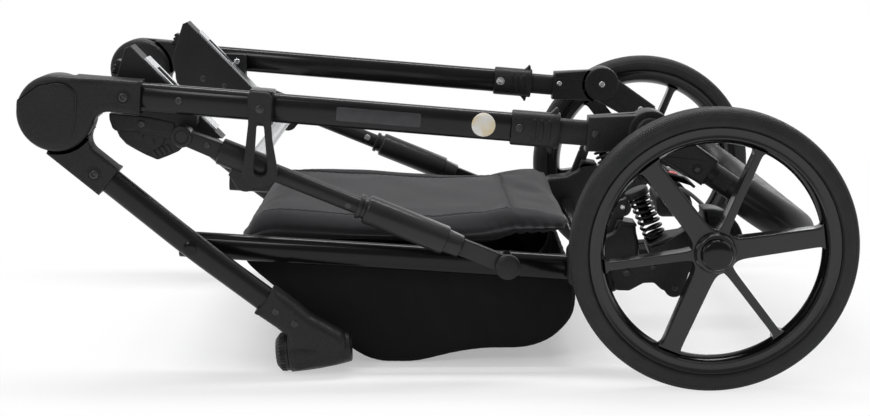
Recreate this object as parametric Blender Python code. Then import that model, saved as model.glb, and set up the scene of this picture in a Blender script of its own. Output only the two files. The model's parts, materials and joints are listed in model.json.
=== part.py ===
"""Folded chassis of a two-in-one pram, built piece by piece in metres, +Z up.

The front of the pram points along -X and its left side along -Y.  The chassis lies as it does in
storage: folded flat, without its front wheels and seat.  Most pieces are drawn in the XZ plane
and placed by their distance from the middle plane, which is called w here.
"""
import math

import bmesh
import bpy
from mathutils import Matrix, Vector

# Clearances
GAP = 0.0003            # between pieces that touch
RUN = 0.0001            # round a turning pin
PIN_FACETS = 24
PIN_TURN = 0.05         # pins and their holes are turned alike, a little off the axes

# Places across the pram: FRAME_W from the middle plane, the others each set off from one before
FRAME_W = 0.2255        # middle of the upper tubes and legs
KNUCKLE_HALF = 0.0190
KNUCKLE_OUT = FRAME_W + KNUCKLE_HALF
KNUCKLE_IN = FRAME_W - KNUCKLE_HALF
TILT_OUT_SET = 0.0130
TILT_IN_SET = 0.0150
TILT_OUT = FRAME_W + TILT_OUT_SET
TILT_IN = FRAME_W - TILT_IN_SET
STRUT_SET = 0.0020
STRUT_W = FRAME_W + STRUT_SET
SOCKET_SET = 0.0080
SOCKET_W = FRAME_W - SOCKET_SET
RAIL_SET = 0.0275
RAIL_W = FRAME_W - RAIL_SET
CAST_IN_SET = 0.0140
CAST_OUT_SET = 0.0160
CAST_IN = RAIL_W - CAST_IN_SET
CAST_OUT = RAIL_W + CAST_OUT_SET
ARM_T = 0.0086
ARM_IN = CAST_OUT + GAP
ARM_OUT = CAST_OUT + ARM_T
ARM_HUB_LEN = 0.0334
ARM_HUB_OUT = ARM_OUT + ARM_HUB_LEN
SPRING_SET = 0.0010
SPRING_W = RAIL_W + SPRING_SET
HUB_HALF = 0.0190
HUB_CLEAR = 0.0050      # between the arm's hub and the wheel's
WHEEL_W = ARM_HUB_OUT + HUB_CLEAR + HUB_HALF
ADAPTOR_SET = 0.0305
ADAPTOR_T = 0.0275
ADAPTOR_OUT = FRAME_W - ADAPTOR_SET
ADAPTOR_IN = ADAPTOR_OUT - ADAPTOR_T
HOOK_SET = 0.0191
HOOK_IN = FRAME_W + HOOK_SET

# Wheels
WHEEL_R = 0.151
TYRE_HALF = 0.0165
RIM_OUT_R = 0.1315
RIM_IN_R = 0.113
RIM_HALF = 0.0125
SPOKES = 6
SPOKE_HALF = 0.0095     # half of a spoke's depth along the axle
SPOKE_WIDE = 0.0098     # half widths of the spokes at the hub
SPOKE_SLIM = 0.0047
SPOKE_TAPER = 0.82      # width at the rim, as a share of that
SPOKE_TURN = math.radians(8.0)
HUB_R = 0.0205
HUB_CAP_R = 0.0165
HUB_CAP_H = 0.0085
AXLE_R = 0.0055
WHEEL_FACETS = 36
AXLE = (0.2905, WHEEL_R)

# Oval tubes of the frame
TUBE_H = 0.031
TUBE_T = 0.019
WALL = 0.0016
LEG_H = 0.028
INNER_H = TUBE_H - 2 * WALL - 2 * GAP
INNER_T = TUBE_T - 2 * WALL - 2 * GAP

# Front knuckle, where the upper frame and the front legs meet
KNUCKLE = (-0.400, 0.2895)
KNUCKLE_R = 0.041
KNUCKLE_CAP = 0.0016
SLEEVE_H = 0.0356
SLEEVE_T = 0.0260
SLEEVE_END = 0.0885
SLEEVE_SEAT = 0.060     # where the tubes end inside the sleeves
NECK_R = 0.016
TUBE_OFF = KNUCKLE_R - SLEEVE_H / 2
PIN_R = 0.009
UPPER_A = math.radians(-4.7)
LEG_A = math.radians(-40.0)

# Front legs
LEG_PIVOT_S = 0.199
LEG_LOW_A = math.radians(-37.5)
LEG_END = 0.122         # end of the leg tube, from the leg pivot
LEG_SLEEVE = 0.096
LEG_SLEEVE_H = 0.0345
SOCKET_A = math.radians(5.0)
SOCKET_X = -0.160
SOCKET_R = 0.0228
SOCKET_MOUTH_R = 0.0165
SOCKET_LEN = 0.068
SOCKET_BORE_R = 0.0065
SOCKET_BORE_DEEP = 0.042
LOCK_R = 0.0215
LOCK_LEN = 0.014
LOCK_RIBS = 12
CROSS_R = 0.009

# Lower rails and rear castings
RAIL_H = 0.029
RAIL_A = math.radians(-3.6)
RAIL_DROP = 0.0040      # rail axis under the leg pivot
RAIL_END = 0.415        # rear end of the rail, from the leg pivot
STUD_R = 0.0045
ARM_PIVOT = (0.2070, 0.1120)
ARM_PIN_R = 0.0055
COVER_R = 0.0380        # brake cover round the axle
COVER_SET = 0.0026
SPRING_TOP = (0.2222, 0.1930)
SPRING_LOW = (0.2420, 0.1480)
SPRING_R = 0.0108
SPRING_WIRE = 0.0019
SPRING_TURNS = 6
SPRING_STEPS = 9
SPRING_CUP_R = 0.0130
SPRING_CUP_H = 0.0090
BEAM_R = 0.010
BEAM_END = CAST_OUT + 0.0010
ARM_HUB_R = 0.0165

# Struts, in a line from the upper pivot to the lower one
STRUT_TOP = (-0.2682, 0.2639)
STRUT_FOOT = (0.0784, 0.1228)
STRUT_EYE_R = 0.0115
STRUT_EYE_HALF = 0.0090
STRUT_TUBE_R = 0.0095
STRUT_TEE = (0.0425, 0.1000)
STRUT_TEE_R = 0.0145
STRUT_CROSS_S = 0.0790
STRUT_CROSS_R = 0.0080
STRUT_SLEEVE = (0.2005, 0.2055, 0.2093, 0.3018, 0.3197)
STRUT_SLEEVE_R = 0.0158
STRUT_NECK_R = 0.0125
STRUT_STROKE = 0.0852
STRUT_DEPTH = 0.0240    # how far the strut tube is in its sleeve at rest
KNOB_R = 0.0140

# Upper frame and handle
TUBE_END = 0.5250
COLLAR = (0.4805, 0.5315)
COLLAR_H = 0.0375
COLLAR_T = 0.0250
COLLAR_FIN = 0.0060
POST_START = 0.3900
POST_SLEEVE = 0.5610
POST_SLEEVE_H = 0.0370
TILT = (0.2270, 0.2690)
TILT_R = 0.0234
TILT_PIN_R = 0.0060
TILT_BUTTON_R = 0.0160
ARM_A = math.radians(-34.0)
ARM_SLEEVE_END = 0.0790
ARM_SLEEVE_H = 0.0320
GRIP_START = 0.1130
GRIP_R = 0.0210
BAR_R = 0.0130
CORNER_R = 0.0600
GRIP_END = 0.2100

# Seat adaptors
ADAPTOR_TOP = (-0.3270, 0.3565)
ADAPTOR_TIP = (-0.2310, 0.2560)
BRACKET_OUT = FRAME_W - TUBE_T / 2 - GAP
STRIP_T = 0.0022
SLOT_HALF = 0.0070

# Transport hook
HOOK_X = -0.1833
HOOK_T = 0.0040

# Soft goods
BASKET_W = CAST_IN - GAP
CLOTH = 0.003
LID_SET = 0.0117
LID_W = BASKET_W - LID_SET

# Brake
BRAKE_HALF = 0.032
PEDAL_HALF = 0.026
PEDAL_PIVOT = (AXLE[0] - 0.002, AXLE[1] + 0.0275)
PEDAL_BOSS_R = 0.0075
CABLE_R = 0.0022

COLOURS = {
    "tube_black": ((0.022, 0.022, 0.024), 0.38, 0.6),
    "plastic_black": ((0.030, 0.030, 0.032), 0.55, 0.0),
    "rubber": ((0.035, 0.035, 0.037), 0.75, 0.0),
    "rim_black": ((0.018, 0.018, 0.019), 0.28, 0.0),
    "silver": ((0.62, 0.63, 0.64), 0.25, 1.0),
    "spring_black": ((0.020, 0.020, 0.022), 0.20, 0.4),
    "grip_leather": ((0.028, 0.027, 0.027), 0.60, 0.0),
    "fabric_grey": ((0.085, 0.085, 0.090), 0.90, 0.0),
    "fabric_black": ((0.025, 0.025, 0.028), 0.90, 0.0),
    "red": ((0.60, 0.02, 0.02), 0.40, 0.0),
}

SIDES = ((-1, "left"), (1, "right"))


def clear_scene():
    """Remove whatever the file holds."""
    for item in list(bpy.data.objects):
        bpy.data.objects.remove(item, do_unlink=True)


def collection(name):
    """Make a collection in the scene."""
    group = bpy.data.collections.new(name)
    bpy.context.scene.collection.children.link(group)
    return group


def material(name):
    """Give the named finish, made on first use."""
    if name in bpy.data.materials:
        return bpy.data.materials[name]
    colour, rough, metal = COLOURS[name]
    finish = bpy.data.materials.new(name)
    finish.use_nodes = True
    shader = finish.node_tree.nodes["Principled BSDF"]
    shader.inputs["Base Color"].default_value = (*colour, 1.0)
    shader.inputs["Roughness"].default_value = rough
    shader.inputs["Metallic"].default_value = metal
    finish.diffuse_color = (*colour, 1.0)
    return finish


# Plane geometry


def at(origin, angle, along, up=0.0):
    """Give the (x, z) of a point along a line from origin and up square to it."""
    c, s = math.cos(angle), math.sin(angle)
    return (origin[0] + along * c - up * s, origin[1] + along * s + up * c)


def arc(centre, radius, first, last, steps):
    """List the points of an arc; angles in degrees."""
    points = []
    for i in range(steps + 1):
        a = math.radians(first + (last - first) * i / steps)
        points.append((centre[0] + radius * math.cos(a), centre[1] + radius * math.sin(a)))
    return points


def heading(start, end):
    """Give the angle and length from one point to another."""
    dx, dz = end[0] - start[0], end[1] - start[1]
    return math.atan2(dz, dx), math.hypot(dx, dz)


def place(points, origin, angle):
    """Move local points of a line's frame into the XZ plane."""
    return [at(origin, angle, s, h) for s, h in points]


# Solids


def solid_of(shape, name):
    """Turn a curve object into a welded mesh object and drop the curve."""
    graph = bpy.context.evaluated_depsgraph_get()
    mesh = bpy.data.meshes.new_from_object(shape.evaluated_get(graph))
    mesh.transform(shape.matrix_world)
    work = bmesh.new()
    work.from_mesh(mesh)
    bmesh.ops.remove_doubles(work, verts=work.verts, dist=0.000001)
    bmesh.ops.recalc_face_normals(work, faces=work.faces)
    work.to_mesh(mesh)
    work.free()
    bpy.data.objects.remove(shape, do_unlink=True)
    made = bpy.data.objects.new(name, mesh)
    bpy.context.scene.collection.objects.link(made)
    return made


def slab(outlines, side, inner, outer, edge=0.0, name="slab"):
    """Extrude outlines of the XZ plane between two distances from the middle plane."""
    data = bpy.data.curves.new(name, "CURVE")
    data.dimensions = "2D"
    data.fill_mode = "BOTH"
    data.extrude = (outer - inner) / 2 - edge
    data.bevel_depth = edge
    data.bevel_resolution = 0
    data.offset = -edge
    for outline in outlines:
        spline = data.splines.new("POLY")
        spline.points.add(len(outline) - 1)
        for point, (x, z) in zip(spline.points, outline):
            point.co = (x, z, 0.0, 1.0)
        spline.use_cyclic_u = True
    shape = bpy.data.objects.new(name, data)
    bpy.context.scene.collection.objects.link(shape)
    shape.location = (0.0, side * (inner + outer) / 2, 0.0)
    shape.rotation_euler = (math.radians(90.0), 0.0, 0.0)
    bpy.context.view_layer.update()
    return solid_of(shape, name)


def turned(profile, matrix, facets, name="turned"):
    """Spin a closed or axis-to-axis profile of (along, radius) points round the local Z axis."""
    mesh = bpy.data.meshes.new(name)
    work = bmesh.new()
    verts = [work.verts.new((r, 0.0, z)) for z, r in profile]
    pairs = list(zip(verts, verts[1:] + verts[:1]))
    edges = [work.edges.new(pair) for pair in pairs if pair[0].co.x > 0.0 or pair[1].co.x > 0.0]
    bmesh.ops.spin(work, geom=verts + edges, cent=(0, 0, 0), axis=(0, 0, 1), dvec=(0, 0, 0),
                   angle=math.tau, steps=facets, use_merge=True, use_duplicate=False)
    bmesh.ops.remove_doubles(work, verts=work.verts, dist=0.000001)
    bmesh.ops.recalc_face_normals(work, faces=work.faces)
    work.to_mesh(mesh)
    work.free()
    mesh.transform(matrix)
    if matrix.determinant() < 0:
        mesh.flip_normals()
    made = bpy.data.objects.new(name, mesh)
    bpy.context.scene.collection.objects.link(made)
    return made


def across(side, x, z, turn=0.0):
    """Matrix whose local Z runs outwards from the middle plane at (x, z)."""
    frame = Matrix(((1, 0, 0, x), (0, 0, side, 0), (0, -side, 0, z), (0, 0, 0, 1)))
    return frame @ Matrix.Rotation(turn, 4, "Z")


def leaning(side, point, w, angle, squash=1.0):
    """Matrix whose local Z runs along an angle of the XZ plane, with Y squashed."""
    c, s = math.cos(angle), math.sin(angle)
    return Matrix(((-s, 0, c, point[0]),
                   (0, -squash, 0, side * w),
                   (c, 0, s, point[1]),
                   (0, 0, 0, 1)))


def disc(side, centre, radius, inner, outer, facets=PIN_FACETS, name="disc", turn=PIN_TURN):
    """Solid disc between two distances from the middle plane."""
    profile = [(inner, 0.0), (inner, radius), (outer, radius), (outer, 0.0)]
    return turned(profile, across(side, *centre, turn), facets, name)


def head(side, centre, radius, split, face, edge, facets, name="head"):
    """Solid disc from a split plane to its face, with the face's edge rounded."""
    step = math.copysign(edge, face - split)
    profile = [(split, 0.0), (split, radius), (face - step, radius), (face - step * 0.3, radius - edge * 0.3),
               (face, radius - edge), (face, 0.0)]
    return turned(profile, across(side, *centre), facets, name)


def rod(side, point, w, angle, first, last, radius, squash=1.0, facets=16, name="rod"):
    """Solid round or oval rod along an angle of the XZ plane."""
    profile = [(first, 0.0), (first, radius), (last, radius), (last, 0.0)]
    return turned(profile, leaning(side, point, w, angle, squash), facets, name)


def pipe(side, point, w, angle, first, last, height, width, wall, facets=16, name="pipe"):
    """Hollow oval pipe; its wall is even at the top and at the sides."""
    outer = oval(side, point, w, angle, first, last, height, width, facets, name)
    bore = oval(side, point, w, angle, first - 0.01, last + 0.01,
                height - 2 * wall, width - 2 * wall, facets, name + "_bore")
    return cut(outer, bore)


def oval(side, point, w, angle, first, last, height, width, facets=16, name="oval"):
    """Solid oval rod."""
    return rod(side, point, w, angle, first, last, height / 2, width / height, facets, name)


def wire(points, radius, resolution, name, cyclic=False):
    """Round wire through 3-D points."""
    data = bpy.data.curves.new(name, "CURVE")
    data.dimensions = "3D"
    data.bevel_depth = radius
    data.bevel_resolution = resolution
    data.use_fill_caps = True
    spline = data.splines.new("POLY")
    spline.points.add(len(points) - 1)
    for point, co in zip(spline.points, points):
        point.co = (*co, 1.0)
    spline.use_cyclic_u = cyclic
    shape = bpy.data.objects.new(name, data)
    bpy.context.scene.collection.objects.link(shape)
    bpy.context.view_layer.update()
    return solid_of(shape, name)


def combine(target, tool, operation):
    """Add an exact Boolean and put the tool away with the guides."""
    step = target.modifiers.new(operation.lower(), "BOOLEAN")
    step.operation = operation
    step.solver = "EXACT"
    step.object = tool
    for group in list(tool.users_collection):
        group.objects.unlink(tool)
    GUIDES.objects.link(tool)
    tool.hide_render = True
    tool.display_type = "WIRE"
    return target


def join(target, *tools):
    """Unite solids with the target."""
    for tool in tools:
        combine(target, tool, "UNION")
    return target


def cut(target, *tools):
    """Cut solids out of the target."""
    for tool in tools:
        combine(target, tool, "DIFFERENCE")
    return target


def finish(thing, name, look, pivot=None):
    """Name a piece, give it its material and hang it on its pivot."""
    thing.name = name
    thing.data.name = name
    own = material(look).copy()
    own.name = name + "_" + look
    thing.data.materials.clear()
    thing.data.materials.append(own)
    thing.data.shade_smooth()
    thing.data.set_sharp_from_angle(angle=math.radians(40.0))
    for group in list(thing.users_collection):
        group.objects.unlink(thing)
    MODEL.objects.link(thing)
    if pivot is not None:
        thing.parent = pivot
        thing.matrix_parent_inverse = pivot.matrix_world.inverted()
    return thing


def pivot(name, x, z, w=0.0, side=1):
    """Empty on a joint's axis."""
    empty = bpy.data.objects.new(name, None)
    empty.empty_display_size = 0.02
    empty.location = (x, side * w, z)
    MODEL.objects.link(empty)
    bpy.context.view_layer.update()
    return empty


# Key points

LEG_PIVOT = at(KNUCKLE, LEG_A, LEG_PIVOT_S, -TUBE_OFF - 0.0013)
RAIL_START = (LEG_PIVOT[0], LEG_PIVOT[1] - RAIL_DROP)
UPPER = at(KNUCKLE, UPPER_A, 0.0, TUBE_OFF)
LEG = at(KNUCKLE, LEG_A, 0.0, -TUBE_OFF)
STRUT_A, STRUT_LEN = heading(STRUT_TOP, STRUT_FOOT)
SOCKET = (SOCKET_X, SOCKET_R * math.cos(SOCKET_A))


# Front knuckle and legs


def sleeve_outline(flip):
    """Outline of a knuckle half: round head, concave neck and straight sleeve."""
    low = KNUCKLE_R - SLEEVE_H
    neck = (SLEEVE_END - 0.0325, low - NECK_R)
    points = [(SLEEVE_END, KNUCKLE_R)]
    points += arc((0, 0), KNUCKLE_R - GAP, 90, 345, 17)
    points += arc(neck, NECK_R, 180, 90, 4)
    points += [(SLEEVE_END, low)]
    return [(s, h * flip) for s, h in points]


def knuckle_half(side, angle, flip, face, split, height):
    """One half of the knuckle: a head disc on its own side of the split and a full sleeve."""
    offset = TUBE_OFF * flip
    beyond = split + math.copysign(0.03, split - face)
    start = split + math.copysign(0.004, split - face)
    body = slab([place(sleeve_outline(flip), KNUCKLE, angle)], side,
                FRAME_W - SLEEVE_T / 2, FRAME_W + SLEEVE_T / 2, 0.0025)
    join(body, head(side, KNUCKLE, KNUCKLE_R, start, face, 0.0035, 28))
    cut(body, disc(side, KNUCKLE, KNUCKLE_R + 0.0006, split, beyond, 28, "knuckle_clear", 0.09))
    bore = oval(side, at(KNUCKLE, angle, 0, offset), FRAME_W, angle, SLEEVE_SEAT, SLEEVE_END + 0.01,
                height + 2 * GAP, TUBE_T + 2 * GAP, name="sleeve_bore")
    return cut(body, bore)


def knuckle_housing(side, hand, pivot_k):
    """Outer half with the raised cap; it turns with the upper tube."""
    body = knuckle_half(side, UPPER_A, 1, KNUCKLE_OUT, FRAME_W + GAP, TUBE_H)
    cut(body, disc(side, KNUCKLE, PIN_R + RUN, KNUCKLE_IN - 0.005, KNUCKLE_OUT - 0.004, name="pin_hole"))
    cap = arc((-0.001, 0), KNUCKLE_R - 0.006, 62, 285, 14) + [(0.021, -0.021), (0.0245, 0.014)]
    join(body, slab([place(cap, KNUCKLE, UPPER_A)], side, KNUCKLE_OUT - 0.002,
                    KNUCKLE_OUT + KNUCKLE_CAP))
    return finish(body, f"knuckle_housing_{hand}", "plastic_black", pivot_k)


def knuckle_core(side, hand, pivot_l):
    """Inner half with the hinge pin; it turns with the front leg."""
    body = knuckle_half(side, LEG_A, -1, KNUCKLE_IN, FRAME_W, LEG_H)
    join(body, disc(side, KNUCKLE, PIN_R, FRAME_W - 0.004, KNUCKLE_OUT - 0.0045, name="pin"))
    return finish(body, f"knuckle_core_{hand}", "plastic_black", pivot_l)


def front_leg(side, hand, pivot_l):
    """Leg tube with a slight bend at its pivot, drilled for the pivot stud."""
    first = at(KNUCKLE, LEG_A, SLEEVE_SEAT + GAP, -TUBE_OFF)
    bend = at(KNUCKLE, LEG_A, LEG_PIVOT_S, -TUBE_OFF)
    last = at(bend, LEG_LOW_A, LEG_END)
    path = [(x, 0.0, z) for x, z in (first, bend, last)]
    tube = wire(path, LEG_H / 2, 6, "leg")
    squash = Matrix.Diagonal((1.0, TUBE_T / LEG_H, 1.0, 1.0))
    tube.data.transform(Matrix.Translation((0, side * FRAME_W, 0)) @ squash)
    hole = disc(side, LEG_PIVOT, STUD_R + RUN, FRAME_W - 0.02, FRAME_W + 0.02, name="leg_hole")
    cut(tube, hole)
    return finish(tube, f"front_leg_{hand}", "tube_black", pivot_l)


def wheel_socket(side, hand, pivot_l):
    """Moulded foot of the leg, with the bore for a front wheel's stem."""
    bend = at(KNUCKLE, LEG_A, LEG_PIVOT_S, -TUBE_OFF)
    half = LEG_SLEEVE_H / 2
    top = at(bend, LEG_LOW_A, LEG_SLEEVE, half)
    low = at(bend, LEG_LOW_A, LEG_SLEEVE, -half)
    mouth_top = at(SOCKET, SOCKET_A, SOCKET_LEN - 0.004, SOCKET_MOUTH_R)
    mouth_low = at(SOCKET, SOCKET_A, SOCKET_LEN - 0.004, -SOCKET_MOUTH_R + 0.002)
    shoulder = at(bend, LEG_LOW_A, LEG_SLEEVE + 0.036, half)
    heel = at(SOCKET, SOCKET_A, 0.001, -SOCKET_R + 0.003)
    crown = at(SOCKET, SOCKET_A, 0.001, SOCKET_R)
    notch = at(bend, LEG_LOW_A, LEG_SLEEVE + 0.026, -half)
    outline = [top, shoulder, mouth_top, mouth_low, heel, crown, notch, low]
    body = slab([outline], side, FRAME_W - 0.0130, FRAME_W + 0.0130, 0.004)
    barrel = turned([(0.0, 0.0), (0.0, SOCKET_R), (0.030, SOCKET_R - 0.0010),
                     (SOCKET_LEN, SOCKET_MOUTH_R), (SOCKET_LEN, 0.0)],
                    leaning(side, SOCKET, SOCKET_W, SOCKET_A), 20, "barrel")
    join(body, barrel)
    cut(body, oval(side, bend, FRAME_W, LEG_LOW_A, LEG_SLEEVE - 0.02, LEG_END + 0.001,
                   LEG_H + 2 * GAP, TUBE_T + 2 * GAP, 16, "leg_bore"))
    cut(body, rod(side, SOCKET, SOCKET_W, SOCKET_A, SOCKET_LEN - SOCKET_BORE_DEEP, SOCKET_LEN + 0.01,
                  SOCKET_BORE_R, facets=32, name="stem_bore"))
    return finish(body, f"wheel_socket_{hand}", "plastic_black", pivot_l)


def ribbed_outline(radius, ribs, deep):
    """Round outline with square ribs."""
    points = []
    for i in range(ribs):
        for part, r in ((0.0, radius), (0.5, radius), (0.5, radius - deep), (1.0, radius - deep)):
            a = math.tau * (i + part) / ribs
            points.append((r * math.cos(a), r * math.sin(a)))
    return points


def swivel_lock(side, hand, pivot_s):
    """Ribbed knob at the head of the socket."""
    knob = turned([(-LOCK_LEN, 0.0), (-LOCK_LEN, LOCK_R - 0.006), (-LOCK_LEN + 0.005, LOCK_R),
                   (-GAP, LOCK_R), (-GAP, 0.0)],
                  leaning(side, SOCKET, SOCKET_W, SOCKET_A), LOCK_RIBS * 2, "knob")
    mesh = knob.data
    axis = leaning(side, SOCKET, SOCKET_W, SOCKET_A)
    back = axis.inverted()
    for vert in mesh.vertices:
        local = back @ vert.co
        turn = round(math.atan2(local.y, local.x) / math.tau * LOCK_RIBS * 2)
        if turn % 2 and math.hypot(local.x, local.y) > LOCK_R - 0.001:
            vert.co = axis @ Vector((local.x * 0.93, local.y * 0.93, local.z))
    return finish(knob, f"swivel_lock_{hand}", "plastic_black", pivot_s)


def front_cross_tube(pivot_l):
    """Tube between the two leg feet."""
    bend = at(KNUCKLE, LEG_A, LEG_PIVOT_S, -TUBE_OFF)
    centre = at(bend, LEG_LOW_A, LEG_SLEEVE + 0.016, -0.005)
    reach = FRAME_W - 0.0130 - GAP
    tube = turned([(-reach, CROSS_R - WALL), (-reach, CROSS_R), (reach, CROSS_R),
                   (reach, CROSS_R - WALL)], across(1, *centre), 16, "cross")
    return finish(tube, "front_cross_tube", "tube_black", pivot_l)


# Lower frame


def lower_rail(side, hand):
    """Side rail with the fixed stud on which the front leg turns."""
    rail = pipe(side, RAIL_START, RAIL_W, RAIL_A, -0.017, RAIL_END, RAIL_H, TUBE_T, WALL, 16)
    stud = turned([(RAIL_W - 0.004, 0.0), (RAIL_W - 0.004, 0.0095), (FRAME_W - TUBE_T / 2 - GAP, 0.0095),
                   (FRAME_W - TUBE_T / 2 - GAP, STUD_R), (FRAME_W + TUBE_T / 2 + GAP, STUD_R),
                   (FRAME_W + TUBE_T / 2 + GAP, 0.0075), (FRAME_W + TUBE_T / 2 + 0.0030, 0.0060),
                   (FRAME_W + TUBE_T / 2 + 0.0030, 0.0)],
                  across(side, *LEG_PIVOT, PIN_TURN), PIN_FACETS, "stud")
    join(rail, stud)
    foot = turned([(RAIL_W - 0.003, 0.0), (RAIL_W - 0.003, 0.0090), (STRUT_W - 0.0052, 0.0090),
                   (STRUT_W - 0.0052, STUD_R), (STRUT_W + 0.0062, STUD_R), (STRUT_W + 0.0062, 0.0)],
                  across(side, *STRUT_FOOT, 2 * PIN_TURN), PIN_FACETS, "foot_stud")
    join(rail, foot)
    return finish(rail, f"lower_rail_{hand}", "tube_black")


def rear_housing(side, hand):
    """Moulded end of the rail: grips the tube, carries the arm pivot and the spring's top."""
    rear = at(RAIL_START, RAIL_A, RAIL_END)
    outline = [(0.1450, 0.0960), (0.1450, 0.1340), (0.1560, 0.1450), (0.1780, 0.1470), (0.1950, 0.1560),
               (0.2000, 0.1680), (0.2185, 0.1640), (0.2195, 0.1545), (0.2225, 0.1440), (0.2230, 0.1240)]
    outline += arc(ARM_PIVOT, 0.0160, 20, -80, 4)
    outline += [(0.1960, 0.0880), (0.1850, 0.0880)]
    body = slab([outline], side, CAST_IN, CAST_OUT, 0.0035)
    top, length = heading(SPRING_LOW, SPRING_TOP)
    strap = [(0.1830, 0.1450), (0.1900, 0.1640), (0.1960, 0.1800)]
    strap += arc((0.2053, 0.1813), 0.0085, 190, 90, 4)
    strap += place([(0.007, 0.002), (0.001, 0.002), (0.001, 0.0125)], SPRING_TOP, top)
    strap += [(0.2095, 0.1800), (0.2050, 0.1660), (0.2020, 0.1500)]
    join(body, slab([strap], side, SPRING_W - 0.0045, SPRING_W + 0.0045))
    cup = turned([(GAP, 0.0), (GAP, SPRING_CUP_R), (SPRING_CUP_H - 0.002, SPRING_CUP_R),
                  (SPRING_CUP_H, SPRING_CUP_R - 0.002), (SPRING_CUP_H, 0.0)],
                 leaning(side, SPRING_TOP, SPRING_W, top), 16, "cup")
    join(body, cup)
    cut(body, oval(side, RAIL_START, RAIL_W, RAIL_A, RAIL_END - 0.08, RAIL_END + GAP,
                   RAIL_H + 2 * GAP, TUBE_T + 2 * GAP, 16, "rail_bore"))
    join(body, disc(side, ARM_PIVOT, ARM_PIN_R, CAST_OUT - 0.004, ARM_OUT - 0.0008, name="arm_pin"))
    return finish(body, f"rear_housing_{hand}", "plastic_black")


def rear_cross_tube():
    """Tube between the two rear housings."""
    reach = CAST_IN - GAP
    tube = turned([(-reach, BEAM_R - WALL), (-reach, BEAM_R), (reach, BEAM_R), (reach, BEAM_R - WALL)],
                  across(1, 0.1800, 0.1080), 16, "beam")
    return finish(tube, "rear_cross_tube", "tube_black")


def swing_arm(side, hand, pivot_a):
    """Suspension arm: plate on the pivot, spring seat, axle hub and axle pin."""
    outline = arc(ARM_PIVOT, 0.0150, 120, 220, 4)
    outline += [(0.1960, 0.0930), (0.2120, 0.0925), (0.2270, 0.1010), (0.2385, 0.1015), (0.2465, 0.0940)]
    outline += arc((0.2610, 0.0960), 0.0110, 200, 340, 5)
    outline += [(0.2760, 0.1120)]
    outline += arc(AXLE, ARM_HUB_R, -60, 100, 6)
    outline += [(0.2700, 0.1600), (0.2540, 0.1500), (0.2300, 0.1300), (0.2120, 0.1265)]
    plate = slab([outline], side, ARM_IN, ARM_OUT)
    base, length = heading(SPRING_TOP, SPRING_LOW)
    seat = [at(SPRING_LOW, base, GAP, 0.0130), at(SPRING_LOW, base, GAP, -0.0130), (0.2340, 0.1310),
            (0.2720, 0.1180), (0.2840, 0.1350), (0.2740, 0.1560)]
    join(plate, slab([seat], side, SPRING_W - SPRING_CUP_R, ARM_OUT - 0.001, 0.003))
    start = CAST_OUT - 0.0140
    hub = turned([(start, 0.0), (start, ARM_HUB_R), (ARM_HUB_OUT, ARM_HUB_R - 0.0030),
                  (ARM_HUB_OUT, AXLE_R), (WHEEL_W + HUB_HALF - 0.002, AXLE_R),
                  (WHEEL_W + HUB_HALF - 0.002, 0.0)], across(side, *AXLE, PIN_TURN), PIN_FACETS, "hub")
    join(plate, hub)
    cover = arc(AXLE, COVER_R, 100, 8, 7) + arc(AXLE, ARM_HUB_R - 0.0045, 8, 100, 3)
    join(plate, slab([cover], side, ARM_OUT - COVER_SET, ARM_HUB_OUT - 0.0060))
    cut(plate, disc(side, ARM_PIVOT, ARM_PIN_R + RUN, start, ARM_OUT + 0.01, name="arm_hole"))
    cut(plate, disc(side, AXLE, BEAM_R + 2 * GAP, CAST_IN, BEAM_END, 16, "beam_hole"))
    return finish(plate, f"swing_arm_{hand}", "plastic_black", pivot_a)


def axle_tube(pivot_a):
    """Tube that joins the two swing arms on the axle line."""
    reach = BEAM_END - GAP
    tube = turned([(-reach, BEAM_R - WALL), (-reach, BEAM_R), (reach, BEAM_R), (reach, BEAM_R - WALL)],
                  across(1, *AXLE), 16, "axle")
    return finish(tube, "axle_tube", "tube_black", pivot_a)


def coil_spring(side, hand):
    """Coil spring between the fixed cup and the arm's seat."""
    angle, length = heading(SPRING_LOW, SPRING_TOP)
    frame = leaning(side, SPRING_LOW, SPRING_W, angle)
    points = []
    count = SPRING_TURNS * SPRING_STEPS
    usable = length - 2 * SPRING_WIRE - 2 * GAP
    for i in range(count + 1):
        a = math.tau * i / SPRING_STEPS
        rise = GAP + SPRING_WIRE + usable * i / count
        points.append(frame @ Vector((SPRING_R * math.cos(a), SPRING_R * math.sin(a), rise)))
    return finish(wire(points, SPRING_WIRE, 2, "coil"), f"spring_{hand}", "spring_black")


# Wheels


def wheel_window(index):
    """Outline of the opening between two spokes."""
    step = math.tau / SPOKES
    start = SPOKE_TURN + index * step
    widths = (SPOKE_WIDE, SPOKE_SLIM) if index % 2 == 0 else (SPOKE_SLIM, SPOKE_WIDE)
    outer, inner = RIM_IN_R - 0.001, HUB_R + 0.010
    first_out = start + math.asin(widths[0] * SPOKE_TAPER / outer)
    last_out = start + step - math.asin(widths[1] * SPOKE_TAPER / outer)
    first_in = start + math.asin(widths[0] / inner)
    last_in = start + step - math.asin(widths[1] / inner)
    points = arc(AXLE, outer, math.degrees(first_out), math.degrees(last_out), 6)
    points += arc(AXLE, inner, math.degrees(last_in), math.degrees(first_in), 1)
    return points


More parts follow.
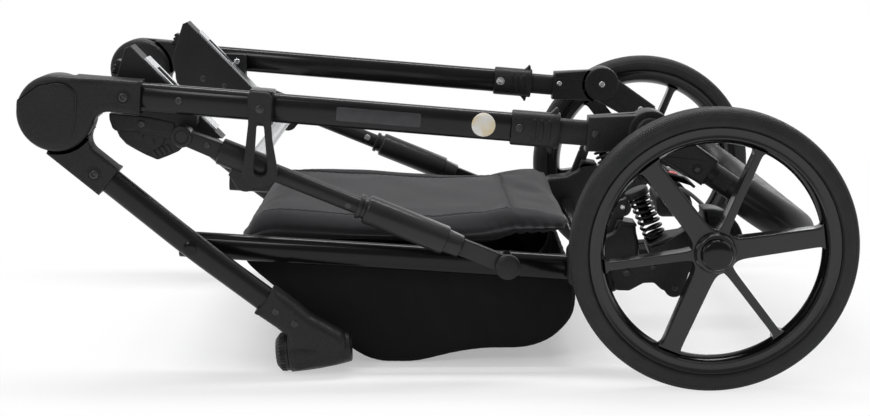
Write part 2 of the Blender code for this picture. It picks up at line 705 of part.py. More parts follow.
def rim(side, hand, pivot_w):
    """One-piece rim with hub and six spokes."""
    outlines = [arc(AXLE, RIM_IN_R + 0.004, 5, 355, 35)]
    outlines += [wheel_window(i) for i in range(SPOKES)]
    body = slab(outlines, side, WHEEL_W - SPOKE_HALF, WHEEL_W + SPOKE_HALF)
    seat = RIM_OUT_R - 0.006
    ring = turned([(WHEEL_W - RIM_HALF, RIM_IN_R + 0.002), (WHEEL_W - RIM_HALF - 0.001, RIM_OUT_R),
                   (WHEEL_W - 0.006, seat), (WHEEL_W + 0.006, seat),
                   (WHEEL_W + RIM_HALF + 0.001, RIM_OUT_R), (WHEEL_W + RIM_HALF, RIM_IN_R + 0.002),
                   (WHEEL_W + 0.004, RIM_IN_R), (WHEEL_W - 0.004, RIM_IN_R)],
                  across(side, *AXLE), WHEEL_FACETS, "ring")
    hub = turned([(WHEEL_W - HUB_HALF, AXLE_R + RUN), (WHEEL_W - HUB_HALF, HUB_R - 0.004),
                  (WHEEL_W - SPOKE_HALF - 0.001, HUB_R + 0.002),
                  (WHEEL_W + SPOKE_HALF + 0.001, HUB_R + 0.002),
                  (WHEEL_W + HUB_HALF, HUB_R), (WHEEL_W + HUB_HALF, AXLE_R + RUN)],
                 across(side, *AXLE, PIN_TURN), PIN_FACETS, "hub")
    cut(body, disc(side, AXLE, HUB_R - 0.001, WHEEL_W - 0.03, WHEEL_W + 0.03, 20, "hub_clear"))
    join(body, ring, hub)
    return finish(body, f"rim_{hand}", "rim_black", pivot_w)


def tyre(side, hand, pivot_w):
    """Foam tyre with its bead in the rim's channel."""
    seat = RIM_OUT_R - 0.006 + GAP
    foot = RIM_OUT_R + GAP
    points = [(WHEEL_W - 0.0055, seat), (WHEEL_W + 0.0055, seat), (WHEEL_W + RIM_HALF, foot)]
    wall = [(TYRE_HALF, foot + 0.005), (TYRE_HALF - 0.0010, WHEEL_R - 0.0050),
            (TYRE_HALF - 0.0065, WHEEL_R - 0.0006)]
    points += [(WHEEL_W + out, r) for out, r in wall] + [(WHEEL_W, WHEEL_R)]
    points += [(WHEEL_W - out, r) for out, r in reversed(wall)]
    points.append((WHEEL_W - RIM_HALF, foot))
    body = turned(points, across(side, *AXLE), WHEEL_FACETS, "tyre")
    return finish(body, f"tyre_{hand}", "rubber", pivot_w)


def hub_cap(side, hand, pivot_w):
    """Domed cap on the hub."""
    face = WHEEL_W + HUB_HALF + GAP
    body = turned([(face, 0.0), (face, HUB_CAP_R), (face + HUB_CAP_H - 0.003, HUB_CAP_R - 0.0005),
                   (face + HUB_CAP_H, HUB_CAP_R - 0.004), (face + HUB_CAP_H, 0.0)],
                  across(side, *AXLE), 18, "cap")
    return finish(body, f"hub_cap_{hand}", "plastic_black", pivot_w)


# Struts


def strut_head(side, hand, pivot_s):
    """Eye, flat fitting, tee for the cross tube and the sliding tube in one piece."""
    eye = disc(side, STRUT_TOP, STRUT_EYE_R, STRUT_W - STRUT_EYE_HALF, STRUT_W + STRUT_EYE_HALF, 16)
    body = slab([place([(0.004, 0.0085), (0.046, 0.0095), (0.046, -0.0095), (0.004, -0.0085)],
                       STRUT_TOP, STRUT_A)], side, STRUT_W - 0.0075, STRUT_W + 0.0075)
    join(body, eye)
    first, last = STRUT_TEE
    tube_end = STRUT_SLEEVE[0] + STRUT_DEPTH
    tee = turned([(first, 0.0), (first, STRUT_TEE_R), (last - 0.008, STRUT_TEE_R),
                  (last, STRUT_TEE_R - 0.003), (last, STRUT_TUBE_R), (tube_end, STRUT_TUBE_R),
                  (tube_end, 0.0)],
                 leaning(side, STRUT_TOP, STRUT_W, STRUT_A), 16, "tee")
    join(body, tee)
    drop = at(STRUT_TOP, STRUT_A, STRUT_CROSS_S, -0.018)
    boss = slab([[at(STRUT_TOP, STRUT_A, 0.062, 0.0), at(STRUT_TOP, STRUT_A, 0.060, -0.020)]
                 + arc(drop, 0.0130, 200, 330, 5) + [at(STRUT_TOP, STRUT_A, 0.096, -0.010)]],
                side, STRUT_W - 0.0115, STRUT_W + 0.0080)
    join(body, boss)
    cross = at(STRUT_TOP, STRUT_A, STRUT_CROSS_S)
    cut(body, disc(side, cross, STRUT_CROSS_R + GAP, STRUT_W - 0.04, STRUT_W - 0.004, 16, "cross_hole"))
    return finish(body, f"strut_head_{hand}", "plastic_black", pivot_s)


def strut_cross_tube(pivot_s):
    """Bright tube between the two strut heads."""
    cross = at(STRUT_TOP, STRUT_A, STRUT_CROSS_S)
    reach = STRUT_W - 0.004 - GAP
    tube = turned([(-reach, STRUT_CROSS_R - WALL), (-reach, STRUT_CROSS_R), (reach, STRUT_CROSS_R),
                   (reach, STRUT_CROSS_R - WALL)], across(1, *cross), 20, "cross")
    return finish(tube, "strut_cross_tube", "silver", pivot_s)


def strut_sleeve(side, hand, pivot_f):
    """Lower strut: ring, grooved sleeve, neck and flattened eye at the rail."""
    ring, ring_end, start, end, neck = STRUT_SLEEVE
    bore = STRUT_TUBE_R + GAP
    deep = ring + STRUT_DEPTH + STRUT_STROKE + 0.003
    profile = [(ring, bore), (ring, STRUT_TUBE_R + 0.004), (ring_end, STRUT_TUBE_R + 0.004),
               (ring_end, STRUT_TUBE_R + 0.0022), (start, STRUT_TUBE_R + 0.0022),
               (start + 0.002, STRUT_SLEEVE_R), (end, STRUT_SLEEVE_R), (end + 0.001, STRUT_NECK_R),
               (neck, STRUT_NECK_R), (neck + 0.002, 0.0), (deep, 0.0), (deep, bore)]
    body = turned(profile, leaning(side, STRUT_TOP, STRUT_W, STRUT_A), 16, "sleeve")
    flat = [(neck - 0.006, 0.0095), (neck + 0.010, 0.0095), (STRUT_LEN - 0.018, 0.0095)]
    flat += arc((STRUT_LEN, 0.0), 0.0105, 115, -115, 8)
    flat += [(STRUT_LEN - 0.018, -0.0095), (neck - 0.006, -0.0095)]
    join(body, slab([place(flat, STRUT_TOP, STRUT_A)], side, STRUT_W - 0.0048, STRUT_W + 0.0048))
    cut(body, disc(side, STRUT_FOOT, STUD_R + RUN, STRUT_W - 0.02, STRUT_W + 0.02, name="foot_hole"))
    return finish(body, f"strut_sleeve_{hand}", "plastic_black", pivot_f)


def strut_knob(side, hand):
    """Round cap that closes the strut's foot stud."""
    inner = STRUT_W + 0.0048 + GAP
    body = turned([(inner, STUD_R + GAP), (inner, KNOB_R - 0.001), (inner + 0.006, KNOB_R),
                   (inner + 0.0095, KNOB_R - 0.0035), (inner + 0.0095, 0.0),
                   (STRUT_W + 0.0062 + GAP, 0.0), (STRUT_W + 0.0062 + GAP, STUD_R + GAP)],
                  across(side, *STRUT_FOOT), 16, "knob")
    return finish(body, f"strut_knob_{hand}", "plastic_black")


# Upper frame


def upper_tube(side, hand, pivot_k):
    """Main oval tube from the knuckle to the handle collar."""
    tube = pipe(side, UPPER, FRAME_W, UPPER_A, SLEEVE_SEAT + GAP, TUBE_END, TUBE_H, TUBE_T, WALL)
    return finish(tube, f"upper_tube_{hand}", "tube_black", pivot_k)


def adaptor(side, hand, pivot_k):
    """Seat adaptor with its socket, and the bracket that carries it on the tube."""
    angle, length = heading(ADAPTOR_TOP, ADAPTOR_TIP)
    outline = [ADAPTOR_TOP, ADAPTOR_TIP, (-0.2480, 0.2560), (-0.3330, 0.2660), (-0.3420, 0.2732),
               (-0.3486, 0.3064), (-0.3367, 0.3434), (-0.3330, 0.3540)]
    body = slab([outline], side, ADAPTOR_IN, ADAPTOR_OUT, 0.0015)
    front = [(-0.3450, 0.2850), (-0.3440, 0.2700), (-0.3330, 0.2650)]
    front += arc((-0.3010, 0.2700), 0.0300, 190, 260, 4)
    front += [(-0.2950, 0.2960), (-0.3200, 0.2960)]
    join(body, slab([front], side, ADAPTOR_OUT - 0.001, FRAME_W - SLEEVE_T / 2 - GAP))
    plate = [at(UPPER, UPPER_A, SLEEVE_END + GAP, 0.004), at(UPPER, UPPER_A, SLEEVE_END + GAP, -0.045)]
    plate += [(-0.2820, 0.2410), (-0.2590, 0.2600), (-0.2500, 0.2800), (-0.2514, 0.3040),
              (-0.2577, 0.3110), (-0.2778, 0.3125)]
    join(body, slab([plate], side, ADAPTOR_OUT - 0.0012, BRACKET_OUT))
    middle = (ADAPTOR_IN + ADAPTOR_OUT) / 2
    slot = [(0.036, 0.004), (0.072, 0.004), (0.072, -0.030), (0.036, -0.034)]
    cut(body, slab([place(slot, ADAPTOR_TOP, angle)], side, middle - SLOT_HALF, middle + SLOT_HALF))
    cut(body, slab([button_outline(0.0004)], side, middle - 0.0085, middle + 0.0085))
    return finish(body, f"adaptor_{hand}", "plastic_black", pivot_k)


def button_outline(grow):
    """Outline of the release button at the adaptor's rear edge, with room to travel."""
    room = 0.004 if grow else 0.0
    start = (-0.3425, 0.3250)
    turn = math.radians(70.0)
    return place([(-grow, 0.0075), (-grow, -0.0060 - room - grow), (0.0150 + grow, -0.0060 - room - grow),
                  (0.0150 + grow, 0.0075)], start, turn)


def adaptor_button(side, hand, pivot_b):
    """Ribbed button that releases the seat."""
    middle = (ADAPTOR_IN + ADAPTOR_OUT) / 2
    start = (-0.3425, 0.3250)
    turn = math.radians(70.0)
    outline = [(0.0, -0.0060), (0.0150, -0.0060), (0.0150, 0.0060)]
    for i in range(3):
        s = 0.0132 - i * 0.0048
        outline += [(s, 0.0075), (s - 0.0024, 0.0075), (s - 0.0024, 0.0060), (s - 0.0040, 0.0060)]
    outline += [(0.0, 0.0060)]
    body = slab([place(outline, start, turn)], side, middle - 0.0080, middle + 0.0080)
    return finish(body, f"adaptor_button_{hand}", "plastic_black", pivot_b)


def adaptor_strip(side, hand, pivot_k):
    """Bright strip along the adaptor's slanted edge, slotted over the socket."""
    angle, length = heading(ADAPTOR_TOP, ADAPTOR_TIP)
    outline = [(0.020, GAP), (length - 0.012, GAP), (length - 0.012, GAP + STRIP_T), (0.020, GAP + STRIP_T)]
    body = slab([place(outline, ADAPTOR_TOP, angle)], side, ADAPTOR_IN + 0.001, ADAPTOR_OUT - 0.0018)
    middle = (ADAPTOR_IN + ADAPTOR_OUT) / 2
    slot = [(0.036, -0.004), (0.072, -0.004), (0.072, 0.006), (0.036, 0.006)]
    cut(body, slab([place(slot, ADAPTOR_TOP, angle)], side, middle - SLOT_HALF, middle + SLOT_HALF))
    return finish(body, f"adaptor_strip_{hand}", "silver", pivot_k)


def collar(side, hand, pivot_c):
    """Sliding fold release on the tube, with grip ribs and two finger fins."""
    first, last = COLLAR
    body = oval(side, UPPER, FRAME_W, UPPER_A, first, last, COLLAR_H, COLLAR_T, name="collar")
    half = COLLAR_H / 2
    fins = [(last - 0.0085, half - 0.002), (last - 0.0045, half + COLLAR_FIN), (last, half - 0.002)]
    mirrored = [(s - 0.0030, -h) for s, h in fins]
    join(body, slab([place(fins, UPPER, UPPER_A)], side, FRAME_W - 0.005, FRAME_W + 0.005))
    join(body, slab([place(mirrored, UPPER, UPPER_A)], side, FRAME_W - 0.005, FRAME_W + 0.005))
    for i in range(3):
        s = first + 0.0255 + 0.0085 * i
        band = [(s - 0.0015, 0.0125), (s + 0.0015, 0.0125), (s + 0.0015, -0.0125), (s - 0.0015, -0.0125)]
        join(body, slab([place(band, UPPER, UPPER_A)], side, FRAME_W - COLLAR_T / 2 - 0.0008,
                        FRAME_W + COLLAR_T / 2 + 0.0008))
    cut(body, oval(side, UPPER, FRAME_W, UPPER_A, first - 0.01, last + 0.01,
                   TUBE_H + 2 * GAP, TUBE_T + 2 * GAP, name="collar_bore"))
    return finish(body, f"collar_{hand}", "plastic_black", pivot_c)


def handle_post(side, hand, pivot_h):
    """Sliding inner tube with the outer half of the tilt joint on its end."""
    tube = oval(side, UPPER, FRAME_W, UPPER_A, POST_START, POST_SLEEVE + 0.012, INNER_H, INNER_T, name="post")
    half = POST_SLEEVE_H / 2
    angle = UPPER_A
    low = [(POST_SLEEVE, half), (POST_SLEEVE, -half)]
    outline = place(low, UPPER, angle) + arc(TILT, TILT_R - GAP, -110, 58, 12)
    body = slab([outline], side, FRAME_W - 0.0120, FRAME_W + 0.0120, 0.0025)
    join(body, head(side, TILT, TILT_R, FRAME_W - 0.004, TILT_OUT, 0.0025, 24, "tilt_face"), tube)
    cut(body, disc(side, TILT, TILT_R + 2 * GAP, TILT_IN - 0.01, FRAME_W + GAP, 24, "tilt_clear", 0.09))
    cut(body, disc(side, TILT, TILT_PIN_R + RUN, TILT_IN - 0.01, TILT_OUT - 0.0057, name="tilt_hole"))
    cut(body, disc(side, TILT, TILT_BUTTON_R + 2 * GAP, TILT_OUT - 0.0045, TILT_OUT + 0.01, 18,
                   "button_seat"))
    return finish(body, f"handle_post_{hand}", "plastic_black", pivot_h)


def tilt_button(side, hand, pivot_t):
    """Domed button on the tilt joint's outer face."""
    low = TILT_OUT - 0.0022
    body = turned([(low, 0.0), (low, TILT_BUTTON_R), (TILT_OUT + 0.0008, TILT_BUTTON_R),
                   (TILT_OUT + 0.0030, 0.0130), (TILT_OUT + 0.0042, 0.0070), (TILT_OUT + 0.0045, 0.0)],
                  across(side, *TILT), 18, "dome")
    return finish(body, f"tilt_button_{hand}", "plastic_black", pivot_t)


def handle_arm(side, hand, pivot_t):
    """Inner half of the tilt joint, its sleeve and the bar up to the grip."""
    half = ARM_SLEEVE_H / 2
    outline = place([(ARM_SLEEVE_END, -half), (ARM_SLEEVE_END, half), (0.034, half + 0.001)], TILT, ARM_A)
    outline += arc(TILT, TILT_R - GAP, 15, 250, 14)
    body = slab([outline], side, FRAME_W - 0.0120, FRAME_W + 0.0120, 0.0025)
    join(body, head(side, TILT, TILT_R, FRAME_W + 0.004, TILT_IN, 0.0025, 24, "arm_face"))
    cut(body, disc(side, TILT, TILT_R + 0.0008, FRAME_W, TILT_OUT + 0.02, 26, "arm_clear", 0.04))
    join(body, disc(side, TILT, TILT_PIN_R, FRAME_W - 0.004, TILT_OUT - 0.0060, name="tilt_pin"))
    join(body, rod(side, TILT, FRAME_W, ARM_A, ARM_SLEEVE_END - 0.01, GRIP_START, BAR_R, 0.88, 16, "bar"))
    return finish(body, f"handle_arm_{hand}", "plastic_black", pivot_t)


def handle_grip(pivot_t):
    """Padded grip: one U across the pram."""
    x, z = at(TILT, ARM_A, GRIP_START + GAP)
    half = [(x, FRAME_W, z)]
    for i in range(6):
        a = math.radians(90 * i / 5)
        x, z = at(TILT, ARM_A, GRIP_END - CORNER_R * (1 - math.sin(a)))
        half.append((x, FRAME_W - CORNER_R * (1 - math.cos(a)), z))
    points = half + [(x, -y, z) for x, y, z in reversed(half)]
    body = wire(points, GRIP_R, 4, "grip")
    return finish(body, "handle_grip", "grip_leather", pivot_t)


def hook_point():
    """Centre of the transport hook's pin on the left tube's axis."""
    return at(UPPER, UPPER_A, (HOOK_X - UPPER[0]) / math.cos(UPPER_A))


def hook_clamp(pivot_k):
    """Strap clamp that holds the transport hook on the left tube."""
    s = (HOOK_X - UPPER[0]) / math.cos(UPPER_A)
    half = TUBE_H / 2 + 0.0035
    outline = [(s - 0.0125, half), (s + 0.0125, half), (s + 0.0125, -half), (s - 0.0125, -half)]
    body = slab([place(outline, UPPER, UPPER_A)], -1, FRAME_W - TUBE_T / 2 - 0.003,
                HOOK_IN - GAP - 0.0035, 0.002)
    cut(body, oval(-1, UPPER, FRAME_W, UPPER_A, s - 0.03, s + 0.03, TUBE_H + 2 * GAP, TUBE_T + 2 * GAP,
                   name="clamp_bore"))
    join(body, disc(-1, hook_point(), 0.0070, HOOK_IN - 0.0060, HOOK_IN - GAP, 16, "clamp_boss"))
    join(body, disc(-1, hook_point(), 0.0028, HOOK_IN - 0.0020, HOOK_IN + HOOK_T, name="clamp_pin"))
    return finish(body, "hook_clamp", "plastic_black", pivot_k)


def transport_hook(pivot_h):
    """Flat loop that hangs from the clamp and catches the strut when folded."""
    x, top = hook_point()
    outline = arc((x - 0.0015, 0.2300), 0.0188, 180, 360, 8)
    outline += [(x + 0.0125, 0.2620), (x + 0.0115, 0.2800), (x + 0.0125, top + 0.0170),
                (x - 0.0125, top + 0.0190), (x - 0.0125, 0.2800), (x - 0.0165, 0.2500)]
    slot = [(x + 0.0030, 0.2790), (x, 0.2810), (x - 0.0030, 0.2790), (x - 0.0078, 0.2320)]
    slot += arc((x - 0.0010, 0.2300), 0.0070, 190, 350, 5)
    body = slab([outline, slot], -1, HOOK_IN, HOOK_IN + HOOK_T)
    cut(body, disc(-1, (x, top), 0.0028 + RUN, HOOK_IN - 0.02, HOOK_IN + 0.02, name="hook_hole"))
    return finish(body, "transport_hook", "plastic_black", pivot_h)


# Soft goods


def basket_top():
    """Height of the basket's front edge."""
    return at(RAIL_START, RAIL_A, 0.045)[1] - 0.002


def basket():
    """Fabric basket between the rails, open at the top under its lid."""
    top = basket_top()
    outline = [(-0.2120, top), (-0.2080, 0.1150), (-0.1480, 0.0600), (-0.0850, 0.0105), (-0.0640, 0.0020),
               (-0.0440, 0.0010), (-0.0180, 0.0020), (0.0230, 0.0113), (0.0560, 0.0160), (0.0980, 0.0172),
               (0.1238, 0.0247), (0.1405, 0.0371), (0.1535, 0.0545), (0.1570, 0.0753), (0.1540, 0.0950),
               (0.1490, top - 0.0215)]
    body = slab([outline], 1, -BASKET_W, BASKET_W)
    inner = [(-0.2120 + CLOTH, top + 0.01), (-0.2080 + CLOTH, 0.1163), (-0.1460, 0.0622), (-0.0839, 0.0136),
             (-0.0634, 0.0050), (-0.0440, 0.0040), (-0.0183, 0.0050), (0.0225, 0.0143), (0.0558, 0.0190),
             (0.0975, 0.0202), (0.1226, 0.0274), (0.1384, 0.0392), (0.1507, 0.0556), (0.1540, 0.0755),
             (0.1511, 0.0943), (0.1460, top)]
    cut(body, slab([inner], 1, -BASKET_W + CLOTH, BASKET_W - CLOTH))
    return finish(body, "basket", "fabric_black")


def basket_lid():
    """Padded zip-on cover of the basket."""
    seat = basket_top() + GAP
    outline = [(-0.2100, seat), (-0.1500, seat + 0.0002), (-0.0300, seat - 0.0010), (0.0500, seat - 0.0008),
               (0.1050, seat + 0.0055), (0.1470, seat + 0.0130), (0.1520, seat + 0.0190),
               (0.1490, seat + 0.0240), (0.1400, seat + 0.0225), (0.0925, seat + 0.0200),
               (-0.0067, seat + 0.0188), (-0.0900, seat + 0.0230), (-0.1456, seat + 0.0265),
               (-0.1900, seat + 0.0312),
               (-0.2020, seat + 0.0300), (-0.2095, seat + 0.0235), (-0.2120, seat + 0.0110)]
    body = slab([outline], 1, -LID_W, LID_W, 0.004)
    return finish(body, "basket_lid", "fabric_grey")


# Brake


def brake_housing(pivot_a):
    """Housing of the brake on the middle of the axle tube."""
    x, z = AXLE
    outline = [(x - 0.020, z - 0.016), (x + 0.018, z - 0.016), (x + 0.022, z), (x + 0.016, z + 0.017),
               (x - 0.012, z + 0.021), (x - 0.023, z + 0.008)]
    body = slab([outline], 1, -BRAKE_HALF, BRAKE_HALF, 0.003)
    cut(body, disc(1, AXLE, BEAM_R + GAP, -0.06, 0.06, 20, "brake_bore"))
    return finish(body, "brake_housing", "plastic_black", pivot_a)


def brake_pedal(pivot_p):
    """Rocking foot pedal over the brake housing."""
    x, z = AXLE
    outline = [(x - 0.026, z + 0.0330), (x - 0.012, z + 0.0350), (x + 0.010, z + 0.0290),
               (x + 0.024, z + 0.0180), (x + 0.026, z + 0.0210), (x + 0.011, z + 0.0330),
               (x - 0.012, z + 0.0390), (x - 0.027, z + 0.0370)]
    body = slab([outline], 1, -PEDAL_HALF, PEDAL_HALF)
    px, pz = PEDAL_PIVOT
    web = arc(PEDAL_PIVOT, PEDAL_BOSS_R, 180, 360, 8)
    web += [(px + 0.0076, pz + 0.0030), (px - 0.0076, pz + 0.0065)]
    join(body, slab([web], 1, -PEDAL_HALF + 0.006, PEDAL_HALF - 0.006))
    return finish(body, "brake_pedal", "plastic_black", pivot_p)


def brake_cable(side, hand, pivot_a):
    """Inner cable from the brake housing to the wheel bracket."""
    x, z = AXLE
    end = ARM_OUT - COVER_SET
    route = [(x - 0.004, 0.0400, z + 0.0155), (x - 0.005, 0.060, z + 0.019), (x - 0.008, 0.095, z + 0.030),
             (x - 0.009, end - 0.090, z + 0.037), (x - 0.004, end - 0.055, z + 0.037),
             (x + 0.007, end - 0.025, z + 0.028), (x + 0.012, end - 0.009, z + 0.023)]
    points = []
    for i in range(len(route) - 1):
        for k in range(2):
            points.append(smooth_between(route, i, k / 2))
    points = [(route[0][0], BRAKE_HALF + GAP, route[0][2])] + points + [route[-1]]
    points.append((route[-1][0], end - GAP, route[-1][2]))
    points = [(px, side * py, pz) for px, py, pz in points]
    return finish(wire(points, CABLE_R, 2, "cable"), f"brake_cable_{hand}", "rubber", pivot_a)


def smooth_between(route, i, t):
    """Point on the smooth curve through the route, between points i and i + 1."""
    p0 = Vector(route[max(i - 1, 0)])
    p1 = Vector(route[i])
    p2 = Vector(route[i + 1])
    p3 = Vector(route[min(i + 2, len(route) - 1)])
    point = 0.5 * (2 * p1 + (p2 - p0) * t + (2 * p0 - 5 * p1 + 4 * p2 - p3) * t * t
                   + (3 * p1 - p0 - 3 * p2 + p3) * t ** 3)
    return tuple(point)


def build():
    """Build the whole chassis."""
    pivot_l = pivot("pivot_front_legs", *LEG_PIVOT)
    pivot_k = pivot("pivot_upper_frame", *KNUCKLE)
    pivot_f = pivot("pivot_strut_foot", *STRUT_FOOT)
    pivot_s = pivot("slide_strut_head", *STRUT_TOP)
    pivot_a = pivot("pivot_suspension", *ARM_PIVOT)
    pivot_h = pivot("slide_handle", *UPPER)
    pivot_t = pivot("pivot_handlebar", *TILT)
    for side, hand in SIDES:
        knuckle_housing(side, hand, pivot_k)
        knuckle_core(side, hand, pivot_l)
        front_leg(side, hand, pivot_l)
        wheel_socket(side, hand, pivot_l)
        swivel_lock(side, hand, pivot(f"pivot_swivel_lock_{hand}", *SOCKET, SOCKET_W, side))
        lower_rail(side, hand)
        rear_housing(side, hand)
        swing_arm(side, hand, pivot_a)
        coil_spring(side, hand)
        pivot_w = pivot(f"pivot_wheel_{hand}", *AXLE, WHEEL_W, side)
        rim(side, hand, pivot_w)
        tyre(side, hand, pivot_w)
        hub_cap(side, hand, pivot_w)
        strut_head(side, hand, pivot_s)
        strut_sleeve(side, hand, pivot_f)
        strut_knob(side, hand)
        upper_tube(side, hand, pivot_k)
        adaptor(side, hand, pivot_k)
        adaptor_strip(side, hand, pivot_k)
        adaptor_button(side, hand, pivot(f"slide_adaptor_button_{hand}", -0.3425, 0.3250, ADAPTOR_IN, side))
        collar(side, hand, pivot(f"slide_collar_{hand}", *at(UPPER, UPPER_A, COLLAR[0]), FRAME_W, side))
        handle_post(side, hand, pivot_h)
        tilt_button(side, hand, pivot(f"slide_tilt_button_{hand}", *TILT, TILT_OUT, side))
        handle_arm(side, hand, pivot_t)
        brake_cable(side, hand, pivot_a)
    front_cross_tube(pivot_l)
    rear_cross_tube()
    axle_tube(pivot_a)
    strut_cross_tube(pivot_s)
    handle_grip(pivot_t)
    hook_clamp(pivot_k)
    transport_hook(pivot("pivot_transport_hook", *hook_point(), HOOK_IN, -1))
    basket()
    basket_lid()
    brake_housing(pivot_a)
    brake_pedal(pivot("pivot_brake_pedal", *PEDAL_PIVOT))


clear_scene()
MODEL = collection("pram_chassis")
GUIDES = collection("guides")
build()
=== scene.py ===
"""Dress the folded pram chassis: finer surfaces, finishes, cloth, light and camera.

Most shapes are worked out for one side in (x, w, z), where w is the distance outwards from the middle
plane, and are placed on the left (-Y) or the right (+Y) afterwards.
"""
import functools
import json
import logging
import math
from dataclasses import dataclass
from enum import Enum
from typing import Iterable, Optional, Sequence

import bmesh
import bpy
import numpy as np
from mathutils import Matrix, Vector

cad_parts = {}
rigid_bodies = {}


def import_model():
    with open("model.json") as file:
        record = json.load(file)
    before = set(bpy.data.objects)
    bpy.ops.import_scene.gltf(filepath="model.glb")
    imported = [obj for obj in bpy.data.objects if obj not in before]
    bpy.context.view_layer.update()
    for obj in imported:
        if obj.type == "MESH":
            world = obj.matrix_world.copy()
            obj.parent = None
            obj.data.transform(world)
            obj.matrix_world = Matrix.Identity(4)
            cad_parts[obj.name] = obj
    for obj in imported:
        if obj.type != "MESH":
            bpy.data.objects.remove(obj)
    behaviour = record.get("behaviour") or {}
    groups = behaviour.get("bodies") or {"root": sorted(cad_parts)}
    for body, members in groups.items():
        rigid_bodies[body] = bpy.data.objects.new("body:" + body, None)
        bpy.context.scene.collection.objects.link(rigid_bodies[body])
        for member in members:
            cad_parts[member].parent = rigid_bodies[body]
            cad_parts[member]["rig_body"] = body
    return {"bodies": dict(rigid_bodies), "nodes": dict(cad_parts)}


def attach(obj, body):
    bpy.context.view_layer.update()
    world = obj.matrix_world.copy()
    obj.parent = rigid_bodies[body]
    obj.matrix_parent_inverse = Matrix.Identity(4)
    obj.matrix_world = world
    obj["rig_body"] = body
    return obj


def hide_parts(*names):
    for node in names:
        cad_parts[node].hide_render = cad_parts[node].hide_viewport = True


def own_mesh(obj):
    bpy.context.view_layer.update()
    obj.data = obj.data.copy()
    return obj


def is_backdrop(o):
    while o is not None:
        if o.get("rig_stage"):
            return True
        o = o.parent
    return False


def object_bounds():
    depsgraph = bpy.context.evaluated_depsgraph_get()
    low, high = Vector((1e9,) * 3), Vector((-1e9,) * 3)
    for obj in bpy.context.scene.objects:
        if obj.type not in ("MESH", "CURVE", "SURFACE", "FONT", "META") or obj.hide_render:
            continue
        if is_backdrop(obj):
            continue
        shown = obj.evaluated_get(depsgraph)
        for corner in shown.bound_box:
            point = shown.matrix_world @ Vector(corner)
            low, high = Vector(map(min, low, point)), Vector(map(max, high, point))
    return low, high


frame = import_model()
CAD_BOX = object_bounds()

LOG = logging.getLogger("pram")
Array = np.ndarray
Point = tuple[float, float]
SHARP = math.radians(36.0)


class Side(Enum):
    """The pram's two sides, by the sign of Y."""

    LEFT = -1
    RIGHT = 1

    @property
    def hand(self) -> str:
        """Word used in the names of pieces."""
        return self.name.lower()


# Plane geometry


def along(origin: Point, angle: float, s: float, h: float = 0.0) -> Point:
    """Give a point of the side view by its place along a line and square to it.

    Args:
        origin: start of the line, (x, z).
        angle: direction of the line, in radians.
        s: distance along the line.
        h: distance to its left.

    Returns:
        The point, (x, z).
    """
    c, n = math.cos(angle), math.sin(angle)
    return (origin[0] + s * c - h * n, origin[1] + s * n + h * c)


def heading(start: Point, end: Point) -> tuple[float, float]:
    """Give the angle and length from one point of the side view to another."""
    dx, dz = end[0] - start[0], end[1] - start[1]
    return math.atan2(dz, dx), math.hypot(dx, dz)


def run_of(x: Array, z: Array, origin: Point, angle: float) -> Array:
    """Give how far points lie along a line from its start."""
    return (x - origin[0]) * math.cos(angle) + (z - origin[1]) * math.sin(angle)


def arc(centre: Point, radius: float, first: float, last: float, count: int = 12) -> list[Point]:
    """List points of a circular arc; angles in degrees, both ends included."""
    t = np.radians(np.linspace(first, last, count + 1))
    return list(zip(centre[0] + radius * np.cos(t), centre[1] + radius * np.sin(t)))


def laid(points: Sequence[Point], origin: Point, angle: float) -> list[Point]:
    """Move (s, h) points of a line's own frame into the side view."""
    return [along(origin, angle, s, h) for s, h in points]


def filleted(outline: Sequence[Point], radius: float, steps: int = 4) -> list[Point]:
    """Round the corners of a closed outline.

    A corner is cut back by radius times the tangent of half its turn, at most 45% of its shorter side,
    and the arc between the two cuts is a quadratic curve drawn towards the corner.

    Args:
        outline: corners, (x, z).
        radius: radius of the rounding.
        steps: pieces of each arc.

    Returns:
        The rounded outline.
    """
    p = np.asarray(outline, float)
    before, after = np.roll(p, 1, 0) - p, np.roll(p, -1, 0) - p
    lb, la = np.linalg.norm(before, axis=1), np.linalg.norm(after, axis=1)
    ub, ua = before / lb[:, None], after / la[:, None]
    turn = np.pi - np.arccos(np.clip((ub * ua).sum(1), -1, 1))
    cut = np.minimum(radius * np.tan(turn / 2), 0.45 * np.minimum(lb, la))
    t = np.linspace(0, 1, steps + 1)[None, :, None]
    start, end = (p + ub * cut[:, None])[:, None], (p + ua * cut[:, None])[:, None]
    curve = (1 - t) ** 2 * start + 2 * t * (1 - t) * p[:, None] + t * t * end
    keep = []
    for corner, row, angle in zip(p, curve, turn):
        keep.extend([tuple(corner)] if angle < 0.12 else [tuple(q) for q in row])
    return keep


def area_of(outline: Array) -> float:
    """Give the area inside a closed outline, positive where it runs counterclockwise."""
    x, z = outline.T
    return 0.5 * np.sum(x * np.roll(z, -1) - np.roll(x, -1) * z)


def inset(outline: Array, depth: float) -> Array:
    """Move each point of a closed outline inwards along the mean of its two sides' normals."""
    edge = unit(np.roll(outline, -1, 0) - outline)
    normal = np.stack([-edge[:, 1], edge[:, 0]], 1) * np.sign(area_of(outline))
    mean = unit(normal + np.roll(normal, 1, 0))
    stretch = 1 / np.maximum((mean * normal).sum(1, keepdims=True), 0.6)
    return outline + mean * stretch * depth


def unit(vectors: Array, least: float = 1e-9) -> Array:
    """Scale vectors along the last axis to length one."""
    return vectors / np.maximum(np.linalg.norm(vectors, axis=-1, keepdims=True), least)


def full_turn(count: int) -> Array:
    """Give evenly spaced angles round a circle, the first being 0."""
    return np.linspace(0, math.tau, count, endpoint=False)


def travelled(line: Array) -> Array:
    """Give the distance run along a line at each of its points."""
    return np.concatenate([[0], np.cumsum(np.linalg.norm(np.diff(line, axis=0), axis=1))])


